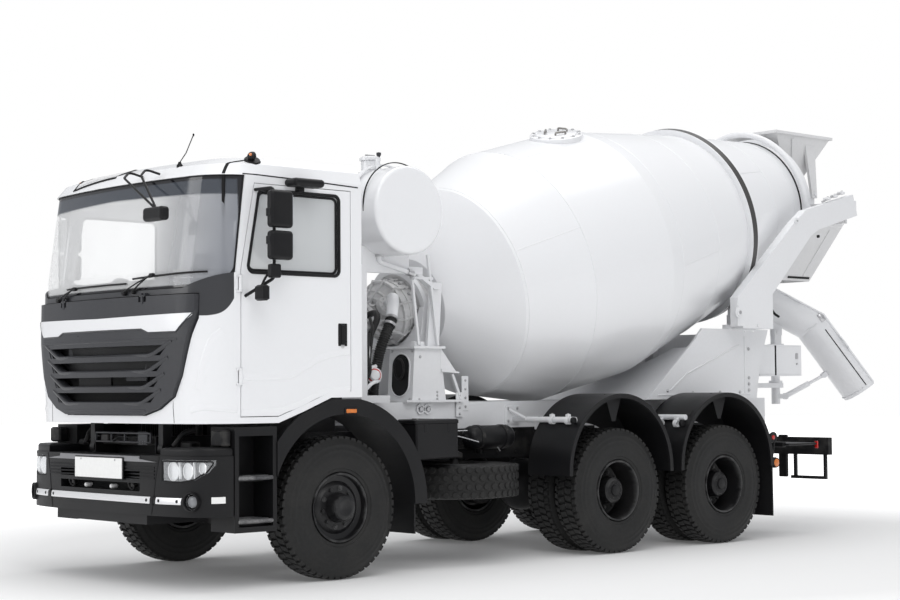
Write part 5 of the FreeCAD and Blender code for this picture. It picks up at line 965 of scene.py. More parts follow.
def roof_trim():
    """Marker lamps, the gutter line, corner grooves, the roof's air flap and the antenna."""
    skin = Skin("cab_roof", "cab_shell", "front_panel")
    lamps = Form()
    grooves = Form()
    corner = smooth_line([(1.078, 1.172), (1.045, 1.150), (0.99, 1.122), (0.90, 1.128), (0.79, 1.145)], 0.05)
    for side in (1, -1):
        place, normal = skin.hit(from_top(0.80, side * 1.165), -Z)
        lean = (normal + Y * side * 0.2).normalized()
        lamps.plug(place, lean, [(-0.02, 0.062), (0.004, 0.062), (0.014, 0.054), (0.018, 0.030)], 0, 28)
        lamps.pipe([place, place + lean * 0.045 + X * 0.015], 0.020, 0, 12)
        head = place + lean * 0.042 + X * 0.015
        shell = [(-0.028, 0.016), (-0.020, 0.028), (0.0, 0.033), (0.010, 0.032), (0.018, 0.024), (0.022, 0.0)]
        lamps.turn(head, X + lean * 1.2, shell, 0, 24, True)
        lens = [(-0.006, 0.020), (0.003, 0.018), (0.006, 0.010), (0.007, 0.0)]
        lamps.turn(head + X * 0.018, X, lens, 1, 24, True)
        for x in (0.50, 0.45):
            place, normal = skin.hit(from_top(x, side * 1.06), -Z)
            lamps.plug(place, normal, [(-0.004, 0.012), (0.006, 0.012), (0.010, 0.008)], 0, 12)
        ridge(grooves, trace(skin, [(x, side * y) for x, y in corner], from_top, -Z, 0.015),
              bead(0.014, 0.006, 0.011, 0.002))
        side_line(grooves, skin, side, [(0.93, 2.992), (0.43, 2.981), (-0.12, 2.960)],
                  bead(0.0045, 0.004, 0.0045, 0.002))
    make(lamps, "roof_markers", "cab", [BLACK, AMBER], 40)
    make(grooves, "roof_grooves", "cab", [SEAL], 40)
    flap = Form()
    draped(flap, skin, lambda u, v: from_top(1.17 - 0.36 * v, -0.66 + 0.56 * u), -Z, 0.006, 12, 8)
    frame_line = [(1.19, -0.69), (1.19, -0.07), (0.79, -0.07), (0.79, -0.69)]
    route = trace(skin, frame_line, from_top, -Z, 0.05, True)
    ridge(flap, route, bead(0.012, 0.003, 0.008, 0.007), 1, True)
    make(flap, "roof_flap", "cab", [GREY_PAINT, SEAL], 40, 0.002)
    mast = Form()
    foot = skin.hit(from_top(1.12, 0.70), -Z)[0]
    tip = foot + Vector((-0.08, 0.06, 0.235))
    mast.plug(foot, Z, [(-0.01, 0.024), (0.008, 0.024), (0.020, 0.014), (0.034, 0.010)])
    mast.pipe([foot + Z * 0.03, foot + Vector((-0.035, 0.03, 0.10)), tip], 0.0038, 0, 8)
    mast.turn(tip, Z, [(-0.012, 0.003), (-0.004, 0.007), (0.006, 0.007), (0.012, 0.0)], 0, 10, True)
    make(mast, "antenna", "cab", [BLACK], 40)


def mirror_trim():
    """Glass and clamps of the side mirrors, and the small kerb mirror under each."""
    for name, side in SIDES:
        node = "mirror_" + name
        skin = Skin(node)
        form = Form()
        for base, top in ((2.415, 2.545), (2.62, 2.83)):
            def start(u, v, base=base, top=top):
                return Vector((low(node).x - 0.5, side * 1.468 + (u - 0.5) * 0.05, base + (top - base) * v))
            draped(form, skin, start, X, 0.003, 6, 8)
        for z in (2.50, 2.70, 2.90):
            found = skin.hit(at(1.275, side * 1.46, z), -X)
            if found:
                form.block(found[0] - X * 0.006, (0.016, 0.055, 0.06), 1, 0.004)
        head = at(0.900, side * 1.42, 2.122)
        form.block(head, (0.055, 0.125, 0.112), 1, 0.018)
        form.block(head - X * 0.026, (0.008, 0.105, 0.092), 0, 0.010)
        form.pipe(rounded([head + Z * 0.04 - Y * side * 0.01, head + Z * 0.085 - X * 0.012,
                           head + Z * 0.13 - X * 0.045], 0.03), 0.009, 1, 8)
        make(form, "mirror_trim_" + name, "door_" + name, [MIRROR, BLACK], 30)


# ---------------------------------------------------------------- bumper and headlamps

def bumper_trim():
    """The bumper's gap lines, upper lip, grille bars, number plate, silver strip and tow eyes."""
    skin = Skin("bumper")
    shade = Form()
    for y in (0.80, -0.80):
        front_line(shade, skin, [(y * 0.985, 0.955), (y * 0.935, 0.80), (y * 0.90, 0.62), (y * 0.875, 0.54)],
                   bead(0.006, 0.006, 0.006, 0.002), 0, 0.02)
    make(shade, "bumper_gaps", "chassis", [SEAL], 30)
    lip = Form()

    def lip_start(u, v):
        half = 0.77 if v < 0.5 else 0.56
        return from_front(-half + 2 * half * u, 0.915 + 0.040 * v)

    draped(lip, skin, lip_start, -X, 0.010, 40, 2)
    make(lip, "bumper_lip", "chassis", [LIP_GREY], 40, 0.002)
    bars = Form()
    for z in (0.800, 0.825, 0.850, 0.875):
        route = trace(skin, [(-0.74, z), (0.74, z)], from_front, -X, 0.05)
        flat = [(Vector((max(point.x, AXLE_X + 1.352 - (point.y / 0.8) ** 2 * 0.02), point.y, z)), X)
                for point, _ in route]
        ridge(bars, flat, [(0.008, -0.02), (0.006, 0.006), (-0.004, 0.008), (-0.008, -0.02)])
    make(bars, "bumper_bars", "chassis", [BLACK], 40)

    def face_at(y):
        return skin.hit(from_front(y, 0.66), -X)[0].x

    plate = Form()
    front = face_at(-0.045) + 0.012
    plate.block((front, 0.03, 0.860), (0.010, 0.66, 0.150), 0, 0.004)
    plate.block((front - 0.008, 0.03, 0.860), (0.012, 0.680, 0.166), 1, 0.004)
    for y in (-0.21, 0.27):
        plate.bolt((front + 0.004, y, 0.922), X, 0.006, 2)
    make(plate, "number_plate", "chassis", [PLATE, BLACK, STEEL], 30)
    strip = Form()
    for y0, y1, columns in ((-0.695, 0.695, 30), (0.765, 1.02, 8), (-1.02, -0.765, 8)):
        def start(u, v, y0=y0, y1=y1):
            return from_front(y0 + (y1 - y0) * u, 0.618 + 0.048 * v)
        draped(strip, skin, start, -X, 0.007, columns, 2)
        for y in (y0 + 0.035, y1 - 0.035):
            place, normal = skin.hit(from_front(y, 0.642), -X)
            strip.plug(place + normal * 0.006, normal, [(0.0, 0.012), (0.003, 0.012)], 1, 14)
    make(strip, "bumper_strip", "chassis", [CHROME, BLACK], 30, 0.0015)
    eyes = Form()
    for y in (-0.42, 0.42):
        x = face_at(y)
        ring = arc(Vector((x - 0.03, y, 0.738)), Vector((0.012, 0, 0.030)), Y * 0.032, around(20))
        eyes.pipe(ring, 0.009, 0, 8, True)
        eyes.block((x - 0.055, y, 0.738), (0.05, 0.03, 0.03), 0, 0.006)
    for y in (-0.20, 0.16):
        eyes.plug((face_at(y) - 0.02, y, 0.725), X, [(-0.05, 0.016), (0.0, 0.016), (0.006, 0.012)], 1, 16)
    make(eyes, "tow_eyes", "chassis", [CHASSIS, CAST], 40)


def head_lamps():
    """Reflector bowls, rims and lens ribs of the headlamps."""
    skin = Skin("headlamps")
    cover = Form()
    ribs = Form()
    for name, side in SIDES:
        form = Form()
        for y, z, r in ((0.91, 0.852, 0.066), (1.045, 0.855, 0.058), (1.150, 0.875, 0.040)):
            found = skin.hit(from_front(side * y, z), -X)
            if not found:
                continue
            face = (found[0].x - 0.020, side * y, z)
            bowl = [(-0.045, 0.010), (-0.040, 0.020), (-0.028, r * 0.62), (-0.010, r * 0.88), (0.0, r),
                    (0.004, r + 0.003), (0.0, r + 0.005)]
            form.turn(face, X, bowl, 0, 32, True)
            bulb = [(-0.044, 0.010), (-0.020, 0.010), (-0.012, 0.007), (-0.010, 0.0)]
            form.turn(face, X, bulb, 1, 16, True)

        def back_start(u, v, side=side):
            return from_front(side * (0.835 + 0.355 * u), 0.800 + 0.035 * u + (0.120 - 0.035 * u) * v)

        draped(form, skin, back_start, -X, -0.062, 14, 5, 1, 0.070)
        make(form, "lamp_bowls_" + name, "chassis", [REFLECTOR, PLATE], 40)
        outline = [(0.825, 0.925), (0.828, 0.782), (1.00, 0.776), (1.11, 0.796), (1.185, 0.850),
                   (1.208, 0.905), (1.208, 0.925), (0.825, 0.925)]
        route = trace(skin, smooth_line([(side * y, z) for y, z in outline], 0.012), from_front, -X, 0.02)
        ridge(cover, route[::side], bead(0.006, 0.004, 0.005, 0.004))
        for y in (0.985, 1.105):
            front_line(ribs, skin, [(side * y, 0.922), (side * (y + 0.006), 0.80)],
                       bead(0.003, 0.02, 0.003, 0.0015), 0, 0.02)
    make(cover, "lamp_rims", "chassis", [SEAL], 40)
    make(ribs, "lamp_ribs", "chassis", [REFLECTOR], 40)


def fog_lamps():
    """The fog lamps in the bumper's corners and the white reflectors beside them."""
    skin = Skin("bumper", "headlamps")
    fog = Form()
    for side in (1, -1):
        out = X + Y * side * 0.35
        face = skin.hit(from_front(side * 1.10, 0.64), -X)[0]
        for r, depth in ((0.068, 0.030), (0.052, 0.004)):
            bezel = [(-0.03, r), (depth, r), (depth + 0.004, r - 0.006), (depth - 0.004, r - 0.012),
                     (-0.03, r - 0.012)]
            fog.turn(face, out, bezel, 0, 32, True)
        lens = [(-0.012, 0.044), (-0.002, 0.042), (0.006, 0.030), (0.009, 0.012), (0.010, 0.0)]
        fog.turn(face, out, lens, 1, 28, True)

        def start(u, v, side=side):
            return at(1.19 - 0.10 * u, side * 2.0, 0.628 + 0.046 * v)

        draped(fog, skin, start, -Y * side, 0.006, 6, 2, 2)
    make(fog, "fog_lamps", "chassis", [BLACK, LENS_DARK, PLATE], 35)


def step_trim():
    """Treads and edge strips of the step boxes under the doors."""
    for name, side in SIDES:
        form = Form()
        x, length = 0.825, 0.34
        for z in (0.792, 0.482):
            form.block(at(x, side * 1.231, z + 0.006), (length - 0.03, 0.03, 0.030), 0, 0.008)
            for k in range(5):
                place = at(x, side * (1.19 - 0.042 * k), z + 0.018)
                form.block(place, (length - 0.05, 0.012, 0.012), 0, 0.003)
            for k in range(9):
                form.turn(at(0.69 + (length - 0.07) * k / 8, side * 1.246, z + 0.006), Y * side,
                          [(-0.002, 0.006), (0.004, 0.005), (0.005, 0.0)], 0, 10, True)
        make(form, "step_treads_" + name, "chassis", [STEP_GREY], 40)


# ---------------------------------------------------------------- chassis

def front_structure():
    """The dark frames, brackets and radiator seen between the bumper and the cab, and a black sheet of
    painted shade behind the bumper's bars.
    """
    form = Form()
    form.block(at(1.05, 0, 1.055), (0.10, 0.80, 0.07), 0, 0.008)
    form.block(at(0.73, 0, 1.02), (0.06, 0.78, 0.40), 0, 0.008)
    # Painted shade: a thin black sheet behind the bumper's bars stands for the dark recess there.
    form.block(at(1.235, 0, 0.775), (0.012, 1.36, 0.26), 1, 0.003)
    for step in range(24):
        form.block(at(0.765, -0.36 + 0.72 * step / 23, 1.03), (0.012, 0.006, 0.34), 1, 0.001)
    for z in (1.045, 1.112):
        form.block(at(1.165, 0.0, z), (0.016, 0.78, 0.014), 2, 0.003)
    for y in (-0.385, -0.16, 0.03, 0.385):
        form.block(at(1.165, y, 1.078), (0.016, 0.014, 0.078), 2, 0.003)
    form.block(at(1.160, 0.27, 1.075), (0.008, 0.13, 0.10), 2, 0.003)
    for y in (0.235, 0.270, 0.305):
        form.bolt(at(1.164, y, 1.045), X, 0.007, 3)
    form.block(at(1.150, -0.27, 1.072), (0.03, 0.10, 0.06), 0, 0.006)
    wire = [at(1.16, -0.16, 1.06), at(1.19, -0.10, 1.05), at(1.18, -0.02, 1.09), at(1.16, 0.05, 1.07)]
    form.pipe(rounded(wire, 0.03), 0.008, 1, 8)
    for side in (1, -1):
        form.block(at(1.060, side * 1.135, 1.085), (0.08, 0.15, 0.12), 0, 0.012)
        form.block(at(1.040, side * 0.72, 1.03), (0.09, 0.14, 0.05), 0, 0.010)
        pipe = [at(1.12, side * 0.62, 1.02), at(1.06, side * 0.66, 1.12), at(0.98, side * 0.70, 1.14)]
        form.pipe(rounded(pipe, 0.04), 0.020, 0, 10)
    make(form, "front_frames", "chassis", [CHASSIS, SEAL, DARK_GREY, STEEL], 40)


def spare_tyre():
    """The spare: a tyre lying flat on its disc, with its hanger and carrier."""
    box_low, box_high = low("spare_wheel"), high("spare_wheel")
    half = TYRE_W / 2
    centre = Vector(((box_low.x + box_high.x) / 2, box_high.y - TYRE_R, box_low.z + half))
    top = box_high.z
    form = Form()
    wall = [(half * 0.90, 0.262), (half, 0.30), (half, 0.36), (half * 0.985, 0.44), (half * 0.93, 0.495),
            (half * 0.86, 0.520), (half * 0.80, TYRE_R - 0.013)]
    form.turn(centre, Z, [(-a, r) for a, r in wall] + wall[::-1], 0, 96)
    for row, level in enumerate((-0.102, -0.036, 0.036, 0.102)):
        shift = 180 / 44 * (row % 2)
        for out in arc(Vector(), X, Y, around(44, shift, 360 + shift)):
            form.plug(centre + Z * level + out * (TYRE_R - 0.012), out,
                      [(-0.012, 0.030), (0.006, 0.029), (0.0105, 0.024)], 0, 8)
    disc = half - 0.10
    dish = [(0.10, 0.0), (0.10, 0.14), (0.06, 0.20), (0.035, 0.255), (0.045, 0.262), (0.075, 0.21),
            (0.115, 0.15), (0.115, 0.0)]
    form.turn(centre, Z, [(half - depth, r) for depth, r in dish], 1, 64, True)
    nuts(form, centre + Z * disc, Z, 0.105, 10, 0.014, 2)
    form.plug(centre + Z * disc, Z, [(0.0, 0.05), (0.05, 0.045), (top - centre.z - half + 0.08, 0.03)], 2)
    form.block((centre.x, (box_low.y + centre.y) / 2 + 0.02, top - 0.025),
               (0.12, centre.y - box_low.y + 0.06, 0.05), 2, 0.008)
    for x in (-0.04, 0.04):
        form.bolt((centre.x + x, centre.y, top), Z, 0.012, 2)
    piece = make(form, "spare_tyre", "chassis", [RUBBER, RIM, CHASSIS], 30)
    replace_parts(piece, "spare_wheel")


def battery_trim():
    """The battery box: a cover with a rolled lid in front of its open carrier with the batteries."""
    box_low, box_high = low("battery_box"), high("battery_box")
    length, depth, tall = box_high - box_low
    front, back = box_high.x - 0.11, box_low.x + 0.13
    cover = (front + back) / 2
    centre = (box_low + box_high) / 2
    form = Form()
    form.block((cover, box_high.y - 0.11, centre.z - 0.012), (front - back, 0.22, tall - 0.030), 0, 0.012)
    form.block((cover, box_high.y - 0.118, box_high.z - 0.022),
               (front - back + 0.016, 0.232, 0.042), 0, 0.010)
    form.block((centre.x, centre.y - 0.06, box_low.z + 0.03), (length, depth - 0.14, 0.05), 1, 0.006)
    for x in (box_high.x - 0.03, box_low.x + 0.03):
        form.block((x, box_low.y + 0.24, centre.z), (0.05, 0.48, tall - 0.01), 1, 0.008)
    for x in (front - 0.10, back + 0.12):
        for y in (box_low.y + 0.10, box_low.y + 0.34):
            form.block((x, y, centre.z - 0.02), (0.19, 0.20, 0.22), 1, 0.010)
            for step in (-0.05, 0.05):
                form.plug((x + step, y, centre.z + 0.09), Z, [(0.0, 0.012), (0.03, 0.012)], 2, 12)
    for x in (front - 0.06, cover, back + 0.06):
        form.bolt((x, box_high.y - 0.06, box_high.z - 0.004), Z, 0.008, 2)
    for x in (front - 0.10, back + 0.10):
        form.block((x, box_high.y - 0.003, box_high.z - 0.07), (0.035, 0.012, 0.07), 0, 0.003)
    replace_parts(make(form, "battery_case", "chassis", [BLACK, CHASSIS, STEEL], 40), "battery_box")


def air_tank(form, centre):
    """A domed air reservoir along the rail, with its two straps and brackets."""
    half = [(0.20, 0.10), (0.235, 0.085), (0.255, 0.05), (0.26, 0.0)]
    form.turn(centre, X, [(-a, r) for a, r in reversed(half)] + half, 0, 36)
    for step in (-0.14, 0.14):
        form.turn(centre + X * step, X, hoop(0.018, 0.099, 0.018, 0.105), 2, 36)
        form.block(centre + X * step - Y * 0.12, (0.036, 0.18, 0.03), 2, 0.004)


SIDE_WIRES = (((-1.45, 0.50, 1.06), (-1.62, 0.70, 1.04), (-1.78, 0.80, 0.985)),
              ((-1.62, 0.56, 1.075), (-1.85, 0.72, 1.08), (-1.92, 0.74, 1.03), (-1.99, 0.74, 1.05)),
              ((-1.92, 0.50, 1.03), (-2.00, 0.60, 0.98), (-2.06, 0.70, 0.97), (-2.10, 0.72, 0.90)),
              ((-1.55, 0.50, 1.09), (-1.80, 0.62, 1.10), (-2.05, 0.62, 1.08), (-2.20, 0.50, 1.05)))


def side_lines():
    """The air reservoir, valves, wires and pipes along the rails, and the brake chambers."""
    form = Form()
    air_tank(form, at(-2.02, 0.66, 1.02))
    for side in (1, -1):
        form.block(at(-2.18, side * 0.47, 1.03), (0.07, 0.06, 0.10), 2, 0.006)
        form.plug(at(-2.06, side * 0.51, 0.93), Z, [(-0.05, 0.034), (0.03, 0.034), (0.04, 0.026)], 2)
        for z in (0.92, 0.94):
            form.pipe([at(-1.42, side * 0.445, z), at(-2.45, side * 0.445, z)], 0.006, 2, 6)
        for wire in SIDE_WIRES:
            form.pipe(rounded([at(x, side * y, z) for x, y, z in wire], 0.07), 0.0055, 1, 6)
        for x in (-3.62, -3.92):
            chamber = [(-0.07, 0.0), (-0.068, 0.05), (-0.02, 0.07), (0.03, 0.07), (0.06, 0.045), (0.06, 0.0)]
            form.turn(at(x, side * 0.30, 1.00), Z, chamber, 2, 24)
    make(form, "side_lines", "chassis", [BLACK, STEEL, CHASSIS], 40)


ARCH_R, SPLASH_R, SPLASH_DROP = 0.652, 0.580, 0.1775


def arch_trim(form, centre, out):
    """A rear arch's rolled edge, the splash sheet inside it and its gusset."""
    ring = arc(centre, X * ARCH_R, Z * ARCH_R, around(49, 0, 180, False))
    form.pipe(ring, 0.0075, 0, 8)
    form.pipe([centre + (point - centre) * 0.965 - out * 0.006 for point in ring], 0.005, 0, 6)
    sheet = []
    for angle in around(33, 8, 172, False):
        way = X * math.cos(angle) + Z * math.sin(angle)
        lean = SPLASH_DROP * math.sin(angle)
        near = min(math.sqrt(lean ** 2 + SPLASH_R ** 2 - SPLASH_DROP ** 2) - lean, 0.640)
        sheet.append([centre - out * (0.482 - thick) + way * reach for reach, thick in
                      ((near, 0.003), (0.650, 0.003), (0.650, -0.003), (near, -0.003))])
    form.loft(sheet)
    form.loft([[centre + Z * rise + X * (wide * k) - out * deep for rise, wide, deep in
                ((0.655, 1.0, 0.10), (0.42, 0.2, 0.10), (0.42, 0.2, 0.11), (0.655, 1.0, 0.11))]
               for k in (-0.11, 0.0, 0.11)])


def fender_bracket(metal, subframe, x, side):
    """A fender's tube clamps, its end cap, and the plate and rod on the mixer's frame."""
    out = Y * side
    found = subframe.hit(at(x, side * 1.10, 2.0), -Z)
    z = found[0].z - 0.025 if found else 1.105
    for y in (0.93, 1.12):
        metal.turn(at(x, side * y, z), Y, hoop(0.020, 0.026, 0.020, 0.034), 0, 24)
        metal.block(at(x, side * y, z + 0.040), (0.034, 0.040, 0.026), 0, 0.004)
        metal.bolt(at(x, side * y, z + 0.052), Z, 0.010, 1)
        metal.turn(at(x - 0.045, side * (y - 0.02), z - 0.030), out, hoop(0.008, 0.012, 0.008, 0.026), 0, 20)
    metal.plug(at(x, side * 1.190, z), out, [(-0.02, 0.029), (0.004, 0.029), (0.010, 0.022)], 2)
    metal.block(at(x, side * 0.436, z + 0.045), (0.17, 0.014, 0.165), 0, 0.004)
    for dx in (-0.055, 0.055):
        for dz in (-0.01, 0.10):
            metal.bolt(at(x + dx, side * 0.443, z + dz), out, 0.010, 1)
    metal.pipe([at(x + 0.045, side * 0.45, z + 0.09), at(x + 0.01, side * 0.62, z + 0.012)], 0.014, 0, 8)


def fender_trim():
    """Edges, lamps, bracket clamps and straps of the fenders, and the mudflaps' ribs."""
    form = Form()
    metal = Form()
    skin = Skin("fenders")
    subframe = Skin("subframe")
    for side in (1, -1):
        out = Y * side
        for x in (-3.06, -4.49):
            arch_trim(form, at(x, side * 1.244, 0.72), out)
        place = skin.hit(at(-0.045, side * 2.0, 1.268), -out)[0]
        form.block(place, (0.125, 0.016, 0.046), 0, 0.008)
        form.block(place + out * 0.006, (0.100, 0.012, 0.030), 1, 0.006)
        for x in (-2.52, -3.92):
            fender_bracket(metal, subframe, x, side)
        draped(form, skin, lambda u, v, side=side: at(-4.06 + 0.05 * u, side * (0.80 + 0.40 * v), 2.0), -Z,
               0.004, 2, 6, 2)
        for x, bottom, top in ((-0.70, 0.32, 0.62), (-5.145, 0.23, 0.70)):
            for step in range(5):
                found = skin.hit(at(x - 0.4, side, bottom + (top - bottom) * (step + 0.5) / 5), X)
                if found and abs(found[0].x - AXLE_X - x) < 0.06:
                    form.block(found[0] - X * 0.001, (0.006, 0.34, 0.010), 0, 0.002)
    make(form, "fender_trim", "chassis", [BLACK, AMBER, RUBBER], 40)
    make(metal, "fender_brackets", "chassis", [FRAME_WHITE, STEEL, SEAL], 40)


TAIL_X, TAIL_Z = -6.14, 0.868


def tail_trim():
    """Tail lamps, reflectors, side markers and the underrun bar's brackets at the tail."""
    form = Form()
    for side in (1, -1):
        out = Y * side
        for y, number, r in ((1.08, 1, 0.052), (0.955, 2, 0.052), (0.83, 3, 0.045)):
            centre = at(TAIL_X, side * y, TAIL_Z)
            shell = [(-0.045, 0.0), (-0.045, r * 0.7), (-0.03, r + 0.006), (0.006, r + 0.006), (0.008, r),
                     (0.004, r - 0.004)]
            form.turn(centre, -X, shell, 0, 32)
            lens = [(-0.01, r - 0.003), (0.006, r - 0.004), (0.014, r * 0.7), (0.018, r * 0.3), (0.019, 0.0)]
            form.turn(centre, -X, lens, number, 28, True)
        form.block(at(TAIL_X - 0.003, side * 0.45, TAIL_Z), (0.014, 0.14, 0.05), 1, 0.006)
        form.block(at(-5.935, side * 1.165, 0.865), (0.014, 0.036, 0.07), 1, 0.004)
        form.blocks(4, 0.006,
                    (at(-5.70, side * 0.90, 0.875), (0.44, 0.56, 0.022)),
                    (at(-5.48, side * 0.78, 0.875), (0.05, 0.70, 0.05)),
                    (at(-5.30, side * 1.10, 0.71), (0.05, 0.12, 0.10)),
                    (at(-5.30, side * 0.78, 0.71), (0.05, 0.66, 0.04)),
                    (at(-6.125, side * 0.62, 0.74), (0.035, 0.10, 0.42)))
        marker = at(-5.30, side * 1.165, 0.71)
        form.turn(marker, out, [(-0.03, 0.048), (0.004, 0.048), (0.008, 0.042), (0.004, 0.038)], 0, 28)
        form.turn(marker, out, [(-0.02, 0.040), (0.006, 0.038), (0.014, 0.02), (0.015, 0.0)], 2, 24, True)
        disc = at(-5.27, side * 1.160, 0.95)
        dish = [(-0.03, 0.0), (-0.03, 0.040), (-0.01, 0.052), (0.004, 0.052), (0.006, 0.046), (-0.002, 0.022)]
        form.turn(disc, out, dish, 4, 28)
        form.turn(disc, out, [(-0.008, 0.024), (0.004, 0.020), (0.008, 0.010), (0.009, 0.0)], 1, 24, True)
        form.pipe([at(-5.27, side * 1.165, 0.905), at(-5.27, side * 1.14, 0.75)], 0.010, 4, 8)
        for z in (0.60, 0.68, 0.90):
            form.bolt(at(TAIL_X - 0.003, side * 0.62, z), -X, 0.012, 5)
    form.block(at(-6.118, 0, 0.87), (0.03, 0.52, 0.12), 0, 0.004)
    form.block(at(-6.130, 0, 0.87), (0.012, 0.46, 0.10), 6, 0.003)
    make(form, "tail_trim", "chassis", [SEAL, RED, AMBER, LENS, BLACK, STEEL, PLATE], 40)


def side_box_trim():
    """The fuel tank's straps and cap on the kerb side, and the rows of bolts and plates on the rails."""
    form = Form()
    box_low, box_high = low("fuel_tank"), high("fuel_tank")
    centre = (box_low + box_high) / 2
    skin = Skin("fuel_tank")
    for x in (box_low.x + 0.28, centre.x, box_high.x - 0.28):
        ways = arc(Vector(), Y, Z, around(48))
        route = [skin.hit(Vector((x, centre.y, centre.z)) + way * 1.2, -way) for way in ways]
        ridge(form, route + route[:1], bead(0.022, 0.003, 0.021, 0.003))
    place = skin.hit((box_high.x - 0.16, box_low.y + 0.20, 2.0), -Z)[0]
    form.plug(place, Z, [(-0.03, 0.055), (0.030, 0.055), (0.034, 0.050)], 1, 28)
    form.plug(place + Z * 0.03, Z, [(0.0, 0.062), (0.024, 0.060), (0.030, 0.050)], 0, 18)
    rails = Skin("chassis_rails")
    subframe = Skin("subframe")
    for side in (1, -1):
        out = Y * side
        for step in range(30):
            for z in (0.875, 1.045):
                found = rails.hit(at(0.55 - 6.45 * step / 29, side * 2.0, z), -out)
                if found and abs(abs(found[0].y) - RAIL_FACE) < 0.01:
                    form.bolt(found[0], out, 0.010, 2)
        for step in range(9):
            found = subframe.hit(at(-2.85 - 3.1 * step / 8, side * 2.0, 1.15), -out)
            if found and abs(abs(found[0].y) - RAIL_FACE) < 0.03:
                form.block(found[0] + out * 0.004 - Z * 0.02, (0.10, 0.010, 0.13), 3, 0.003)
                for dz in (-0.06, 0.02):
                    form.bolt(found[0] + out * 0.008 + Z * dz, out, 0.011, 4)
    make(form, "rail_trim", "chassis", [SEAL, STEEL, CHASSIS, FRAME_WHITE, STEEL], 40)


# ---------------------------------------------------------------- mixer

RING_CENTRE = Vector((RING_X, 0, RING_Z))
BACK = Vector((-math.cos(TILT), 0, math.sin(TILT)))
DRUM_UP = Vector((math.sin(TILT), 0, math.cos(TILT)))

# Places along the drum's axis from the roller ring: weld seams, the manhole, the mouth's neck and lip,
# and the end face of the drive.
SEAM_ENDS = (-3.12, -2.50, -1.30, -0.62, 0.62, 1.05)
HATCH_ALONG, NECK_ALONG, LIP_ALONG, DRIVE_END = -1.72, 1.20, 1.372, -4.50


def on_axis(along):
    """A point on the drum's axis, told from the roller ring and counted towards the mouth."""
    return RING_CENTRE + BACK * along


def round_drum(angle):
    """The direction out of the drum's axis; 0 is up, a quarter turn is the truck's left."""
    return DRUM_UP * math.cos(angle) + Y * math.sin(angle)


def radius_at(skin, along, degrees, reach=RAY_BESIDE):
    """How far a skin stands from the drum's axis, or None."""
    out = round_drum(math.radians(degrees))
    found = skin.hit(on_axis(along) + out * reach, -out)
    return (found[0] - on_axis(along)).dot(out) if found else None


def drum_trim():
    """Weld seams, the manhole and the mouth's rim."""
    skin = Skin("drum")
    seams = Form()
    for along in SEAM_ENDS:
        radius = radius_at(skin, along, 60)
        seams.turn(on_axis(along), BACK, hoop(0.007, radius - 0.004, 0.004, radius + 0.0022), 0, 120)
    for start, end, degrees in ((-3.12, -2.50, 70), (-2.50, -1.30, 25), (-1.30, -0.62, 100),
                                (-2.50, -1.30, 205), (0.10, 0.62, 60), (-3.12, -2.50, 250),
                                (-1.30, -0.62, 280), (0.10, 0.62, 240)):
        out = round_drum(math.radians(degrees))
        route = [skin.hit(on_axis(start + (end - start) * step / 8) + out * RAY_BESIDE, -out)
                 for step in range(9)]
        ridge(seams, [pair for pair in route if pair], bead(0.007, 0.003, 0.004, 0.002))
    make(seams, "drum_seams", "drum", [DRUM_WHITE], 60)
    hatch = Form()
    out = round_drum(math.radians(12))
    place, normal = skin.hit(on_axis(HATCH_ALONG) + out * RAY_BESIDE, -out)
    collar = [(-0.05, 0.245), (0.022, 0.245), (0.030, 0.235), (0.030, 0.205), (0.018, 0.196)]
    hatch.plug(place, normal, collar, 0, 56)
    hatch.turn(place, normal, [(0.012, 0.190), (0.030, 0.190), (0.036, 0.182), (0.040, 0.0)], 0, 48, True)
    nuts(hatch, place + normal * 0.028, normal, 0.218, 12, 0.014, 1)
    side = normal.orthogonal().normalized()
    for way in arc(Vector(), side, normal.cross(side), (0.4, 2.5, 4.6)):
        grip = place + way * 0.10
        across = normal.cross(way) * 0.05
        hatch.pipe(rounded([grip + normal * rise + across * share for rise, share in
                            ((0.035, 1), (0.062, 1), (0.062, -1), (0.035, -1))], 0.02), 0.009, 2, 8)
    make(hatch, "drum_hatch", "drum", [DRUM_WHITE, STEEL, RING_STEEL], 40)
    rim = Form()
    radius = radius_at(skin, 1.34, 60)
    neck = radius_at(skin, NECK_ALONG, 60)
    lip = [(-0.05, -0.006), (-0.045, 0.012), (-0.008, 0.016), (0.004, 0.010), (0.006, -0.006)]
    rim.turn(on_axis(LIP_ALONG), BACK, [(along, radius + rise) for along, rise in lip], 0, 120)
    ring = [(-0.014, radius - 0.01), (-0.010, neck + 0.008), (0.010, neck + 0.006), (0.014, radius - 0.01)]
    rim.turn(on_axis(NECK_ALONG), BACK, ring, 1, 120)
    make(rim, "mouth_rim", "drum", [DRUM_WHITE, SEAL], 40)


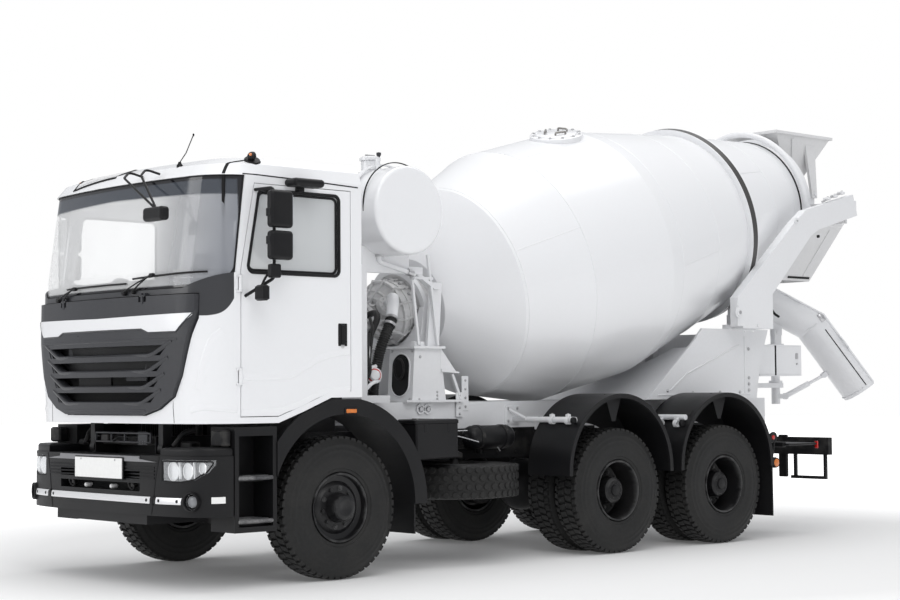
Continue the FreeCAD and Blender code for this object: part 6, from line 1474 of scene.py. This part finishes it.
def tank_trim():
    """The water tank's straps, end welds, filler, sight glass and outlet pipe."""
    centre = middle("water_tank")
    radius = (high("water_tank").x - low("water_tank").x) / 2
    front = centre + X * radius
    form = Form()
    for y in (0.742, -0.742):
        form.turn(centre + Y * y, Y, hoop(0.005, radius - 0.004, 0.004, radius + 0.004), 1, 96)
    for y in (0.56, -0.56, 0.0):
        form.turn(centre + Y * y, Y, hoop(0.028, radius - 0.004, 0.026, radius + 0.003), 0, 96)
        form.block(front + Vector((0.004, y, -0.05)), (0.03, 0.05, 0.05), 0, 0.006)
        form.bolt(front + Vector((0.018, y, -0.05)), X, 0.012, 2)
    filler = centre + Vector((0.02, 0.42, radius))
    form.plug(filler - Z * 0.01, Z, [(-0.02, 0.075), (0.05, 0.075), (0.055, 0.070)], 0, 32)
    lid = [(0.0, 0.088), (0.022, 0.088), (0.034, 0.070), (0.036, 0.0)]
    form.turn(filler + Z * 0.045, Z, lid, 0, 24, True)
    form.block(filler + Z * 0.088, (0.10, 0.016, 0.018), 2, 0.004)
    form.turn(centre + Vector((-0.09, 0.40, radius + 0.03)), Z,
              [(-0.05, 0.010), (0.06, 0.010), (0.075, 0.020), (0.095, 0.020), (0.10, 0.0)], 3, 16, True)
    bends = ((0.08, 0.60, 0.02), (0.08, 0.60, 0.08), (-0.30, 0.60, 0.17), (-0.36, 0.50, 0.19))
    outlet = rounded([centre + Vector((x, y, -radius - drop)) for x, y, drop in bends], 0.05)
    form.pipe(outlet, 0.021, 0, 14)
    form.turn(outlet[0], Z, [(-0.02, 0.034), (0.016, 0.034), (0.03, 0.030), (0.04, 0.0)], 2, 20, True)
    form.turn(outlet[len(outlet) // 2], outlet[-3] - outlet[3], [(-0.03, 0.030), (0.03, 0.030)], 2, 12, True)
    gauge = Y * 0.30
    for z in (-0.22, 0.22):
        inside = centre + gauge + Vector((math.sqrt(radius ** 2 - z ** 2) - 0.02, 0, z))
        form.pipe([inside, front + gauge + Vector((0.035, 0, z))], 0.014, 2, 12)
    form.pipe([front + gauge + Vector((0.03, 0, z)) for z in (-0.24, 0.24)], 0.011, 4, 14)
    make(form, "tank_trim", "chassis", [WHITE, SEAL, STEEL, DARK_GREY, LENS], 40)


def gearbox_trim():
    """Bolt circles, ribs, covers and the motor's fittings on the drum's drive."""
    skin = Skin("gearbox")
    form = Form()

    def radius_of(along, degrees):
        return radius_at(skin, along, degrees, 1.5)

    for along, count in ((-3.80, 24), (-4.20, 16)):
        for step in range(count):
            degrees = 360 * step / count
            out = round_drum(math.radians(degrees))
            radius = radius_of(along, degrees)
            if radius and radius > 0.1:
                lug = on_axis(along) + out * (radius + 0.004)
                form.block(lug, (0.045, 0.03, 0.024), 0, 0.006, (BACK, BACK.cross(out), out))
                form.bolt(lug - BACK * 0.022, -BACK, 0.011, 1)
    for step in range(12):
        degrees = 360 * (step + 0.5) / 12
        out = round_drum(math.radians(degrees))
        route = []
        for along in (-4.18 + 0.06 * k for k in range(7)):
            radius = radius_of(along, degrees)
            if radius:
                route.append((on_axis(along) + out * (radius + 0.002), out))
        if len(route) > 2:
            ridge(form, route, bead(0.010, 0.02, 0.006, 0.018))
    for along in (-3.86, -4.02, -4.12):
        radius = radius_of(along, math.degrees(1.9))
        form.turn(on_axis(along), BACK, hoop(0.012, radius - 0.01, 0.010, radius + 0.008), 0, 72)
    face = on_axis(DRIVE_END)
    nuts(form, face + BACK * 0.01, -BACK, 0.085, 8, 0.012, 1)
    form.plug(face, -BACK, [(-0.01, 0.062), (0.018, 0.060), (0.026, 0.048)], 0, 32)
    nuts(form, on_axis(-4.26), -BACK, 0.165, 10, 0.013, 1)
    out = round_drum(math.radians(65))
    pad = on_axis(-4.05) + out * radius_of(-4.05, 65)
    form.plug(pad, out, [(-0.03, 0.075), (0.020, 0.075), (0.026, 0.070)], 0, 36)
    nuts(form, pad + out * 0.024, out, 0.058, 8, 0.009, 1)
    form.plug(pad, out, [(0.02, 0.036), (0.062, 0.034), (0.068, 0.028)], 2, 28)
    for degrees, along in ((20, -4.36), (110, -4.36), (150, -4.02), (-30, -4.0)):
        out = round_drum(math.radians(degrees))
        radius = radius_of(along, degrees)
        if radius:
            fitting = [(-0.02, 0.026), (0.03, 0.026), (0.034, 0.020), (0.05, 0.020), (0.052, 0.0)]
            form.turn(on_axis(along) + out * radius, out, fitting, 1, 6, True)
    make(form, "gearbox_trim", "chassis", [CAST, STEEL, FRAME_WHITE], 35)


RIB_PITCH = 0.016


def ribbed(form, route, radius):
    """A hose with ribs round it."""
    fine = []
    for a, b in zip(route, route[1:]):
        steps = max(int((b - a).length / (RIB_PITCH / 2)), 1)
        fine += [a + (b - a) * k / steps for k in range(steps)]
    fine.append(route[-1])
    rings = []
    across = None
    for index, point in enumerate(fine):
        ahead = (fine[min(index + 1, len(fine) - 1)] - fine[max(index - 1, 0)]).normalized()
        if across is None:
            across = ahead.orthogonal()
        across = (across - ahead * across.dot(ahead)).normalized()
        reach = radius * (1.0 if index % 2 else 0.86)
        rings.append(arc(point, across * reach, ahead.cross(across) * reach, around(14)))
    form.loft(rings)


def drive_lines():
    """The ribbed cooling duct, its white elbow, the filter with its cap, and small pipes by the drive."""
    form = Form()

    def route(bend, *points):
        return rounded([at(*point) for point in points], bend)

    duct = route(0.08, (-1.22, 0.36, 2.13), (-1.14, 0.43, 1.99), (-1.08, 0.44, 1.90), (-1.02, 0.43, 1.76),
                 (-1.00, 0.40, 1.60), (-1.02, 0.34, 1.46), (-1.05, 0.30, 1.36))
    ribbed(form, duct, 0.047)
    form.pipe([duct[0] + Vector((-0.05, -0.06, 0.07)), duct[0], duct[2]], 0.052, 1, 20)
    form.pipe([duct[0] * 0.6 + duct[2] * 0.4, duct[2] * 0.4 + duct[4] * 0.6], 0.050, 2, 20)
    for index in (2, 5):
        clip = [(-0.012, 0.054), (0.012, 0.054)]
        form.turn(duct[index], duct[index + 1] - duct[index - 1], clip, 3, 20, True)
    way = Y * 0.85 + X * 0.5
    filter_end = at(-0.93, 0.46, 1.545)
    barrel = [(-0.10, 0.058), (-0.02, 0.060), (-0.015, 0.066), (-0.004, 0.066)]
    form.turn(filter_end, way, barrel, 1, 28, True)
    form.plug(filter_end, way, [(-0.004, 0.055), (0.012, 0.055), (0.016, 0.050)], 4, 28)
    cap = [(0.012, 0.046), (0.045, 0.044), (0.058, 0.034), (0.060, 0.0)]
    form.turn(filter_end, way, cap, 1, 28, True)
    for y, z, end in ((0.47, 1.50, (-0.80, 0.42, 1.36)), (0.43, 1.62, (-0.86, 0.47, 1.78))):
        form.pipe(route(0.06, (-0.97, y, z), (-0.84, y + 0.06, z - 0.02), end), 0.016, 1, 12)
    form.pipe(route(0.06, (-0.84, 0.50, 1.88), (-0.80, 0.52, 1.70), (-0.86, 0.50, 1.58), (-0.80, 0.44, 1.44),
                    (-0.92, 0.40, 1.36)), 0.020, 0, 12)
    form.pipe(route(0.08, (-1.02, 0.30, 2.02), (-0.92, 0.46, 1.92), (-0.88, 0.46, 1.70), (-0.96, 0.36, 1.42)),
              0.014, 0, 12)
    make(form, "drive_lines", "chassis", [HOSE, WHITE, HOSE, STEEL, RED_PAINT], 40)


def frame_trim():
    """Fittings of the front pedestal: bolts, bracket plates, bars and rings."""
    form = Form()
    for side in (1, -1):
        out = Y * side

        def spot(x, y, z, side=side):
            """A place told for the left side."""
            return at(x, side * y, z)

        for z, step in ((1.345, 0.03), (1.75, 0.004)):
            for y in (0.17, 0.43):
                form.bolt(spot(PEDESTAL_X + step, y, z), X, 0.010, 1)
        shelf = [(-1.66, 1.60), (-1.86, 1.575), (-1.86, 1.562), (-1.66, 1.575)]
        form.loft([[spot(x, y, z) for x, z in shelf] for y in (0.475, 0.315)])
        web = [(-1.655, 1.57), (-1.655, 1.77), (-1.665, 1.77), (-1.84, 1.57)]
        form.loft([[spot(x, y, z) for x, z in web] for y in (0.463, 0.451)])
        form.pipe([spot(-1.80, 0.445, 1.56), spot(-1.90, 0.445, 1.34)], 0.017, 0, 4)
        for x, z0, z1, step in ((-1.885, 1.19, 1.40, 0.004), (-1.965, 1.24, 1.54, -0.010)):
            form.block(spot(x, 0.440 + step, (z0 + z1) / 2), (0.075, 0.012, z1 - z0), 0, 0.003)
            for k in range(4):
                form.bolt(spot(x, 0.446 + step, z0 + (z1 - z0) * (k + 0.5) / 4), out, 0.009, 1)
        for x0, z0, x1, z1 in ((-1.505, 2.56, -1.615, 1.80), (-1.33, 2.36, -1.40, 1.80),
                               (-1.33, 2.36, -1.56, 2.36)):
            form.pipe([spot(x0, 0.475, z0), spot(x1, 0.475, z1)], 0.015, 0, 4)
        for x in (-1.40, -1.46):
            form.block(spot(x, 0.43, 1.805), (0.05, 0.06, 0.05), 0, 0.006)
        form.bolt(spot(-1.43, 0.461, 1.70), out, 0.010, 1)
        for x, z in ((-1.62, 1.345), (-1.62, 1.375), (-1.62, 1.405), (-1.42, 1.345)):
            form.bolt(spot(x, 0.46, z), out, 0.008, 1)
        for x in (-1.45, -1.53):
            centre = spot(x, 0.433, 1.262)
            form.turn(centre, out, [(-0.004, 0.045), (0.012, 0.045), (0.012, 0.030), (-0.004, 0.030)], 0, 28)
            form.plug(centre, out, [(0.0, 0.018), (0.02, 0.018)], 1, 12)
    make(form, "pedestal_trim", "chassis", [FRAME_WHITE, STEEL], 40)


def pedestal_well_shades():
    """Flat black ovals on the pedestal's two legs, painted shade for the depth of their openings, with the
    round stiffener inside each.
    """
    form = Form()
    front = AXLE_X + PEDESTAL_X + 0.036
    for side in (1, -1):
        # Painted shade: a thin black oval stands for the dark depth of each leg's opening.
        rings = []
        for depth in (0.003, 0.0):
            ring = []
            for angle in around(48):
                z = 1.548 + 0.075 * (1 if math.sin(angle) >= 0 else -1) + 0.105 * math.sin(angle)
                ring.append((front - (z - 1.32) / 15 - depth, side * 0.300 + 0.115 * math.cos(angle), z))
            rings.append(ring)
        form.loft(rings)
        form.pipe(rings[1], 0.006, 1, 8, True)
        hoop_line = arc(Vector((front, side * 0.300, 1.60)), Y * 0.062, Z * 0.085, around(32))
        form.pipe(hoop_line, 0.009, 2, 8, True)
    make(form, "pedestal_well_shades", "chassis", [SEAL, FRAME_WHITE, CHASSIS], 40)


def arm_trim():
    """Bolts, pivots, edge seams and a small lamp on the side arms, and clamps of the mouth hoop."""
    form = Form()
    skin = Skin("side_arms")
    for side in (1, -1):
        out = Y * side
        face = side * ARM_FACE
        for x, z, r in ((-5.02, 2.14, 0.058), (-5.93, 3.065, 0.034)):
            pivot = at(x, face, z)
            washer = [(-0.004, r), (0.006, r), (0.006, r * 0.72), (0.012, r * 0.70), (0.014, 0.0)]
            form.turn(pivot, out, washer, 0, 32, True)
            form.plug(pivot, out, [(0.012, r * 0.30), (0.020, r * 0.28)], 1, 12)
        for x, z in ((-6.62, 3.36), (-6.74, 3.40), (-6.50, 3.325)):
            form.block(at(x, side * 0.93, z), (0.05, 0.07, 0.03), 0, 0.006)
            form.bolt(at(x, side * 0.94, z + 0.014), Z, 0.011, 1)
        clamp = ((-6.42, 3.29), (-6.60, 3.36), (-6.78, 3.41))
        form.pipe([at(x, side * 0.93, z) for x, z in clamp], 0.012, 1, 8)
        form.turn(at(-6.28, face, 2.93), out, [(-0.004, 0.016), (0.014, 0.015), (0.016, 0.0)], 2, 16, True)
        side_line(form, skin, side, [(-5.03, 1.93), (-5.33, 1.93)], bead(0.008, 0.003, 0.004, 0.003))
        for x, z in ((-5.30, 2.02), (-5.22, 1.96), (-5.10, 1.96)):
            form.bolt(at(x, face - side * 0.001, z), out, 0.012)
    make(form, "arm_trim", "chassis", [FRAME_WHITE, STEEL, SEAL], 40)


def hopper_trim():
    """Rolled rim and stiffening folds of the charging hopper, and the collector's edges."""
    inset = Vector((0.012, 0.012, 0.012))
    box_low, box_high = low("charging_hopper") + inset, high("charging_hopper") - inset
    form = Form()
    form.pipe([(x, y, box_high.z) for x, y in ((box_high.x, box_high.y), (box_low.x, box_high.y),
                                               (box_low.x, box_low.y), (box_high.x, box_low.y))],
              0.011, 0, 10, True)
    edge = Form()
    hopper, collector = Skin("charging_hopper"), Skin("discharge_collector")
    for side in (1, -1):
        side_line(form, hopper, side, [(-6.75, 4.03), (-6.88, 3.70)], bead(0.020, 0.004, 0.012, 0.014))
        side_line(edge, collector, side, [(-7.38, 3.12), (-6.92, 3.12), (-6.60, 3.12)],
                  bead(0.016, 0.004, 0.012, 0.010))
        side_line(edge, collector, side, [(-7.06, 2.575), (-6.70, 2.575)],
                  bead(0.012, 0.004, 0.010, 0.008), 1)
        side_line(edge, collector, side, [(-7.20, 3.08), (-6.95, 2.60)], bead(0.012, 0.004, 0.008, 0.008))
    make(form, "hopper_rim", "charging_hopper", [GREY_PAINT, SEAL], 50)
    make(edge, "collector_trim", "chassis", [GREY_PAINT, SEAL], 50)


# The chute at rest: its turn out of the truck's middle plane, then each trough's dip and length,
# and half its width at the rolled rims.
CHUTE_TURN = math.radians(39)
UPPER_DIP, UPPER_LENGTH = 28, 0.65
LOWER_DIP, LOWER_LENGTH = 54, 0.88
CHUTE_HALF = 0.234


def chute_trim():
    """Rolled rims, grab loops and catches along the chute's two troughs."""
    way = Vector((-math.cos(CHUTE_TURN), math.sin(CHUTE_TURN), 0))
    across = Vector((-way.y, way.x, 0))

    def leg(dip):
        slope = math.radians(dip)
        return way * math.cos(slope) - Z * math.sin(slope), way * math.sin(slope) + Z * math.cos(slope)

    upper, upper_up = leg(UPPER_DIP)
    lower, lower_up = leg(LOWER_DIP)
    knee_up = (upper_up + lower_up).normalized()
    head = at(-6.82, 0, 2.44) - way * 0.15
    knee = head + upper * UPPER_LENGTH
    end = knee + lower * LOWER_LENGTH
    form = Form()
    for side in (1, -1):
        out = across * side
        half = out * CHUTE_HALF
        form.pipe([head + upper * 0.03 + half + upper_up * 0.060, knee + half + knee_up * 0.062,
                   end - lower * 0.02 + half + lower_up * 0.060], 0.012, 0, 10)
        for place, along, up in ((head + upper * 0.30, upper, upper_up),
                                 (knee + lower * 0.34, lower, lower_up)):
            base = place + half + up * 0.055
            grip = [base + along * step + out * reach for step, reach in
                    ((-0.08, 0.0), (-0.08, 0.055), (0.08, 0.055), (0.08, 0.0))]
            form.pipe(rounded(grip, 0.03), 0.008, 0, 8)
        latch = knee + half + knee_up * 0.02
        form.block(latch + out * 0.008, (0.09, 0.014, 0.05), 1, 0.003, (lower, out, lower_up))
        form.bolt(latch + out * 0.014, out, 0.011, 1)
        side_of = out * (CHUTE_HALF + 0.004) - lower_up * 0.02
        form.pipe([knee + lower * 0.12 + side_of, end - lower * 0.04 + side_of], 0.006, 2, 6)
    for place, up in ((knee + lower * 0.02, lower_up), (end - lower * 0.03, lower_up),
                      (head + upper * 0.03, upper_up)):
        reach = CHUTE_HALF + 0.010
        form.pipe(arc(place, across * reach, up * reach, around(25, 194, 346, False)), 0.006, 0, 8)
    make(form, "chute_trim", "chute", [FRAME_WHITE, STEEL, SEAL], 50)


def rear_frame_trim():
    """Stiffeners and bolts of the rear pedestal, the tool box's doors and latches, and a water pipe."""
    form = Form()
    skin = Skin("rear_pedestal", "side_arms")
    for side in (1, -1):
        for line in ([(-4.28, 1.40), (-4.52, 1.56), (-5.30, 1.84)], [(-5.38, 1.36), (-5.38, 1.92)],
                     [(-4.10, 1.36), (-5.46, 1.36)]):
            side_line(form, skin, side, line, bead(0.012, 0.003, 0.005, 0.006), 0, 0.05)
        for x, z in ((-4.24, 1.40), (-5.44, 1.40), (-5.44, 1.46), (-5.44, 1.52), (-5.44, 1.80), (-5.30, 1.38),
                     (-4.60, 1.38), (-5.0, 1.38)):
            found = skin.hit(at(x, side * 3, z), -Y * side)
            if found:
                form.bolt(found[0], Y * side, 0.013, 1)
    box_low, box_high = low("tool_box"), high("tool_box")
    length, depth, tall = box_high - box_low
    centre = (box_low + box_high) / 2
    for side, y in ((1, box_high.y), (-1, box_low.y)):
        door = length / 2 - 0.032
        for x in (-door / 2 - 0.012, door / 2 + 0.012):
            form.block((centre.x + x, y + side * 0.002, centre.z), (door, 0.012, tall - 0.03), 0, 0.004)
        form.block((centre.x, y + side * 0.006, centre.z), (0.016, 0.012, 0.30), 2, 0.003)
        for x in (box_low.x + 0.09, box_high.x - 0.09):
            form.block((x, y + side * 0.010, box_low.z + 0.20), (0.035, 0.014, 0.06), 1, 0.004)
            form.turn((x, y + side * 0.012, box_low.z + 0.12), Y * side,
                      [(-0.004, 0.010), (0.008, 0.009), (0.010, 0.0)], 1, 12, True)
    form.block((box_low.x - 0.004, centre.y, centre.z), (0.012, depth - 0.04, tall - 0.05), 0, 0.004)
    pipe = [at(-6.27, 0.36, 2.50), at(-6.28, 0.36, 2.26), at(-6.33, 0.37, 2.18), at(-6.41, 0.37, 2.15)]
    form.pipe(rounded(pipe, 0.05), 0.013, 2, 10)
    form.turn(at(-6.28, 0.36, 2.28), Z, [(-0.03, 0.0), (-0.03, 0.026), (0.03, 0.026), (0.03, 0.0)], 2, 16)
    make(form, "rear_frame_trim", "chassis", [FRAME_WHITE, STEEL, SEAL], 40)


# ---------------------------------------------------------------- seats

SEAT_Y = 0.56
FLOOR_Z = 1.425
CHANNEL_HALF = 0.15
SEWN_LINE = bead(0.004, 0.003, 0.002, 0.0025)

# Each pad: its side outline as (x, height over the floor), half its width, how far its ends draw in,
# and the furthest a point moves when it is blown up.
PADS = {
    "seat_pad": ([(0.118, 0.242), (0.570, 0.242), (0.574, 0.325), (0.540, 0.362), (0.330, 0.352),
                  (0.118, 0.358)], 0.232, 0.10, 0.016),
    "seat_back": ([(0.118, 0.330), (0.214, 0.345), (0.190, 0.520), (0.160, 0.700), (0.112, 0.935),
                   (0.026, 0.935), (0.058, 0.660)], 0.222, 0.12, 0.016),
    "head_rest": ([(0.022, 0.985), (0.092, 0.990), (0.082, 1.075), (0.066, 1.145), (0.014, 1.140)],
                  0.118, 0.18, 0.010),
}


def pad_block(outline, half, inset):
    """A closed block with a side outline that draws in towards its middle at both ends."""
    profile = [(x, FLOOR_Z + height) for x, height in outline]
    middle_x = sum(x for x, z in profile) / len(profile)
    middle_z = sum(z for x, z in profile) / len(profile)
    form = Form()
    rings = []
    for row in range(9):
        share = row / 4 - 1
        shrink = 1 - inset * abs(share) ** 6
        rings.append([at(middle_x + (x - middle_x) * shrink, SEAT_Y + half * share,
                         middle_z + (z - middle_z) * shrink) for x, z in profile])
    form.loft(rings)
    return form


def evaluated(piece):
    """An object as its modifiers leave it."""
    return piece.evaluated_get(bpy.context.evaluated_depsgraph_get())


def puffed(form, name, cap):
    """Blows a block up as cloth and returns its mesh; no point moves further than cap."""
    mesh = bpy.data.meshes.new(name)
    mesh.from_pydata(form.points, [], form.faces)
    piece = bpy.data.objects.new(name, mesh)
    bpy.context.scene.collection.objects.link(piece)
    remesh = piece.modifiers.new("voxels", "REMESH")
    remesh.mode = "VOXEL"
    remesh.voxel_size = 0.009
    bpy.context.view_layer.update()
    start = bpy.data.meshes.new_from_object(evaluated(piece))
    piece.modifiers.clear()
    piece.data = start
    cloth = piece.modifiers.new("cloth", "CLOTH")
    cloth.settings.use_pressure = True
    cloth.settings.uniform_pressure_force = 4.0
    cloth.settings.effector_weights.gravity = 0
    cloth.settings.quality = 5
    cloth.point_cache.frame_start = 1
    cloth.point_cache.frame_end = 20
    for moment in range(1, 21):
        bpy.context.scene.frame_set(moment)
    moved = evaluated(piece).to_mesh()
    places = []
    for before, after in zip(start.vertices, moved.vertices):
        shift = after.co - before.co
        if shift.length > cap:
            shift *= cap / shift.length
        places.append(before.co + shift)
    piece.modifiers.clear()
    for vertex, place in zip(start.vertices, places):
        vertex.co = place
    bpy.context.scene.frame_set(1)
    piece.modifiers.new("finer", "SUBSURF").levels = 1
    bpy.context.view_layer.update()
    final = bpy.data.meshes.new_from_object(evaluated(piece))
    bpy.data.objects.remove(piece)
    for polygon in final.polygons:
        polygon.use_smooth = True
    final.name = name
    return final


def skin_of(mesh):
    """A skin of a finished pad."""
    skin = Skin()
    skin.tree = BVHTree.FromPolygons([vertex.co for vertex in mesh.vertices],
                                     [polygon.vertices[:] for polygon in mesh.polygons])
    return skin


def sewn(name, mesh):
    """The sewn channels of a cushion or a back; a head rest has none."""
    skin = skin_of(mesh)
    seam = Form()
    across = (SEAT_Y - CHANNEL_HALF, SEAT_Y + CHANNEL_HALF)
    lines = []
    start_of, way = from_front, -X
    if name == "seat_pad":
        start_of, way = from_top, -Z
        lines = [[(0.15, y), (0.545, y)] for y in across] + [[(0.40, y) for y in across]]
    if name == "seat_back":
        lines = [[(y, FLOOR_Z + 0.42), (y, FLOOR_Z + 0.90)] for y in across]
        lines += [[(y, FLOOR_Z + level) for y in across] for level in (0.55, 0.70, 0.82)]
    for line in lines:
        ridge(seam, trace(skin, line, start_of, way, 0.02), SEWN_LINE)
    return seam


def place_pad(mesh, name, shift):
    """Puts a pad on the cab, for the left seat or moved across for the right one."""
    copy = mesh.copy()
    for vertex in copy.vertices:
        vertex.co.y += shift
    copy.materials.append(FABRIC)
    pad = bpy.data.objects.new(name, copy)
    bpy.context.scene.collection.objects.link(pad)
    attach(pad, "cab")
    return pad


def seats():
    """Two seats: cloth cushions, backs and head rests with sewn channels, on sprung bases."""
    pieces = []
    for name, (outline, half, inset, cap) in PADS.items():
        mesh = puffed(pad_block(outline, half, inset), name, cap)
        seam = sewn(name, mesh)
        for side_name, shift in (("left", 0.0), ("right", -2 * SEAT_Y)):
            pieces.append(place_pad(mesh, "%s_%s" % (name, side_name), shift))
            if seam.points:
                line = Form()
                line.add([point + Y * shift for point in seam.points], seam.faces)
                make(line, "%s_seams_%s" % (name, side_name), "cab", [SEAL], 50)
    for side_name, side in SIDES:
        base = Form()
        foot = at(0.31, side * SEAT_Y, FLOOR_Z)
        base.block(foot + Z * 0.02, (0.38, 0.38, 0.04), 0, 0.008)
        for level in range(4):
            inset = 0.012 if level % 2 else 0.0
            fold = (0.34 - inset * 2, 0.33 - inset * 2, 0.034)
            base.block(foot + Z * (0.065 + 0.036 * level), fold, 1, 0.012)
        base.block(foot + Z * 0.212, (0.38, 0.38, 0.036), 0, 0.008)
        for y in (-0.07, 0.07):
            base.pipe([foot + Vector((x, y, z)) for x, z in ((-0.248, 0.90), (-0.258, 1.02))], 0.007, 2, 10)
        lever = [foot + Vector((x, side * y, z)) for x, y, z in
                 ((0.09, 0.20, 0.20), (0.15, 0.215, 0.20), (0.19, 0.215, 0.215))]
        base.pipe(rounded(lever, 0.02), 0.008, 0, 8)
        pieces.append(make(base, "seat_base_" + side_name, "cab", [BLACK, HOSE, STEEL], 40))
    for piece in pieces:
        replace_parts(piece, "seats")


# ---------------------------------------------------------------- dress, stage, light and camera

def stage():
    """A floor under the truck that glows white further out and so meets the white sky."""
    mesh = bpy.data.meshes.new("floor")
    reach = 60.0
    mesh.from_pydata([(-reach, -reach, 0), (reach, -reach, 0), (reach, reach, 0), (-reach, reach, 0)], [],
                     [(0, 1, 2, 3)])
    floor = bpy.data.objects.new("floor", mesh)
    bpy.context.scene.collection.objects.link(floor)
    material = bpy.data.materials.new("floor")
    material.use_nodes = True
    tree = material.node_tree
    shader = tree.nodes["Principled BSDF"]
    place = output_of(tree, "ShaderNodeTexCoord").outputs["Object"]
    length = output_of(tree, "ShaderNodeVectorMath")
    length.operation = "LENGTH"
    tree.links.new(place, length.inputs[0])
    far = spread(tree, length.outputs["Value"], 4.5, 11.0, 0.08, 1.0)
    shader.inputs["Roughness"].default_value = 0.9
    shader.inputs["Specular IOR Level"].default_value = 0.1
    ray = output_of(tree, "ShaderNodeLightPath").outputs["Is Camera Ray"]
    shader.inputs["Emission Color"].default_value = (1, 1, 1, 1)
    colour = blend_colour(tree, ray, (0.88, 0.88, 0.88), (0.72, 0.72, 0.72))
    tree.links.new(colour, shader.inputs["Base Color"])
    unseen = maths(tree, "MULTIPLY", maths(tree, "SUBTRACT", 1.0, ray), 0.17)
    glow = maths(tree, "ADD", maths(tree, "MULTIPLY", ray, far), unseen)
    tree.links.new(glow, shader.inputs["Emission Strength"])
    mesh.materials.append(material)


def lamp(name, place, aim, size, power):
    """A rectangular lamp that looks at a point."""
    data = bpy.data.lights.new(name, "AREA")
    data.shape = "RECTANGLE"
    data.size, data.size_y = size
    data.energy = power
    thing = bpy.data.objects.new(name, data)
    thing.location = place
    thing.rotation_euler = (Vector(aim) - Vector(place)).to_track_quat("-Z", "Y").to_euler()
    bpy.context.scene.collection.objects.link(thing)


def light():
    """A studio sky, white to the eye, and three lamps."""
    world = bpy.data.worlds.new("studio")
    bpy.context.scene.world = world
    world.use_nodes = True
    tree = world.node_tree
    back = tree.nodes["Background"]
    paths = output_of(tree, "ShaderNodeLightPath")
    seen = maths(tree, "MAXIMUM", paths.outputs["Is Camera Ray"], paths.outputs["Is Transmission Ray"])
    place = output_of(tree, "ShaderNodeTexCoord").outputs["Generated"]
    height = output_of(tree, "ShaderNodeSeparateXYZ", Vector=place).outputs["Z"]
    sky = ramp(tree, spread(tree, height, -0.2, 1.0, 0.0, 1.0),
               [(0.0, (0.44, 0.44, 0.45)), (0.18, (0.50, 0.51, 0.53)), (0.5, (0.60, 0.61, 0.63)),
                (1.0, (0.85, 0.85, 0.85))])
    tree.links.new(blend_colour(tree, seen, sky, (1, 1, 1)), back.inputs["Color"])
    back.inputs["Strength"].default_value = 1.0
    lamp("key", (9.0, 11.0, 12.0), (0, 0, 1.5), (9, 9), 655)
    lamp("top", (-1.0, 0.5, 13.0), (-1, 0, 0), (16, 9), 620)
    lamp("front", (14.0, -4.0, 5.0), (3, 0, 1.5), (6, 5), 260)


def camera():
    """Stands ahead of the truck on its left, a little below the cab's windows."""
    pan, tilt, roll = -2.306, 0.05, -0.007
    forward = Vector((math.cos(tilt) * math.cos(pan), math.cos(tilt) * math.sin(pan), math.sin(tilt)))
    right = forward.cross(Z).normalized()
    up = right.cross(forward)
    tipped = right * math.cos(roll) + up * math.sin(roll)
    upright = up * math.cos(roll) - right * math.sin(roll)
    data = bpy.data.cameras.new("camera")
    data.sensor_width = 36.0
    data.lens = 71.97
    data.clip_end = 300
    thing = bpy.data.objects.new("camera", data)
    turned = Matrix((tipped, upright, -forward)).transposed().to_4x4()
    thing.matrix_world = Matrix.Translation(at(8.497, 11.816, 1.42)) @ turned
    bpy.context.scene.collection.objects.link(thing)
    bpy.context.scene.camera = thing


# All pieces: the wheels, the cab with its front and mirrors, the mixer, then the frame and the seats.
wheels()
door_trim()
lid_trim()
panel_lines()
screen_trim()
roof_trim()
mirror_trim()
bumper_trim()
head_lamps()
fog_lamps()
step_trim()
drum_trim()
tank_trim()
gearbox_trim()
drive_lines()
frame_trim()
pedestal_well_shades()
arm_trim()
hopper_trim()
chute_trim()
rear_frame_trim()
front_structure()
spare_tyre()
battery_trim()
side_lines()
fender_trim()
tail_trim()
side_box_trim()
seats()
stage()
light()
camera()
bpy.context.scene.view_settings.view_transform = "Standard"
